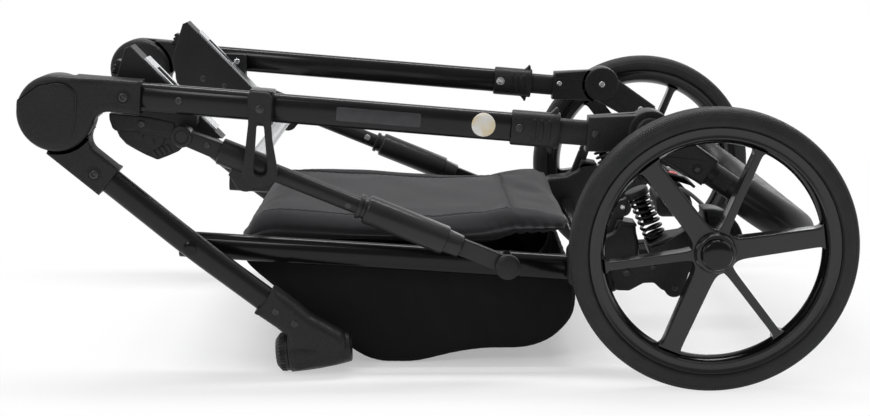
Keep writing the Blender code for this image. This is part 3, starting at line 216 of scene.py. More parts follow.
def squared(value: Array, power: float) -> Array:
    """Raise values between -1 and 1 to a power, keeping their signs: below 1 it makes a rounder square."""
    return np.sign(value) * np.abs(value) ** power


def upright(outline: Array, w: float) -> Array:
    """Stand an outline of the side view at a distance from the middle plane."""
    return np.stack([outline[:, 0], np.full(len(outline), w), outline[:, 1]], 1)


def dome(base: float, height: float, least: float, reach: float, first: float, count: int) -> list[Point]:
    """List a domed profile of (base + height sin a, least + reach cos a), with a from first to 90 degrees."""
    return [(base + height * math.sin(a), least + reach * math.cos(a))
            for a in np.linspace(first, math.pi / 2, count)]


def catmull_rom(a: Array, b: Array, c: Array, d: Array, t: Array) -> Array:
    """Give the curve between b and c at the share t, with a and d as its neighbours."""
    return 0.5 * (2 * b + (c - a) * t + (2 * a - 5 * b + 4 * c - d) * t ** 2
                  + (3 * b - a - 3 * c + d) * t ** 3)


def smooth_path(points: Sequence[Sequence[float]], count: int) -> Array:
    """Run a Catmull-Rom curve through points of any dimension, sampled evenly by parameter.

    Args:
        points: points that the curve passes through.
        count: number of samples.

    Returns:
        The samples, one a row.
    """
    p = np.asarray(points, float)
    p = np.vstack([2 * p[0] - p[1], p, 2 * p[-1] - p[-2]])
    u = np.linspace(0, len(p) - 3 - 1e-9, count)
    i = u.astype(int)
    t = (u - i)[:, None]
    return catmull_rom(p[i], p[i + 1], p[i + 2], p[i + 3], t)


# Layout


@dataclass(frozen=True)
class Layout:
    """Places of the chassis that several pieces share, in metres."""

    knuckle: Point = (-0.400, 0.2895)
    upper_angle: float = math.radians(-4.7)
    leg_angle: float = math.radians(-40.0)
    foot_angle: float = math.radians(-37.5)
    rail_angle: float = math.radians(-3.6)
    tube_off: float = 0.0232
    leg_reach: float = 0.199
    frame_w: float = 0.2255
    rail_w: float = 0.198
    strut_w: float = 0.2275
    tube_height: float = 0.031
    tube_width: float = 0.019
    leg_height: float = 0.028
    wall: float = 0.0016
    gap: float = 0.0003
    axle: Point = (0.2905, 0.151)
    arm_pivot: Point = (0.2070, 0.1120)
    tilt: Point = (0.2270, 0.2690)
    arm_angle: float = math.radians(-34.0)
    strut_top: Point = (-0.2682, 0.2639)
    strut_foot: Point = (0.0784, 0.1228)
    spring_top: Point = (0.2222, 0.1930)
    spring_low: Point = (0.2420, 0.1480)
    cast_out: float = 0.214
    arm_out: float = 0.2226
    spring_w: float = 0.199
    boss: Point = (0.079, -0.018)

    @property
    def upper(self) -> Point:
        """Start of the upper tube's axis."""
        return along(self.knuckle, self.upper_angle, 0.0, self.tube_off)

    @property
    def bend(self) -> Point:
        """Bend of the front leg's axis, at its pivot."""
        return along(self.knuckle, self.leg_angle, self.leg_reach, -self.tube_off)

    @property
    def leg_pivot(self) -> Point:
        """Axis of the front leg on the rail."""
        return along(self.knuckle, self.leg_angle, self.leg_reach, -self.tube_off - 0.0013)

    @property
    def rail(self) -> Point:
        """Start of the lower rail's axis."""
        return (self.leg_pivot[0], self.leg_pivot[1] - 0.004)

    @property
    def frame_face(self) -> float:
        """Distance of the upper tubes' outer face from the middle plane."""
        return self.frame_w + self.tube_width / 2


PLAN = Layout()


# Surfaces


@dataclass
class Shell:
    """Points and faces of closed surfaces, before they become a mesh."""

    points: Array
    faces: list[list[int]]
    uv: Optional[Array] = None

    def __add__(self, other: "Shell") -> "Shell":
        """Put two shells into one."""
        shift = len(self.points)
        faces = self.faces + [[i + shift for i in f] for f in other.faces]
        uv = None
        if self.uv is not None and other.uv is not None:
            uv = np.vstack([self.uv, other.uv])
        return Shell(np.vstack([self.points, other.points]), faces, uv)


def joined(shells: Iterable[Shell]) -> Shell:
    """Put shells into one, in their order."""
    return functools.reduce(Shell.__add__, shells)


def net(points: Array, ring: bool = True, loop: bool = False, ends: bool = True) -> Shell:
    """Join a grid of points, (rows, columns, 3), into four-sided faces.

    Args:
        points: the grid.
        ring: the last column joins the first.
        loop: the last row joins the first.
        ends: the first and last rows are closed by a face each.

    Returns:
        The surface.
    """
    rows, cols = points.shape[:2]
    i = np.arange(rows if loop else rows - 1)[:, None]
    j = np.arange(cols if ring else cols - 1)[None, :]
    i2, j2 = (i + 1) % rows, (j + 1) % cols
    corners = np.stack([i * cols + j, i * cols + j2, i2 * cols + j2, i2 * cols + j], -1)
    quads = corners.reshape(-1, 4).tolist()
    if ends and ring and not loop:
        quads.append(list(range(cols))[::-1])
        quads.append(list(range((rows - 1) * cols, rows * cols)))
    return Shell(points.reshape(-1, 3).copy(), quads)


def lathe(profile: Sequence[Point], centre: Point, count: int = 48, loop: bool = False) -> Shell:
    """Turn a profile of (w, radius) about an axis across the pram: x = cx + r cos t, z = cz + r sin t."""
    w, r = np.asarray(profile, float).T
    t = full_turn(count)
    grid = np.stack([centre[0] + r[:, None] * np.cos(t), np.repeat(w[:, None], count, 1),
                     centre[1] + r[:, None] * np.sin(t)], -1)
    return net(grid, loop=loop)


def barrel(profile: Sequence[Sequence[float]], origin: Point, w: float, angle: float, flat: float = 1.0,
           count: int = 48, loop: bool = False, power: float = 2.0) -> Shell:
    """Turn a profile of (s, radius) about a line of the side view, with its width scaled.

    A point is origin + s * direction + r sin t * normal, and stands r cos t * flat off the distance w. A
    power above 2 makes a squarer oval, |up/r|^p + |out/(r flat)|^p = 1.

    Args:
        profile: (s, radius) along the line.
        origin: start of the line, (x, z).
        w: distance of the line from the middle plane.
        angle: direction of the line.
        flat: width as a share of height.
        count: points round.
        loop: the profile closes on itself.
        power: exponent of the section.

    Returns:
        The surface.
    """
    s, r = np.asarray(profile, float).T
    t = full_turn(count)
    out, up = (r[:, None] * squared(f, 2 / power) for f in (np.cos(t), np.sin(t)))
    x, z = along(origin, angle, s[:, None], up)
    return net(np.stack([x, w + out * flat, z], -1), loop=loop)


def plate(outline: Sequence[Point], inner: float, outer: float, edge: float = 0.0,
          back: Optional[float] = None, steps: int = 4) -> Shell:
    """Give an outline of the side view a thickness, with rounded edges.

    The rows are the outline set in by e - sqrt(e^2 - d^2), where d is how far the row lies in the edge.

    Args:
        outline: closed outline, (x, z).
        inner: first distance from the middle plane.
        outer: second distance.
        edge: radius of the edge at outer.
        back: radius of the edge at inner, or the same.
        steps: rows in each rounded edge.

    Returns:
        The surface.
    """
    p = np.asarray(outline, float)
    back = edge if back is None else back
    sign = math.copysign(1.0, outer - inner)
    rows = []
    for face, radius, inwards in ((inner, back, sign), (outer, edge, -sign)):
        side = [(face, 0.0)]
        if radius > 0:
            side = [(face + inwards * radius * (1 - math.sin(a)), radius * (1 - math.cos(a)))
                    for a in np.linspace(0, math.pi / 2, steps + 1)]
        rows += side if rows else side[::-1]
    grid = []
    for w, depth in rows:
        q = inset(p, depth) if depth > 0 else p
        grid.append(upright(q, w))
    return net(np.array(grid))


def crowned(outline: Sequence[Point], spine: Sequence[Point], inner, outer, edge, back: float = 0.0,
            rows: int = 5) -> Shell:
    """Give an outline a thickness with a quad-built face that may swell, from its rim in to its spine.

    A point of a face is foot + k (outline - foot), where foot is the nearest point of the spine. At depth
    d inside the outline the face is lowered by e - sqrt(e^2 - (e - d)^2), a quarter circle.

    Args:
        outline: closed outline, (x, z).
        spine: line that the face closes on, (x, z) points.
        inner: distance of the back from the middle plane, or a function of x and z.
        outer: distance of the face, or a function of x and z.
        edge: radius of the face's edge, one for all or one for each outline point.
        back: radius of the back's edge.
        rows: rows in each rounded edge.

    Returns:
        The surface.
    """
    p, line = np.asarray(outline, float), np.asarray(spine, float)
    a, b, q = line[:-1][None], line[1:][None], p[:, None]
    t = np.clip(((q - a) * (b - a)).sum(2) / ((b - a) ** 2).sum(2), 0, 1)
    feet = a + t[..., None] * (b - a)
    foot = feet[np.arange(len(p)), np.linalg.norm(q - feet, axis=2).argmin(1)]
    reach = np.maximum(np.linalg.norm(p - foot, axis=1), 1e-6)
    middle = 0.5 * (outer if not callable(outer) else outer(*p.T).mean()) + 0.5 * (
        inner if not callable(inner) else inner(*p.T).mean())
    grids = []
    for face, radius in ((inner, back), (outer, edge)):
        radius = np.minimum(np.broadcast_to(np.asarray(radius, float), len(p)), 0.8 * reach)
        turn = np.linspace(0, math.pi / 2, rows)[:, None]
        depth, drop = radius * (1 - np.cos(turn)), radius * (1 - np.sin(turn))
        deep = radius + (reach * 0.98 - radius) * np.array([0.2, 0.45, 0.7, 0.88, 1.0])[:, None]
        depth = np.vstack([depth, deep])
        drop = np.vstack([drop, np.zeros_like(deep)])
        q = foot + (p - foot) * (1 - depth / reach)[..., None]
        w = face(q[..., 0], q[..., 1]) if callable(face) else np.full(depth.shape, float(face))
        grids.append(np.stack([q[..., 0], w - np.sign(w - middle) * drop, q[..., 1]], -1))
    return net(np.vstack([grids[0][::-1], grids[1]]))


def sweep(path: Array, ring: Array, normal: Sequence[float], loop: bool = False) -> Shell:
    """Carry a ring of (a, b) along a flat path: point = path + a * (tangent x normal) + b * normal.

    Args:
        path: (n, 3) points.
        ring: (m, 2) points, or (n, m, 2) for a ring that changes.
        normal: normal of the path's plane.
        loop: the path closes on itself.

    Returns:
        The surface.
    """
    path = np.asarray(path, float)
    if loop:
        tangent = np.roll(path, -1, 0) - np.roll(path, 1, 0)
    else:
        tangent = np.gradient(path, axis=0)
    n = unit(np.asarray(normal, float))
    across = unit(np.cross(unit(tangent), n))
    ring = np.asarray(ring, float)
    if ring.ndim == 2:
        ring = np.repeat(ring[None], len(path), 0)
    grid = path[:, None] + ring[..., :1] * across[:, None] + ring[..., 1:] * n
    return net(grid, loop=loop)


def corded(line: Array, upright_is: Sequence[float], radius: float | Array, count: int) -> Array:
    """Give the grid of a round cord along a line: line + radius * (cos t * first + sin t * second).

    The first direction is tangent x upright_is and the second is tangent x first.
    """
    tangent = unit(np.gradient(line, axis=0))
    first = unit(np.cross(tangent, upright_is))
    second = np.cross(tangent, first)
    t = full_turn(count)[None, :, None]
    return line[:, None] + radius * (np.cos(t) * first[:, None] + np.sin(t) * second[:, None])


def mapped(grid: Array, uv: Array) -> Shell:
    """Join a grid into a surface with a UV map, closed at its ends."""
    shell = net(grid)
    return Shell(shell.points, shell.faces, uv.reshape(-1, 2))


def circle(radius: float, count: int) -> Array:
    """Ring of points (r cos t, r sin t)."""
    t = full_turn(count)
    return np.stack([radius * np.cos(t), radius * np.sin(t)], 1)


def tube(s0: float, s1: float, height: float, wall: float, edge: float = 0.0004) -> list[Point]:
    """Closed profile of a hollow tube with softened ends, for a barrel."""
    r, b = height / 2, height / 2 - wall
    return [(s0, b), (s0, r - edge), (s0 + edge, r), (s1 - edge, r), (s1, r - edge), (s1, b)]


# Finishes


class Tree:
    """A node tree, written from its output backwards."""

    def __init__(self, tree: bpy.types.NodeTree) -> None:
        """Take a tree and add the places that its textures read."""
        self.nodes, self.links = tree.nodes, tree.links
        self.place = self.nodes.new("ShaderNodeTexCoord")

    def fill(self, socket: bpy.types.NodeSocket, value: object) -> None:
        """Link another node's output to a socket, or give the socket a value."""
        if isinstance(value, bpy.types.NodeSocket):
            self.links.new(value, socket)
        else:
            socket.default_value = value

    def node(self, kind: str, values: Optional[dict] = None, **settings: object):
        """Add a node, with its settings and socket values; a socket value may be another node's output."""
        made = self.nodes.new("ShaderNode" + kind)
        for key, value in settings.items():
            setattr(made, key, value)
        for key, value in (values or {}).items():
            self.fill(made.inputs[key], value)
        return made

    def noise(self, scale: float, detail: float = 3.0, rough: float = 0.55, where=None):
        """Output of a noise texture on object coordinates."""
        where = where or self.place.outputs["Object"]
        return self.node("TexNoise", {"Vector": where, "Scale": scale, "Detail": detail,
                                      "Roughness": rough}).outputs["Fac"]

    def cells(self, scale: float, feature: str = "F1", where=None):
        """Distance output of a Voronoi texture."""
        where = where or self.place.outputs["Object"]
        return self.node("TexVoronoi", {"Vector": where, "Scale": scale}, feature=feature).outputs["Distance"]

    def ramp(self, value, low: float, high: float, dark: Sequence[float], light: Sequence[float]):
        """Colour between two colours as a value runs from low to high."""
        made = self.node("ValToRGB", {"Fac": value})
        first, second = made.color_ramp.elements
        first.position, second.position = low, high
        first.color, second.color = (*dark, 1.0), (*light, 1.0)
        return made.outputs["Color"]

    def span(self, value, low: float, high: float, a: float, b: float):
        """Value mapped from low..high to a..b."""
        return self.node("MapRange", {"Value": value, "From Min": low, "From Max": high, "To Min": a,
                                      "To Max": b}).outputs["Result"]

    def math(self, kind: str, a, b=0.5):
        """Output of a Math node."""
        return self.node("Math", {0: a, 1: b}, operation=kind).outputs[0]

    @functools.cached_property
    def rays(self) -> bpy.types.Node:
        """Node that tells the kinds of ray apart."""
        return self.node("LightPath")

    def seen(self) -> bpy.types.NodeSocket:
        """Value 1 for rays that show the surface to the viewer: straight, reflected or passed through."""
        straight, glossy, passed = (self.rays.outputs[f"Is {kind} Ray"]
                                    for kind in ("Camera", "Glossy", "Transmission"))
        return self.math("MAXIMUM", self.math("MAXIMUM", straight, glossy), passed)

    def bump(self, height, distance: float, strength: float = 1.0, under=None):
        """Normal from a height, over another normal."""
        values = {"Height": height, "Distance": distance, "Strength": strength}
        if under is not None:
            values["Normal"] = under
        return self.node("Bump", values).outputs["Normal"]


class Recipe(Tree):
    """A material's node tree round its Principled shader."""

    def __init__(self, name: str) -> None:
        """Start a material that holds only the shader."""
        self.material = bpy.data.materials.new(name)
        self.material.use_nodes = True
        super().__init__(self.material.node_tree)
        self.shader = self.nodes["Principled BSDF"]

    def set(self, **values: object) -> None:
        """Set or link sockets of the shader, with _ for a space."""
        for key, value in values.items():
            self.fill(self.shader.inputs[key.replace("_", " ")], value)


@dataclass(frozen=True)
class Finish:
    """A finish of the pram: shade of its base, roughness and fine grain."""

    name: str
    shade: tuple[float, float, float] = (0.012, 0.012, 0.013)
    rough: float = 0.5
    metal: float = 0.0
    specular: float = 0.35

    def build(self) -> bpy.types.Material:
        """Make the material."""
        recipe = Recipe(self.name)
        recipe.material.diffuse_color = (*self.shade, 1.0)
        recipe.set(Metallic=self.metal, Specular_IOR_Level=self.specular)
        self.dress(recipe)
        return recipe.material

    def dress(self, recipe: Recipe) -> None:
        """Add the finish's own colour, roughness and relief."""
        recipe.set(Base_Color=(*self.shade, 1.0), Roughness=self.rough)

    def tinted(self, share: float) -> tuple[float, float, float]:
        """The base shade made lighter or darker."""
        return tuple(c * share for c in self.shade)


@dataclass(frozen=True)
class MouldedPlastic(Finish):
    """Moulded plastic with a spark-eroded grain and faint handling marks."""

    grain: float = 1500.0
    depth: float = 0.00006

    def dress(self, recipe: Recipe) -> None:
        """Fine cells for the grain, broad noise for sheen that varies."""
        broad = recipe.noise(22.0, 4.0)
        fine = recipe.cells(self.grain)
        specks = recipe.math("ADD", recipe.math("MULTIPLY", broad, 0.4),
                             recipe.math("MULTIPLY", recipe.noise(430.0, 2.0, 0.7), 0.6))
        recipe.set(Base_Color=recipe.ramp(specks, 0.36, 0.66, self.tinted(0.7), self.tinted(1.4)),
                   Roughness=recipe.span(broad, 0.3, 0.7, self.rough - 0.05, self.rough + 0.07),
                   Normal=recipe.bump(fine, self.depth, 0.5))


@dataclass(frozen=True)
class AnodisedTube(Finish):
    """Satin anodised aluminium with fine drawing lines along the tube."""

    lean: float = 4.7

    def dress(self, recipe: Recipe) -> None:
        """Noise stretched along the tube gives the drawing lines; broad noise dulls the sheen in places."""
        turn = recipe.node("Mapping", {"Vector": recipe.place.outputs["Object"],
                                       "Rotation": (0.0, math.radians(-self.lean), 0.0),
                                       "Scale": (0.06, 1.0, 1.0)}).outputs["Vector"]
        lines = recipe.noise(1400.0, 2.0, 0.5, turn)
        broad = recipe.noise(14.0, 3.0)
        mixed = recipe.math("MULTIPLY", lines, broad)
        recipe.set(Base_Color=recipe.ramp(broad, 0.3, 0.7, self.tinted(0.85), self.tinted(1.2)),
                   Roughness=recipe.span(mixed, 0.1, 0.4, self.rough - 0.02, self.rough + 0.03),
                   Normal=recipe.bump(lines, 0.00001, 0.25))


@dataclass(frozen=True)
class GlossPlastic(Finish):
    """Glossy moulded plastic with a slight ripple and dust."""

    def dress(self, recipe: Recipe) -> None:
        """Low ripple in the surface and a little more roughness where dust lies."""
        ripple = recipe.noise(60.0, 2.0)
        dust = recipe.noise(900.0, 2.0)
        recipe.set(Base_Color=recipe.ramp(dust, 0.45, 0.8, self.shade, self.tinted(1.15)),
                   Roughness=recipe.span(dust, 0.4, 0.8, self.rough, self.rough + 0.12),
                   Normal=recipe.bump(ripple, 0.00008, 0.25))
        recipe.set(Coat_Weight=0.10, Coat_Roughness=0.08)


@dataclass(frozen=True)
class TyreRubber(Finish):
    """Foam rubber with pores and a dry, slightly mottled look."""

    def dress(self, recipe: Recipe) -> None:
        """Pores from small cells, mottling from noise."""
        pores = recipe.cells(1900.0)
        mottle = recipe.noise(70.0, 5.0)
        recipe.set(Base_Color=recipe.ramp(mottle, 0.3, 0.75, self.tinted(0.8), self.tinted(1.25)),
                   Roughness=recipe.span(mottle, 0.3, 0.7, self.rough - 0.08, self.rough + 0.06),
                   Normal=recipe.bump(pores, 0.00008, 0.5))


@dataclass(frozen=True)
class GripLeather(Finish):
    """Smooth imitation leather with a pebbled grain and creases."""

    def dress(self, recipe: Recipe) -> None:
        """Cells with soft walls for pebbles, a second scale for creases."""
        bend = recipe.node("VectorMath", {0: recipe.place.outputs["Object"],
                                          1: recipe.node("TexNoise", {
                                              "Vector": recipe.place.outputs["Object"],
                                              "Scale": 90.0}).outputs["Color"]}, operation="ADD")
        pebbles = recipe.cells(520.0, "SMOOTH_F1")
        creases = recipe.cells(11.0, "DISTANCE_TO_EDGE", bend.outputs[0])
        broad = recipe.noise(30.0, 4.0)
        first = recipe.bump(pebbles, 0.00022, 0.6)
        recipe.set(Base_Color=recipe.ramp(pebbles, 0.1, 0.7, self.tinted(1.15), self.tinted(0.7)),
                   Roughness=recipe.span(broad, 0.3, 0.7, self.rough - 0.06, self.rough + 0.08),
                   Normal=recipe.bump(recipe.math("MINIMUM", creases, 0.04), 0.0006, 0.25, first))
        recipe.set(Sheen_Weight=0.06, Sheen_Roughness=0.4)


@dataclass(frozen=True)
class WovenCloth(Finish):
    """Plain woven polyester: crossing threads, uneven dye and a soft sheen."""

    threads: float = 1500.0
    melange: float = 0.25

    def dress(self, recipe: Recipe) -> None:
        """Sine waves along two directions of the piece's UV map give warp and weft."""
        parts = recipe.node("SeparateXYZ", {"Vector": recipe.place.outputs["UV"]})
        u = recipe.math("SINE", recipe.math("MULTIPLY", parts.outputs["X"], self.threads * math.pi))
        v = recipe.math("SINE", recipe.math("MULTIPLY", parts.outputs["Y"], self.threads * math.pi))
        weave = recipe.math("MULTIPLY", u, v)
        fibres = recipe.noise(650.0, 3.0)
        worn = recipe.noise(9.0, 4.0)
        tone = recipe.math("ADD", recipe.math("MULTIPLY", fibres, self.melange + 0.3),
                           recipe.math("MULTIPLY", worn, 0.7))
        recipe.set(Base_Color=recipe.ramp(tone, 0.35, 0.85, self.tinted(0.7), self.tinted(1.4)),
                   Roughness=recipe.span(worn, 0.3, 0.7, self.rough - 0.05, self.rough + 0.05),
                   Normal=recipe.bump(weave, 0.00012, 0.5, recipe.bump(fibres, 0.0002, 0.3)))
        recipe.set(Sheen_Weight=0.16, Sheen_Roughness=0.5)


@dataclass(frozen=True)
class BareMetal(Finish):
    """Bright metal with fine scratches."""

    def dress(self, recipe: Recipe) -> None:
        """Scratches from stretched noise, dull patches from broad noise."""
        turn = recipe.node("Mapping", {"Vector": recipe.place.outputs["Object"],
                                       "Scale": (1.0, 0.08, 1.0)}).outputs["Vector"]
        lines = recipe.noise(1800.0, 2.0, 0.6, turn)
        broad = recipe.noise(40.0, 3.0)
        recipe.set(Base_Color=recipe.ramp(broad, 0.3, 0.8, self.tinted(0.9), self.tinted(1.05)),
                   Roughness=recipe.span(lines, 0.3, 0.7, self.rough - 0.05, self.rough + 0.1),
                   Normal=recipe.bump(lines, 0.00001, 0.3))


@dataclass(frozen=True)
class PearlLabel(Finish):
    """Plain round or square label with a shallow pearly shift of tone."""

    other: tuple[float, float, float] = (0.75, 0.62, 0.35)

    def dress(self, recipe: Recipe) -> None:
        """Two tones in soft bands across the label."""
        bands = recipe.noise(55.0, 1.0)
        recipe.set(Base_Color=recipe.ramp(bands, 0.42, 0.62, self.shade, self.other),
                   Roughness=recipe.span(bands, 0.3, 0.7, self.rough, self.rough + 0.1))


class Look:
    """All finishes, each made once."""

    def __init__(self) -> None:
        """List the finishes by the name used for pieces."""
        self.made: dict[str, bpy.types.Material] = {}
        self.finishes = {f.name: f for f in (
            AnodisedTube("tube_satin", (0.0095, 0.0095, 0.0104), 0.20, 0.0, 0.28),
            AnodisedTube("tube_satin_leg", (0.0095, 0.0095, 0.0104), 0.22, 0.0, 0.28, 40.0),
            AnodisedTube("tube_satin_rail", (0.0045, 0.0045, 0.0050), 0.19, 0.0, 0.26, -2.0),
            AnodisedTube("tube_satin_strut", (0.0180, 0.0180, 0.0192), 0.30, 0.0, 0.32, 22.0),
            MouldedPlastic("plastic_grained", (0.0155, 0.0155, 0.0165), 0.42, 0.0, 0.26),
            MouldedPlastic("plastic_smooth", (0.0155, 0.0155, 0.0165), 0.34, 0.0, 0.28, 2200.0, 0.00003),
            GlossPlastic("rim_gloss", (0.0150, 0.0150, 0.0160), 0.17, 0.0, 0.40),
            # Darkest gloss plastic: the hub cap, spring guide and latch teeth use it, and on the rim's inner
            # wall and round the knuckle's cap it is painted shade.
            GlossPlastic("rim_deep", (0.0035, 0.0035, 0.0040), 0.12, 0.0, 0.30),
            TyreRubber("tyre_foam", (0.0230, 0.0230, 0.0242), 0.52, 0.0, 0.24),
            MouldedPlastic("cable_sleeve", (0.008, 0.008, 0.009), 0.40, 0.0, 0.3, 2500.0, 0.00002),
            GlossPlastic("spring_coat", (0.006, 0.006, 0.007), 0.14, 0.0, 0.30),
            GripLeather("grip_leather", (0.0100, 0.0098, 0.0100), 0.44, 0.0, 0.30),
            WovenCloth("cloth_charcoal", (0.0300, 0.0292, 0.0318), 0.80, 0.0, 0.16),
            WovenCloth("cloth_black", (0.0090, 0.0088, 0.0098), 0.85, 0.0, 0.10, 1100.0, 0.15),
            TyreRubber("cloth_black_thread", (0.018, 0.018, 0.020), 0.7, 0.0, 0.2),
            BareMetal("strip_aluminium", (0.62, 0.63, 0.64), 0.30, 1.0, 0.5),
            BareMetal("bolt_steel", (0.60, 0.60, 0.61), 0.22, 1.0, 0.5),
            BareMetal("bolt_black", (0.050, 0.050, 0.052), 0.28, 0.6, 0.5),
            GlossPlastic("mark_red", (0.50, 0.02, 0.02), 0.30, 0.0, 0.4),
            PearlLabel("label_pearl", (0.80, 0.79, 0.76), 0.35, 0.0, 0.5),
            PearlLabel("label_dark", (0.045, 0.045, 0.048), 0.30, 0.0, 0.3, (0.058, 0.058, 0.062)),
        )}

    def __getitem__(self, name: str) -> bpy.types.Material:
        """Give a material, made on first use."""
        if name not in self.made:
            self.made[name] = self.finishes[name].build()
        return self.made[name]


LOOK = Look()


# Pieces


def mesh_of(shell: Shell, name: str) -> bpy.types.Mesh:
    """Write a shell into a mesh, smooth on its curved faces and flat on its end faces.

    Args:
        shell: the surfaces.
        name: name of the mesh.

    Returns:
        The mesh, with its normals outwards.
    """
    mesh = bpy.data.meshes.new(name)
    mesh.from_pydata(shell.points.tolist(), [], shell.faces)
    mesh.update()
    if shell.uv is not None:
        layer = mesh.uv_layers.new(name="UVMap")
        index = np.empty(len(mesh.loops), np.int32)
        mesh.loops.foreach_get("vertex_index", index)
        layer.data.foreach_set("uv", shell.uv[index].astype(np.float32).ravel())
    work = bmesh.new()
    work.from_mesh(mesh)
    bmesh.ops.recalc_face_normals(work, faces=work.faces)
    work.to_mesh(mesh)
    work.free()
    mesh.shade_smooth()
    mesh.set_sharp_from_angle(angle=SHARP)
    flat = np.array([len(p.vertices) > 4 for p in mesh.polygons], bool)
    mesh.polygons.foreach_set("use_smooth", ~flat)
    return mesh


SLOTS = {
    "tyre_foam": "tyre_rubber", "rim_gloss": "rim_black", "rim_deep": "plastic_black",
    "cable_sleeve": "cable_black", "spring_coat": "spring_black", "strip_aluminium": "silver",
    "grip_leather": "grip_leather", "cloth_black_thread": "grip_leather", "cloth_black": "fabric_black",
    "cloth_charcoal": "fabric_grey", "tube_satin": "tube_black", "tube_satin_leg": "tube_black",
    "tube_satin_rail": "tube_black", "tube_satin_strut": "plastic_black", "plastic_grained": "plastic_black",
    "plastic_smooth": "plastic_black",
}


def piece(name: str, shell: Shell, finish: str, body: str, *replaces: str, side: Optional[Side] = None,
          slot: str = "") -> bpy.types.Object:
    """Make a finished piece that rides on a body.

    Args:
        name: name of the piece, without its hand.
        shell: surfaces in (x, w, z), or in (x, y, z) without a side.
        finish: name of the finish.
        body: CAD body that it moves with, without its hand where that is one of a pair.
        replaces: CAD nodes that it stands for, without their hand.
        side: side on which it is placed.
        slot: the record's material slot, where it isn't the one that goes with the finish; not used, as it is
            worked out but never set on the object.

    Returns:
        The object.
    """
    hand = "" if side is None else "_" + side.hand
    points = shell.points.copy()
    if side is not None:
        points[:, 1] *= side.value
    thing = bpy.data.objects.new(name + hand, mesh_of(Shell(points, shell.faces, shell.uv), name + hand))
    bpy.context.scene.collection.objects.link(thing)
    thing.data.materials.append(LOOK[finish])
    bodies = frame["bodies"]
    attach(thing, body if body in bodies else body + hand)
    if replaces:
        nodes = frame["nodes"]
        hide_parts(*[n if n in nodes else n + hand for n in replaces])
    slot = slot or SLOTS.get(finish, "")
    LOG.info("%s: %d faces on %s", thing.name, len(thing.data.polygons), thing["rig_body"])
    return thing


def bolt(centre: Point, face: float, radius: float, height: float = 0.0016, socket: float = 0.45,
         inward: bool = False) -> Shell:
    """Round bolt head with a hexagonal socket, seated on a face of the side view.

    The head's profile is a flattened quarter circle; the socket's six sides sink straight in.

    Args:
        centre: (x, z).
        face: distance of the seat from the middle plane.
        radius: radius of the head.
        height: height of the head.
        socket: width of the socket as a share of the head.
        inward: the head points to the middle plane.

    Returns:
        The surface.
    """
    sign = -1.0 if inward else 1.0
    t = full_turn(24)
    rows = [(face - sign * 0.0006, radius, 0), (face, radius, 0)]
    rows += [(face + sign * height * math.sin(a), radius * (0.45 + 0.55 * math.cos(a)), 0)
             for a in np.linspace(0.25, math.pi / 2, 5)]
    key = radius * socket
    rows += [(face + sign * height, key, 1), (face + sign * height * 0.25, key * 0.96, 1)]
    hexagon = 0.93 / np.cos((t % (math.pi / 3)) - math.pi / 6)
    grid = []
    for w, r, six in rows:
        reach = r * (hexagon if six else 1.0)
        grid.append(np.stack([centre[0] + reach * np.cos(t), np.full(24, w), centre[1] + reach * np.sin(t)],
                             1))
    return net(np.array(grid))


def washer(centre: Point, face: float, outer: float, inner: float, height: float,
           inward: bool = False) -> Shell:
    """Flat ring with rounded edges, seated on a face of the side view."""
    sign = -1.0 if inward else 1.0
    e = min(height, (outer - inner) / 2) * 0.6
    return lathe([(face - sign * 0.0004, inner), (face - sign * 0.0004, outer),
                  (face + sign * (height - e), outer), (face + sign * (height - e * 0.3), outer - e * 0.3),
                  (face + sign * height, outer - e), (face + sign * height, inner + e),
                  (face + sign * (height - e), inner)], centre, 32, loop=True)


@dataclass
class Sided:
    """A sub-assembly that is made once for each side."""

    side: Side

    def add(self, name: str, shell: Shell, finish: str, body: str, *replaces: str,
            slot: str = "") -> bpy.types.Object:
        """Make a piece of this side; the values are those of piece."""
        return piece(name, shell, finish, body, *replaces, side=self.side, slot=slot)


# Wheels


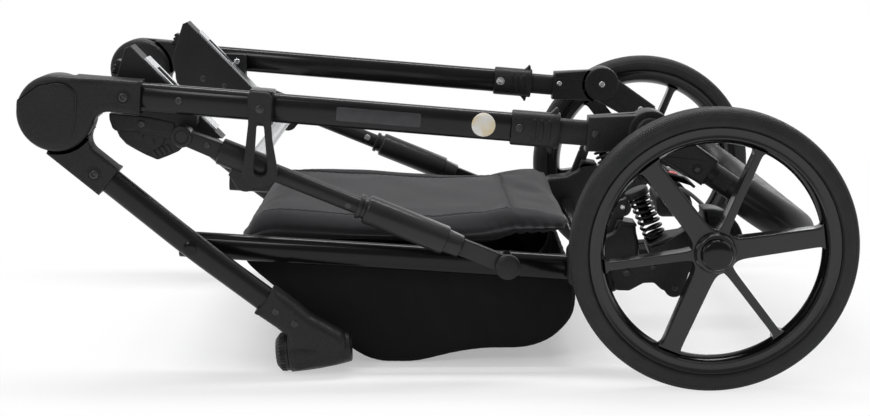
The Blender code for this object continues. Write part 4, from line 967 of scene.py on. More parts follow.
@dataclass
class RearWheel(Sided):
    """One rear wheel: foam tyre with a diamond tread, six-spoke rim and domed cap."""

    centre: Point = PLAN.axle
    middle: float = 0.280
    radius: float = 0.151
    tyre_half: float = 0.0165
    rim_outer: float = 0.1315
    rim_inner: float = 0.113
    rim_half: float = 0.0125
    hub_radius: float = 0.0205
    hub_half: float = 0.019
    spoke_turn: float = math.radians(8.0)
    spoke_wide: float = 0.0114
    spoke_slim: float = 0.0048
    face_inner: float = 0.1190
    cap_radius: float = 0.0165
    cap_height: float = 0.0085
    diamonds: int = 300

    @property
    def body(self) -> str:
        """Body that the wheel's pieces ride on."""
        return f"wheel_{self.side.hand}"

    def tyre_section(self) -> tuple[Array, Array]:
        """Cross-section of the tyre from bead to bead, and how deep the tread is at each point.

        Returns:
            Points (w from the wheel's middle, radius), and depths in metres.
        """
        half, top, foot = self.tyre_half, self.radius, self.rim_outer + 0.0003
        corners = [(-0.0125, foot - 0.0004), (-half + 0.0004, foot + 0.0016), (-half, foot + 0.0045),
                   (-half + 0.0002, foot + 0.0085), (-half + 0.0012, foot + 0.0122),
                   (-half + 0.0034, foot + 0.0158), (-half + 0.0072, foot + 0.0184),
                   (-0.0045, top - 0.0001), (0.0, top)]
        left = smooth_path(corners, 34)
        section = np.vstack([left, (left * [-1, 1])[-2::-1]])
        arc_len = np.abs(section[:, 0])
        high = section[:, 1] - (foot + 0.0100)
        depth = 0.0009 * np.clip(high / 0.0016, 0, 1) * np.clip((arc_len + 0.02) / 0.004, 0, 1)
        return section, depth

    def tyre(self) -> None:
        """Make the tyre.

        The section is carried round the axle. On the tread and shoulders the radius drops by depth times
        a diamond wave, max(0, 1 - 2.6 |a|) with a the nearer of two slanting creases, so the creases run
        both ways round and leave small lozenges standing. A moulding line runs round each side wall.
        """
        section, depth = self.tyre_section()
        count = self.diamonds * 4
        t = full_turn(count)[None]
        run = travelled(section)
        run = ((run - run[-1] / 2) / 0.0042)[:, None]
        turns = t / math.tau * self.diamonds
        crease = np.minimum(np.abs((turns + run) % 1 - 0.5), np.abs((turns - run) % 1 - 0.5))
        drop = depth[:, None] * np.maximum(0, 1 - 3.0 * crease)
        wall = np.exp(-((section[:, 1] - self.rim_outer - 0.0088) / 0.0007) ** 2)[:, None] * 0.0004
        slope = unit(np.gradient(section, axis=0))
        out = np.stack([-slope[:, 1], slope[:, 0]], 1)
        w = section[:, :1] + out[:, :1] * (-drop - wall)
        r = section[:, 1:] + out[:, 1:] * (-drop - wall)
        bead_w, bead_r = np.array([[0.0055], [-0.0055]]), np.full((2, 1), self.rim_outer - 0.0056)
        w = np.vstack([w, np.repeat(bead_w, count, 1)])
        r = np.vstack([r, np.repeat(bead_r, count, 1)])
        grid = np.stack([self.centre[0] + r * np.cos(t), self.middle + w, self.centre[1] + r * np.sin(t)],
                        -1)
        self.add("tread_tyre", net(grid, loop=True), "tyre_foam", self.body, "tyre")

    def spoke(self, turn: float, half: float) -> Shell:
        """One spoke, from inside the hub to inside the ring.

        Its half width falls in a straight line to 82% and flares at both ends with an exponential, and its
        section is a rounded oblong whose front is slightly crowned.

        Args:
            turn: angle of the spoke round the axle.
            half: half width at the hub.

        Returns:
            The surface.
        """
        r = np.linspace(self.hub_radius - 0.004, self.rim_inner + 0.0015, 40)
        share = (r - r[0]) / (r[-1] - r[0])
        width = half * (1 - 0.11 * share) + 0.0045 * np.exp(-(r - r[0] - 0.002) / 0.0042) \
            + 0.0034 * np.exp(-(r[-1] - r) / 0.0022)
        depth = 0.0100 - 0.0022 * share
        t = full_turn(44)
        edge, face = squared(np.cos(t), 0.16), squared(np.sin(t), 0.16)
        x, z = along(self.centre, turn, r[:, None], width[:, None] * edge)
        return net(np.stack([x, self.middle + depth[:, None] * face, z], -1))

    def rim(self) -> None:
        """Make the rim: a deep ring with a rolled lip on each side, a darker skin of painted shade on its
        inner wall, the hub and six spokes.
        """
        m, seat, lip, low = self.middle, self.rim_outer - 0.006, self.rim_half, self.rim_inner
        ring = [(m + 0.006, seat), (m + 0.0062, self.rim_outer - 0.0022),
                (m + lip - 0.0026, self.rim_outer - 0.0014), (m + lip + 0.0002, self.rim_outer - 0.0003),
                (m + lip + 0.0008, self.rim_outer - 0.0012), (m + lip + 0.0007, self.rim_outer - 0.0024),
                (m + lip - 0.0002, self.rim_outer - 0.0040), (m + lip - 0.0006, self.face_inner + 0.0024),
                (m + lip - 0.0002, self.face_inner + 0.0016), (m + lip - 0.0002, self.face_inner + 0.0008),
                (m + lip - 0.0007, self.face_inner + 0.0001), (m + lip - 0.0016, self.face_inner - 0.0002),
                (m + lip - 0.0060, low + 0.0040), (m + 0.0015, low + 0.0010)]
        mirrored = [(2 * m - w, r) for w, r in reversed(ring)]
        # The rim's inner wall is drawn again just inside it in the darkest gloss finish, darker than the rest
        # of the rim: painted shade in the well.
        wall = [(m + lip - 0.0014, self.face_inner - 0.0001), (m + lip - 0.0018, self.face_inner - 0.0006),
                (m + lip - 0.0062, low + 0.0032), (m + 0.0015, low + 0.0004)]
        wall += [(2 * m - w, r) for w, r in reversed(wall)]
        wall += [(2 * m - w, r + 0.0008) for w, r in wall]
        self.add("rim_well", lathe(wall, self.centre, 144, loop=True), "rim_deep", self.body,
                 slot="rim_black")
        hub = self.hub_half
        shell = lathe(ring + mirrored, self.centre, 144, loop=True)
        shell += lathe([(m - hub, 0.0057), (m - hub, self.hub_radius - 0.004),
                        (m - 0.0105, self.hub_radius + 0.002), (m + 0.0098, self.hub_radius + 0.0018),
                        (m + 0.0118, self.hub_radius + 0.0012),
                        (m + hub - 0.0030, self.hub_radius + 0.0004),
                        (m + hub - 0.0010, self.hub_radius - 0.0004), (m + hub, self.hub_radius - 0.0018),
                        (m + hub, self.cap_radius + 0.0006), (m + hub - 0.0014, self.cap_radius + 0.0004),
                        (m + hub - 0.0014, 0.0057)], self.centre, 96, loop=True)
        for k in range(6):
            shell += self.spoke(self.spoke_turn + math.tau * k / 6,
                                self.spoke_slim if k % 2 else self.spoke_wide)
        self.add("spoked_rim", shell, "rim_gloss", self.body, "rim")

    def cap(self) -> None:
        """Make the hub cap: a drum whose face is a shallow dome, r = R cos a, height = H sin a."""
        base = self.middle + self.hub_half + 0.0003
        r, h = self.cap_radius, self.cap_height
        profile = [(base, r * 0.6), (base, r), (base + h * 0.42, r - 0.0002), (base + h * 0.58, r - 0.0008)]
        profile += dome(base + h * 0.62, h * 0.38, 0.0001, r - 0.0012, 0.06, 12)
        self.add("cap_dome", lathe(profile, self.centre, 64), "rim_deep", self.body, "hub_cap")

    def make(self) -> None:
        """Make the whole wheel."""
        self.tyre()
        self.rim()
        self.cap()


def patch(axis: Point, angle: float, w: float, height: float, width: float, centre: Point, half: Point,
          lift: float, square: float = 1.0, inward: bool = False, shape: float = 2.4) -> Shell:
    """Thin raised patch that follows the side of an oval tube.

    Its outline is (s, h) = centre + half * (|cos t|^q, |sin t|^q), with q = square, so 1 is round and a
    small q nearly a rectangle. The tube's side stands at width/2 * (1 - |2h/height|^n)^(1/n), n = shape.

    Args:
        axis: start of the tube's axis, (x, z).
        angle: direction of the axis.
        w: distance of the axis from the middle plane.
        height: height of the tube.
        width: width of the tube.
        centre: middle of the patch, (s, h).
        half: half its length and height.
        lift: how far it stands out.
        square: exponent of the outline.
        inward: it is on the tube's inner side.
        shape: exponent of the tube's section.

    Returns:
        The surface.
    """
    t = full_turn(64)
    ring = np.stack([squared(np.cos(t), square), squared(np.sin(t), square)], 1)
    rows = [(1.0, -0.0006), (1.0, lift * 0.55), (0.985, lift * 0.85), (0.95, lift)]
    rows += [(share, lift) for share in (0.85, 0.7, 0.5, 0.3, 0.1, 0.01)]
    sign = -1.0 if inward else 1.0
    grid = []
    for share, up in rows:
        s, h = centre[0] + half[0] * share * ring[:, 0], centre[1] + half[1] * share * ring[:, 1]
        bulge = width / 2 * np.maximum(0.0, 1 - np.abs(2 * h / height) ** shape) ** (1 / shape)
        x, z = along(axis, angle, s, h)
        grid.append(np.stack([x, w + sign * (bulge + up), z], 1))
    return net(np.array(grid))


def track(outline: Sequence[Point], w: float, radius: float) -> Shell:
    """Fine round bead along a closed outline of the side view, half sunk in the face at w."""
    return sweep(upright(np.asarray(outline, float), w), circle(radius, 8), (0, 1, 0), loop=True)


def capsule(start: Point, end: Point, radius: float) -> list[Point]:
    """Outline of a slot with round ends between two points."""
    angle = math.degrees(heading(start, end)[0])
    return arc(end, radius, angle - 90, angle + 90, 12) + arc(start, radius, angle + 90, angle + 270, 12)


def spaced(outline: Sequence[Point], step: float) -> Array:
    """Add points to a closed outline until none of its sides is longer than a step."""
    p = np.asarray(outline, float)
    q = np.roll(p, -1, 0)
    count = np.maximum(1, np.ceil(np.linalg.norm(q - p, axis=1) / step)).astype(int)
    start = np.repeat(p, count, 0)
    share = np.concatenate([np.arange(n) / n for n in count])[:, None]
    return start + (np.repeat(q, count, 0) - start) * share


def rounded_disc(centre: Point, radius: float, start: float, face: float, edge: float) -> Shell:
    """Disc from a split plane to a face whose rim is rounded."""
    sign = math.copysign(1.0, face - start)
    profile = [(start, radius * 0.98), (start, radius)]
    profile += [(face - sign * edge * (1 - math.sin(a)), radius - edge * (1 - math.cos(a)))
                for a in np.linspace(0, math.pi / 2, 6)]
    profile += [(face, (radius - edge) * k) for k in (0.8, 0.6, 0.4, 0.2, 0.02)]
    return lathe(profile, centre, 96)


# Front knuckle and legs


@dataclass
class Knuckle(Sided):
    """Front hinge of one side: an outer half on the upper tube and an inner half on the leg."""

    radius: float = 0.041
    half_width: float = 0.019
    neck: float = 0.016
    sleeve_height: float = 0.0356
    sleeve_half: float = 0.013
    sleeve_end: float = 0.0885
    edge: float = 0.0026
    inner_cap: float = 0.938
    spacing: float = 0.0022

    def outline(self, flip: int, angle: float, head: bool) -> list[Point]:
        """Outline of one half: a sleeve and its neck, with the round head or a hollow clear of it."""
        low = self.radius - self.sleeve_height
        neck = (self.sleeve_end - 0.0325, low - self.neck)
        if head:
            points = [(self.sleeve_end, self.radius)] + arc((0, 0), self.radius - 0.0003, 90, 345, 60)
            points += arc(neck, self.neck, 180, 90, 10)
        else:
            clear = self.radius + 0.0006
            points = [(self.sleeve_end, self.radius), (0.0185, self.radius)]
            points += arc((0, 0), clear, 65, -4, 24) + arc(neck, self.neck, 148, 90, 8)
        points.append((self.sleeve_end, low))
        return laid([(s, h * flip) for s, h in points], PLAN.knuckle, angle)

    def half(self, flip: int, angle: float, split: float, outward: float) -> Shell:
        """One half, split at a plane across the pram.

        Its face falls from the head's level to the sleeve's by a smooth step, 3 u^2 - 2 u^3.
        """
        far = PLAN.frame_w - outward * self.sleeve_half
        drop = outward * (self.half_width - self.sleeve_half)

        def face(x: Array, z: Array) -> Array:
            """Distance of the face from the middle plane."""
            u = np.clip((run_of(x, z, PLAN.knuckle, angle) - 0.014) / 0.042, 0, 1)
            return PLAN.frame_w + outward * self.half_width - drop * (3 * u * u - 2 * u ** 3)

        outline = filleted(self.outline(flip, angle, True), 0.0012, 3)
        outline = spaced(outline, self.spacing)
        run = run_of(*outline.T, PLAN.knuckle, angle)
        edge = np.interp(run, [0.01, 0.05, self.sleeve_end - 0.004, self.sleeve_end - 0.002],
                         [0.0062, 0.0050, 0.0046, 0.0010])
        mid = self.radius - self.sleeve_height / 2
        spine = laid([(0.0, 0.0), (0.030, flip * mid * 0.8), (0.048, flip * mid),
                      (self.sleeve_end - 0.014, flip * mid)], PLAN.knuckle, angle)
        shell = crowned(outline, spine, split, face, edge)
        return shell + plate(self.outline(flip, angle, False), split, far, self.edge, 0.0)

    def rings(self, place: Point) -> Shell:
        """Recess ring round a bolt on both faces of a sleeve."""
        shell = washer(place, PLAN.frame_w + self.sleeve_half, 0.0080, 0.0062, 0.0005)
        return shell + washer(place, PLAN.frame_w - self.sleeve_half, 0.0066, 0.0052, 0.0005, inward=True)

    def cap_outline(self) -> Array:
        """Outline of the raised cap: round at the front and drawn nearly straight towards the sleeve."""
        corners = [(-0.4372, 0.3050), (-0.4280, 0.3148), (-0.4140, 0.3206), (-0.4020, 0.3232),
                   (-0.3935, 0.3240), (-0.3838, 0.3212), (-0.3776, 0.3160), (-0.3752, 0.3085),
                   (-0.3758, 0.2950), (-0.3782, 0.2810), (-0.3822, 0.2672), (-0.3885, 0.2592),
                   (-0.3970, 0.2545), (-0.4060, 0.2535), (-0.4175, 0.2562), (-0.4280, 0.2632),
                   (-0.4350, 0.2740), (-0.4382, 0.2900)]
        return smooth_path(corners + corners[:3], 130)[12:-13]

    def make(self) -> None:
        """Make both halves, the cap with a dark ring of painted shade round it, and the bolts."""
        upper_bolt, leg_bolt = (-0.3278, 0.3062), (-0.3618, 0.2242)
        face = PLAN.frame_w + self.half_width
        outer = self.half(1, PLAN.upper_angle, PLAN.frame_w + PLAN.gap, 1.0) + self.rings(upper_bolt)
        cap = spaced(self.cap_outline(), self.spacing)
        heart = [(PLAN.knuckle[0] - 0.010, PLAN.knuckle[1] - 0.010),
                 (PLAN.knuckle[0] + 0.004, PLAN.knuckle[1] + 0.008)]
        small = cap * self.inner_cap + (1 - self.inner_cap) * cap.mean(axis=0)
        outer += crowned(small, heart, face - 0.0012, face + 0.0016, 0.0008)
        # A thin ring in the darkest gloss finish shows round the raised cap: a painted shade line for the
        # groove between cap and housing.
        groove = crowned(cap, heart, face - 0.0012, face + 0.0003, 0.0003)
        self.add("knuckle_groove", groove, "rim_deep", "upper_frame")
        self.add("knuckle_outer", outer, "plastic_grained", "upper_frame", "knuckle_housing")
        inner = self.half(-1, PLAN.leg_angle, PLAN.frame_w, -1.0) + self.rings(leg_bolt)
        self.add("knuckle_inner", inner, "plastic_grained", "front_legs", "knuckle_core")
        for name, place, body in (("upper", upper_bolt, "upper_frame"), ("leg", leg_bolt, "front_legs")):
            self.add(f"knuckle_bolt_{name}", bolt(place, PLAN.frame_w + self.sleeve_half, 0.0054, 0.0024),
                     "bolt_black", body)
            self.add(f"knuckle_nut_{name}",
                     bolt(place, PLAN.frame_w - self.sleeve_half, 0.0046, 0.0016, inward=True),
                     "bolt_steel", body)


@dataclass
class FrontLeg(Sided):
    """Front leg of one side: oval tube, moulded foot with the stem's bore, and the ribbed swivel lock."""

    seat: float = 0.0603
    tube_end: float = 0.122
    sleeve: float = 0.096
    sleeve_height: float = 0.0345
    socket: Point = (-0.160, 0.0228 * math.cos(math.radians(5.0)))
    socket_angle: float = math.radians(5.0)
    socket_w: float = 0.2175
    socket_radius: float = 0.0228
    mouth_radius: float = 0.0165
    socket_length: float = 0.068
    bore: float = 0.0065
    lock_radius: float = 0.0215
    lock_length: float = 0.014
    lock_ribs: int = 32
    foot_half: float = 0.013
    bend_cut: float = 0.03

    def tube(self) -> None:
        """Leg tube, its bend rounded by a quadratic curve between two points 30 mm from the corner."""
        first = along(PLAN.knuckle, PLAN.leg_angle, self.seat, -PLAN.tube_off)
        before = along(PLAN.knuckle, PLAN.leg_angle, PLAN.leg_reach - self.bend_cut, -PLAN.tube_off)
        after = along(PLAN.bend, PLAN.foot_angle, self.bend_cut)
        last = along(PLAN.bend, PLAN.foot_angle, self.tube_end)
        t = np.linspace(0, 1, 12)[:, None]
        before, bend, after = (np.array(point) for point in (before, PLAN.bend, after))
        curve = (1 - t) ** 2 * before + 2 * t * (1 - t) * bend + t * t * after
        line = np.vstack([[first], curve, [last]])
        path = upright(line, PLAN.frame_w)
        t = full_turn(48)
        ring = np.stack([PLAN.leg_height / 2 * squared(np.cos(t), 0.86),
                         PLAN.tube_width / 2 * squared(np.sin(t), 0.86)], 1)
        self.add("leg_tube", sweep(path, ring, (0, 1, 0)), "tube_satin_leg", "front_legs", "front_leg")

    def foot(self) -> None:
        """Moulded foot: sleeve over the tube's end, blended into the socket's barrel with its open bore."""
        half = self.sleeve_height / 2
        leg, socket = (PLAN.bend, PLAN.foot_angle), (self.socket, self.socket_angle)
        mouth = self.socket_length - 0.004
        sleeve = [along(*leg, self.sleeve + 0.0035 * k, half * c)
                  for k, c in ((0.0, -1.0), (0.5, -0.6), (0.72, 0.0), (0.5, 0.6), (0.0, 1.0))]
        r, m = self.socket_radius, self.mouth_radius
        outline = sleeve + laid([(self.sleeve + 0.030, half + 0.0006),
                                 (self.sleeve + 0.052, half - 0.0005)], *leg)
        outline += laid([(mouth - 0.004, m + 0.0035), (mouth, m - 0.002), (mouth, -m + 0.003),
                         (mouth - 0.018, -m - 0.0005), (0.004, -r + 0.004), (0.0005, -r + 0.010),
                         (0.0005, r - 0.002)], *socket)
        outline += laid([(self.sleeve + 0.030, -half)], *leg)
        spine = laid([(self.sleeve + 0.014, 0.0), (self.sleeve + 0.045, 0.0)], *leg)
        spine += laid([(0.034, -0.004), (mouth - 0.014, 0.0)], *socket)
        outline = spaced(filleted(outline, 0.005, 5), 0.002)
        run = run_of(*outline.T, PLAN.bend, PLAN.foot_angle)
        edge = np.interp(run, [self.sleeve + 0.001, self.sleeve + 0.006, self.sleeve + 0.03],
                         [0.0012, 0.0060, 0.0095])
        body = crowned(outline, spine, PLAN.frame_w - self.foot_half, PLAN.frame_w + self.foot_half, edge,
                       0.005, 7)
        length = self.socket_length
        profile = [(0.0, 0.004), (0.0, r - 0.0012), (0.0010, r - 0.0003), (0.0025, r), (0.016, r - 0.0003),
                   (0.032, r - 0.0013), (0.050, m + 0.0030), (length - 0.006, m + 0.0010),
                   (length - 0.0012, m), (length - 0.0004, m - 0.0006), (length, m - 0.0016),
                   (length, self.bore + 0.0006), (length - 0.0006, self.bore), (length - 0.042, self.bore),
                   (length - 0.042, 0.004)]
        body += barrel(profile, self.socket, self.socket_w, self.socket_angle, count=72, loop=True)
        self.add("leg_foot", body, "plastic_grained", "front_legs", "wheel_socket")
        outer, inner = PLAN.frame_w + self.foot_half, PLAN.frame_w - self.foot_half
        places = ((-0.1723, 0.0733), (-0.1523, 0.0598))
        screws = joined(bolt(place, outer, 0.0040, 0.0012) for place in places)
        self.add("foot_screws", screws, "bolt_black", "front_legs")
        nuts = joined(bolt(place, inner, 0.0036, 0.0010, inward=True) for place in places)
        self.add("foot_nuts", nuts, "bolt_steel", "front_legs")

    def lock(self) -> None:
        """Ribbed knob: between its ribs the radius falls to r (1 - 0.07 g), with g the groove."""
        s = np.array([-self.lock_length, -self.lock_length, -self.lock_length + 0.0012,
                      -self.lock_length + 0.0035, -self.lock_length + 0.0052, -0.0042, -0.0036, -0.0008,
                      -PLAN.gap])
        r = self.lock_radius - np.array([0.012, 0.0066, 0.0050, 0.0022, 0.0004, 0.0, 0.0004, 0.0004,
                                         0.0012])
        ribbed = np.array([0.0, 0.0, 0.3, 0.8, 1.0, 1.0, 0.0, 0.0, 0.0])
        t = full_turn(self.lock_ribs * 8)
        groove = np.clip(0.5 - 2.2 * np.cos(t * self.lock_ribs), 0, 1)
        reach = r[:, None] * (1 - 0.07 * ribbed[:, None] * groove)
        x, z = along(self.socket, self.socket_angle, s[:, None], reach * np.sin(t))
        grid = np.stack([x, self.socket_w + reach * np.cos(t), z], -1)
        self.add("lock_knob", net(grid), "plastic_smooth", "lock", "swivel_lock")

    def make(self) -> None:
        """Make the leg."""
        self.tube()
        self.foot()
        self.lock()


@dataclass
class CrossTubes:
    """Tubes that join the two sides, each a round hollow tube with softened ends."""

    radius_front: float = 0.009
    radius_rear: float = 0.010
    radius_strut: float = 0.008
    half_front: float = 0.2122
    half_rear: float = 0.1837
    half_axle: float = 0.2147
    half_strut: float = 0.2232

    def make(self) -> None:
        """Make the four tubes."""
        front = along(PLAN.bend, PLAN.foot_angle, 0.112, -0.005)
        strut = along(PLAN.strut_top, heading(PLAN.strut_top, PLAN.strut_foot)[0], PLAN.boss[0])
        rows = (
            ("front", front, self.radius_front, self.half_front, "front_legs", "front_cross_tube"),
            ("rear", (0.180, 0.108), self.radius_rear, self.half_rear, "chassis", "rear_cross_tube"),
            ("axle", PLAN.axle, self.radius_rear, self.half_axle, "suspension", "axle_tube"),
            ("strut", strut, self.radius_strut, self.half_strut, "strut_upper", "strut_cross_tube"),
        )
        for name, centre, radius, half, body, node in rows:
            finish = "strip_aluminium" if name == "strut" else "tube_satin"
            profile = tube(-half, half, 2 * radius, PLAN.wall)
            piece("cross_" + name, lathe(profile, centre, 56, loop=True), finish, body, node)


# Lower frame and suspension


@dataclass
class LowerFrame(Sided):
    """Lower frame of one side: rail with its studs, moulded rear housing and its spring cup."""

    rail_start: float = -0.017
    rail_end: float = 0.415
    rail_height: float = 0.029
    stud: float = 0.0045
    cast_in: float = 0.184
    cup_radius: float = 0.013
    cup_height: float = 0.009
    screw: Point = (0.1560, 0.1150)
    coil_radius: float = 0.0106
    coil_wire: float = 0.0018
    coil_turns: float = 7.5

    def rail(self) -> None:
        """Rail with softened ends, the leg's stud with its domed head, and the strut's stud."""
        flat = PLAN.tube_width / self.rail_height
        shell = barrel(tube(self.rail_start, self.rail_end, self.rail_height, PLAN.wall), PLAN.rail,
                       PLAN.rail_w, PLAN.rail_angle, flat, 64, loop=True)
        inner, outer = PLAN.frame_w - 0.0098, PLAN.frame_w + 0.0098
        profile = [(PLAN.rail_w - 0.004, 0.0095), (inner - 0.0006, 0.0095), (inner, 0.0089),
                   (inner, self.stud), (outer, self.stud), (outer, 0.0070), (outer + 0.0004, 0.0075),
                   (outer + 0.0012, 0.0073)]
        profile += dome(outer + 0.0012, 0.0015, 0.0010, 0.0058, 0.3, 6)
        shell += lathe(profile, PLAN.leg_pivot, 40)
        foot = [(PLAN.rail_w - 0.003, 0.009), (PLAN.strut_w - 0.0058, 0.009),
                (PLAN.strut_w - 0.0052, 0.0084), (PLAN.strut_w - 0.0052, self.stud),
                (PLAN.strut_w + 0.0062, self.stud)]
        shell += lathe(foot, PLAN.strut_foot, 32)
        self.add("rail_tube", shell, "tube_satin_rail", "chassis", "lower_rail")

    def housing(self) -> None:
        """Rear housing: rounded casting, spring strap with its bolt, and the cup over the spring."""
        outline = [(0.1450, 0.0960), (0.1450, 0.1340), (0.1560, 0.1450), (0.1780, 0.1470), (0.1950, 0.1560),
                   (0.2000, 0.1680), (0.2185, 0.1640), (0.2195, 0.1545), (0.2225, 0.1440), (0.2230, 0.1240)]
        outline += arc(PLAN.arm_pivot, 0.016, 20, -80, 8) + [(0.1960, 0.0880), (0.1850, 0.0880)]
        shell = plate(filleted(outline, 0.010, 6), self.cast_in, PLAN.cast_out, 0.0048, 0.0048, 6)
        lip = [(0.1945, 0.1570), (0.1990, 0.1690), (0.2190, 0.1652), (0.2198, 0.1615), (0.2020, 0.1640)]
        shell += plate(filleted(lip, 0.0016, 4), PLAN.rail_w - 0.0140, PLAN.rail_w + 0.0145, 0.0012)
        angle, _ = heading(PLAN.spring_low, PLAN.spring_top)
        strap = [(0.1830, 0.1450), (0.1900, 0.1640), (0.1960, 0.1800)]
        strap += arc((0.2053, 0.1813), 0.0085, 190, 90, 10)
        strap += laid([(0.007, 0.002), (0.001, 0.002), (0.001, 0.0125)], PLAN.spring_top, angle)
        strap += [(0.2095, 0.1800), (0.2050, 0.1660), (0.2020, 0.1500)]
        shell += plate(strap, PLAN.spring_w - 0.0045, PLAN.spring_w + 0.0045, 0.0012)
        r, h = self.cup_radius, self.cup_height
        cup = [(0.0003, 0.002), (0.0003, r - 0.0008), (0.0011, r), (h * 0.30, r), (h * 0.36, r - 0.0009),
               (h * 0.44, r - 0.0009), (h * 0.50, r), (h - 0.0022, r), (h - 0.0008, r - 0.0007),
               (h, r - 0.0024), (h + 0.0002, 0.0006)]
        shell += barrel(cup, PLAN.spring_top, PLAN.spring_w, angle, count=64)
        self.add("rear_casting", shell, "plastic_grained", "chassis", "rear_housing")
        screws = bolt((0.2048, 0.1819), PLAN.spring_w + 0.0045, 0.0030, 0.0010)
        screws += bolt(self.screw, PLAN.cast_out, 0.0036, 0.0014)
        self.add("housing_bolts", screws, "bolt_steel", "chassis")
        inner = bolt(self.screw, self.cast_in, 0.0040, 0.0014, inward=True)
        inner += washer(PLAN.arm_pivot, self.cast_in, 0.0088, 0.0050, 0.0010, inward=True)
        self.add("housing_nuts", inner, "bolt_steel", "chassis")
        rod = lathe([(PLAN.cast_out - 0.004, 0.0054), (PLAN.arm_out - 0.0012, 0.0054),
                     (PLAN.arm_out - 0.0008, 0.0050)], PLAN.arm_pivot, 32)
        self.add("arm_pin", rod, "bolt_steel", "chassis")

    def spring(self) -> None:
        """Coil spring whose ends lie flat against their seats.

        A point of its line is (R cos a, R sin a, rise), where the rise is slow over the first and last
        turn and even between; the ring round it stands on the radial and the axial direction.
        """
        angle, length = heading(PLAN.spring_low, PLAN.spring_top)
        radius, wire, turns = self.coil_radius, self.coil_wire, self.coil_turns
        u = np.linspace(0, 1, 560)
        a = math.tau * turns * u
        pitch = np.clip(np.minimum(u, 1 - u) * turns, 0.25, 1.0)
        rise = np.cumsum(pitch)
        rise = 0.0003 + wire + (length - 0.0006 - 2 * wire) * (rise - rise[0]) / (rise[-1] - rise[0])
        t = full_turn(14)
        reach = radius + wire * np.cos(t)[None]
        x, z = along(PLAN.spring_low, angle, rise[:, None] + wire * np.sin(t)[None],
                     reach * np.sin(a)[:, None])
        shell = net(np.stack([x, PLAN.spring_w + reach * np.cos(a)[:, None], z], -1))
        coil = self.add("coil_wire", shell, "spring_coat", "chassis", "spring")
        rod = [(-0.0300, 0.0050), (-0.0300, 0.0056), (-0.0290, 0.0062), (0.0020, 0.0062)]
        self.add("spring_guide", barrel(rod, PLAN.spring_top, PLAN.spring_w, angle, count=32), "rim_deep",
                 "chassis", slot="spring_black")
        axis = (PLAN.spring_top[0] - PLAN.spring_low[0], 0.0, PLAN.spring_top[1] - PLAN.spring_low[1])
        PLAN.spring_top[0]
        PLAN.spring_top[1]
        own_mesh(coil)

    def make(self) -> None:
        """Make the lower frame of the side."""
        self.rail()
        self.housing()
        self.spring()


@dataclass
class SwingArm(Sided):
    """Suspension arm of one side: plate, spring seat, axle hub, axle pin and brake cover."""

    hub_out: float = 0.256
    hub_radius: float = 0.0165
    axle_pin: float = 0.0055
    pin_end: float = 0.297
    cover_radius: float = 0.038
    seat_radius: float = 0.013

    def body(self) -> Shell:
        """Plate, seat, hub and cover in one shell."""
        axle, pivot = PLAN.axle, PLAN.arm_pivot
        outline = arc(pivot, 0.015, 120, 220, 8)
        outline += [(0.1960, 0.0930), (0.2120, 0.0925), (0.2270, 0.1010), (0.2385, 0.1015),
                    (0.2465, 0.0940)]
        outline += arc((0.2610, 0.0960), 0.0110, 200, 340, 12) + [(0.2760, 0.1120)]
        outline += arc(axle, self.hub_radius, -60, 100, 16)
        outline += [(0.2700, 0.1600), (0.2540, 0.1500), (0.2300, 0.1300), (0.2120, 0.1265)]
        shell = plate(filleted(outline, 0.006, 5), PLAN.cast_out + PLAN.gap, PLAN.arm_out, 0.0016, 0.0010)
        base, _ = heading(PLAN.spring_top, PLAN.spring_low)
        r = self.seat_radius
        seat = [along(PLAN.spring_low, base, 0.0003, r), along(PLAN.spring_low, base, 0.0003, -r),
                (0.2340, 0.1310), (0.2720, 0.1180), (0.2840, 0.1350), (0.2740, 0.1560)]
        shell += plate(filleted(seat, 0.0022, 4), PLAN.spring_w - r, PLAN.arm_out - 0.001, 0.0035)
        ring = [(0.0003, r - 0.0035), (-0.0016, r - 0.0037), (-0.0019, r - 0.0046), (-0.0016, r - 0.0055),
                (0.0003, r - 0.0057)]
        shell += barrel(ring, PLAN.spring_low, PLAN.spring_w, base, count=48, loop=True)
        start, h = PLAN.cast_out - 0.014, self.hub_radius
        hub = [(start, h - 0.002), (start + 0.0012, h), (PLAN.arm_out + 0.004, h),
               (PLAN.arm_out + 0.005, h - 0.0008), (self.hub_out - 0.006, h - 0.0022),
               (self.hub_out - 0.001, h - 0.0030), (self.hub_out, h - 0.0040),
               (self.hub_out, self.axle_pin)]
        return shell + lathe(hub, axle, 64)

    def cover(self) -> Shell:
        """Quarter cover of the brake over the hub."""
        outline = arc(PLAN.axle, self.cover_radius, 100, 8, 24)
        outline += arc(PLAN.axle, self.hub_radius - 0.0045, 8, 100, 8)
        inner, outer = PLAN.arm_out - 0.0026, self.hub_out - 0.006
        shell = plate(filleted(outline, 0.003, 4), inner, outer, 0.0030, 0.0010)
        ridge = arc(PLAN.axle, self.cover_radius - 0.006, 92, 16, 20)
        ridge += arc(PLAN.axle, self.cover_radius - 0.0085, 16, 92, 20)
        return shell + plate(ridge, self.hub_out - 0.007, self.hub_out - 0.0052, 0.0005)

    def make(self) -> None:
        """Make the arm with its bolts and its axle pin."""
        self.add("arm_plate", self.body() + self.cover(), "plastic_grained", "suspension", "swing_arm")
        screws = bolt((0.2080, 0.1136), PLAN.arm_out, 0.0046, 0.0018)
        for place in ((0.2369, 0.1194), (0.2610, 0.0960)):
            screws += bolt(place, PLAN.arm_out, 0.0034, 0.0014)
        self.add("arm_screws", screws, "bolt_black", "suspension")
        pin = lathe([(self.hub_out - 0.003, self.axle_pin), (self.pin_end - 0.0006, self.axle_pin),
                     (self.pin_end, self.axle_pin - 0.0006)], PLAN.axle, 32)
        self.add("axle_pin", pin, "bolt_steel", "suspension")


# Struts


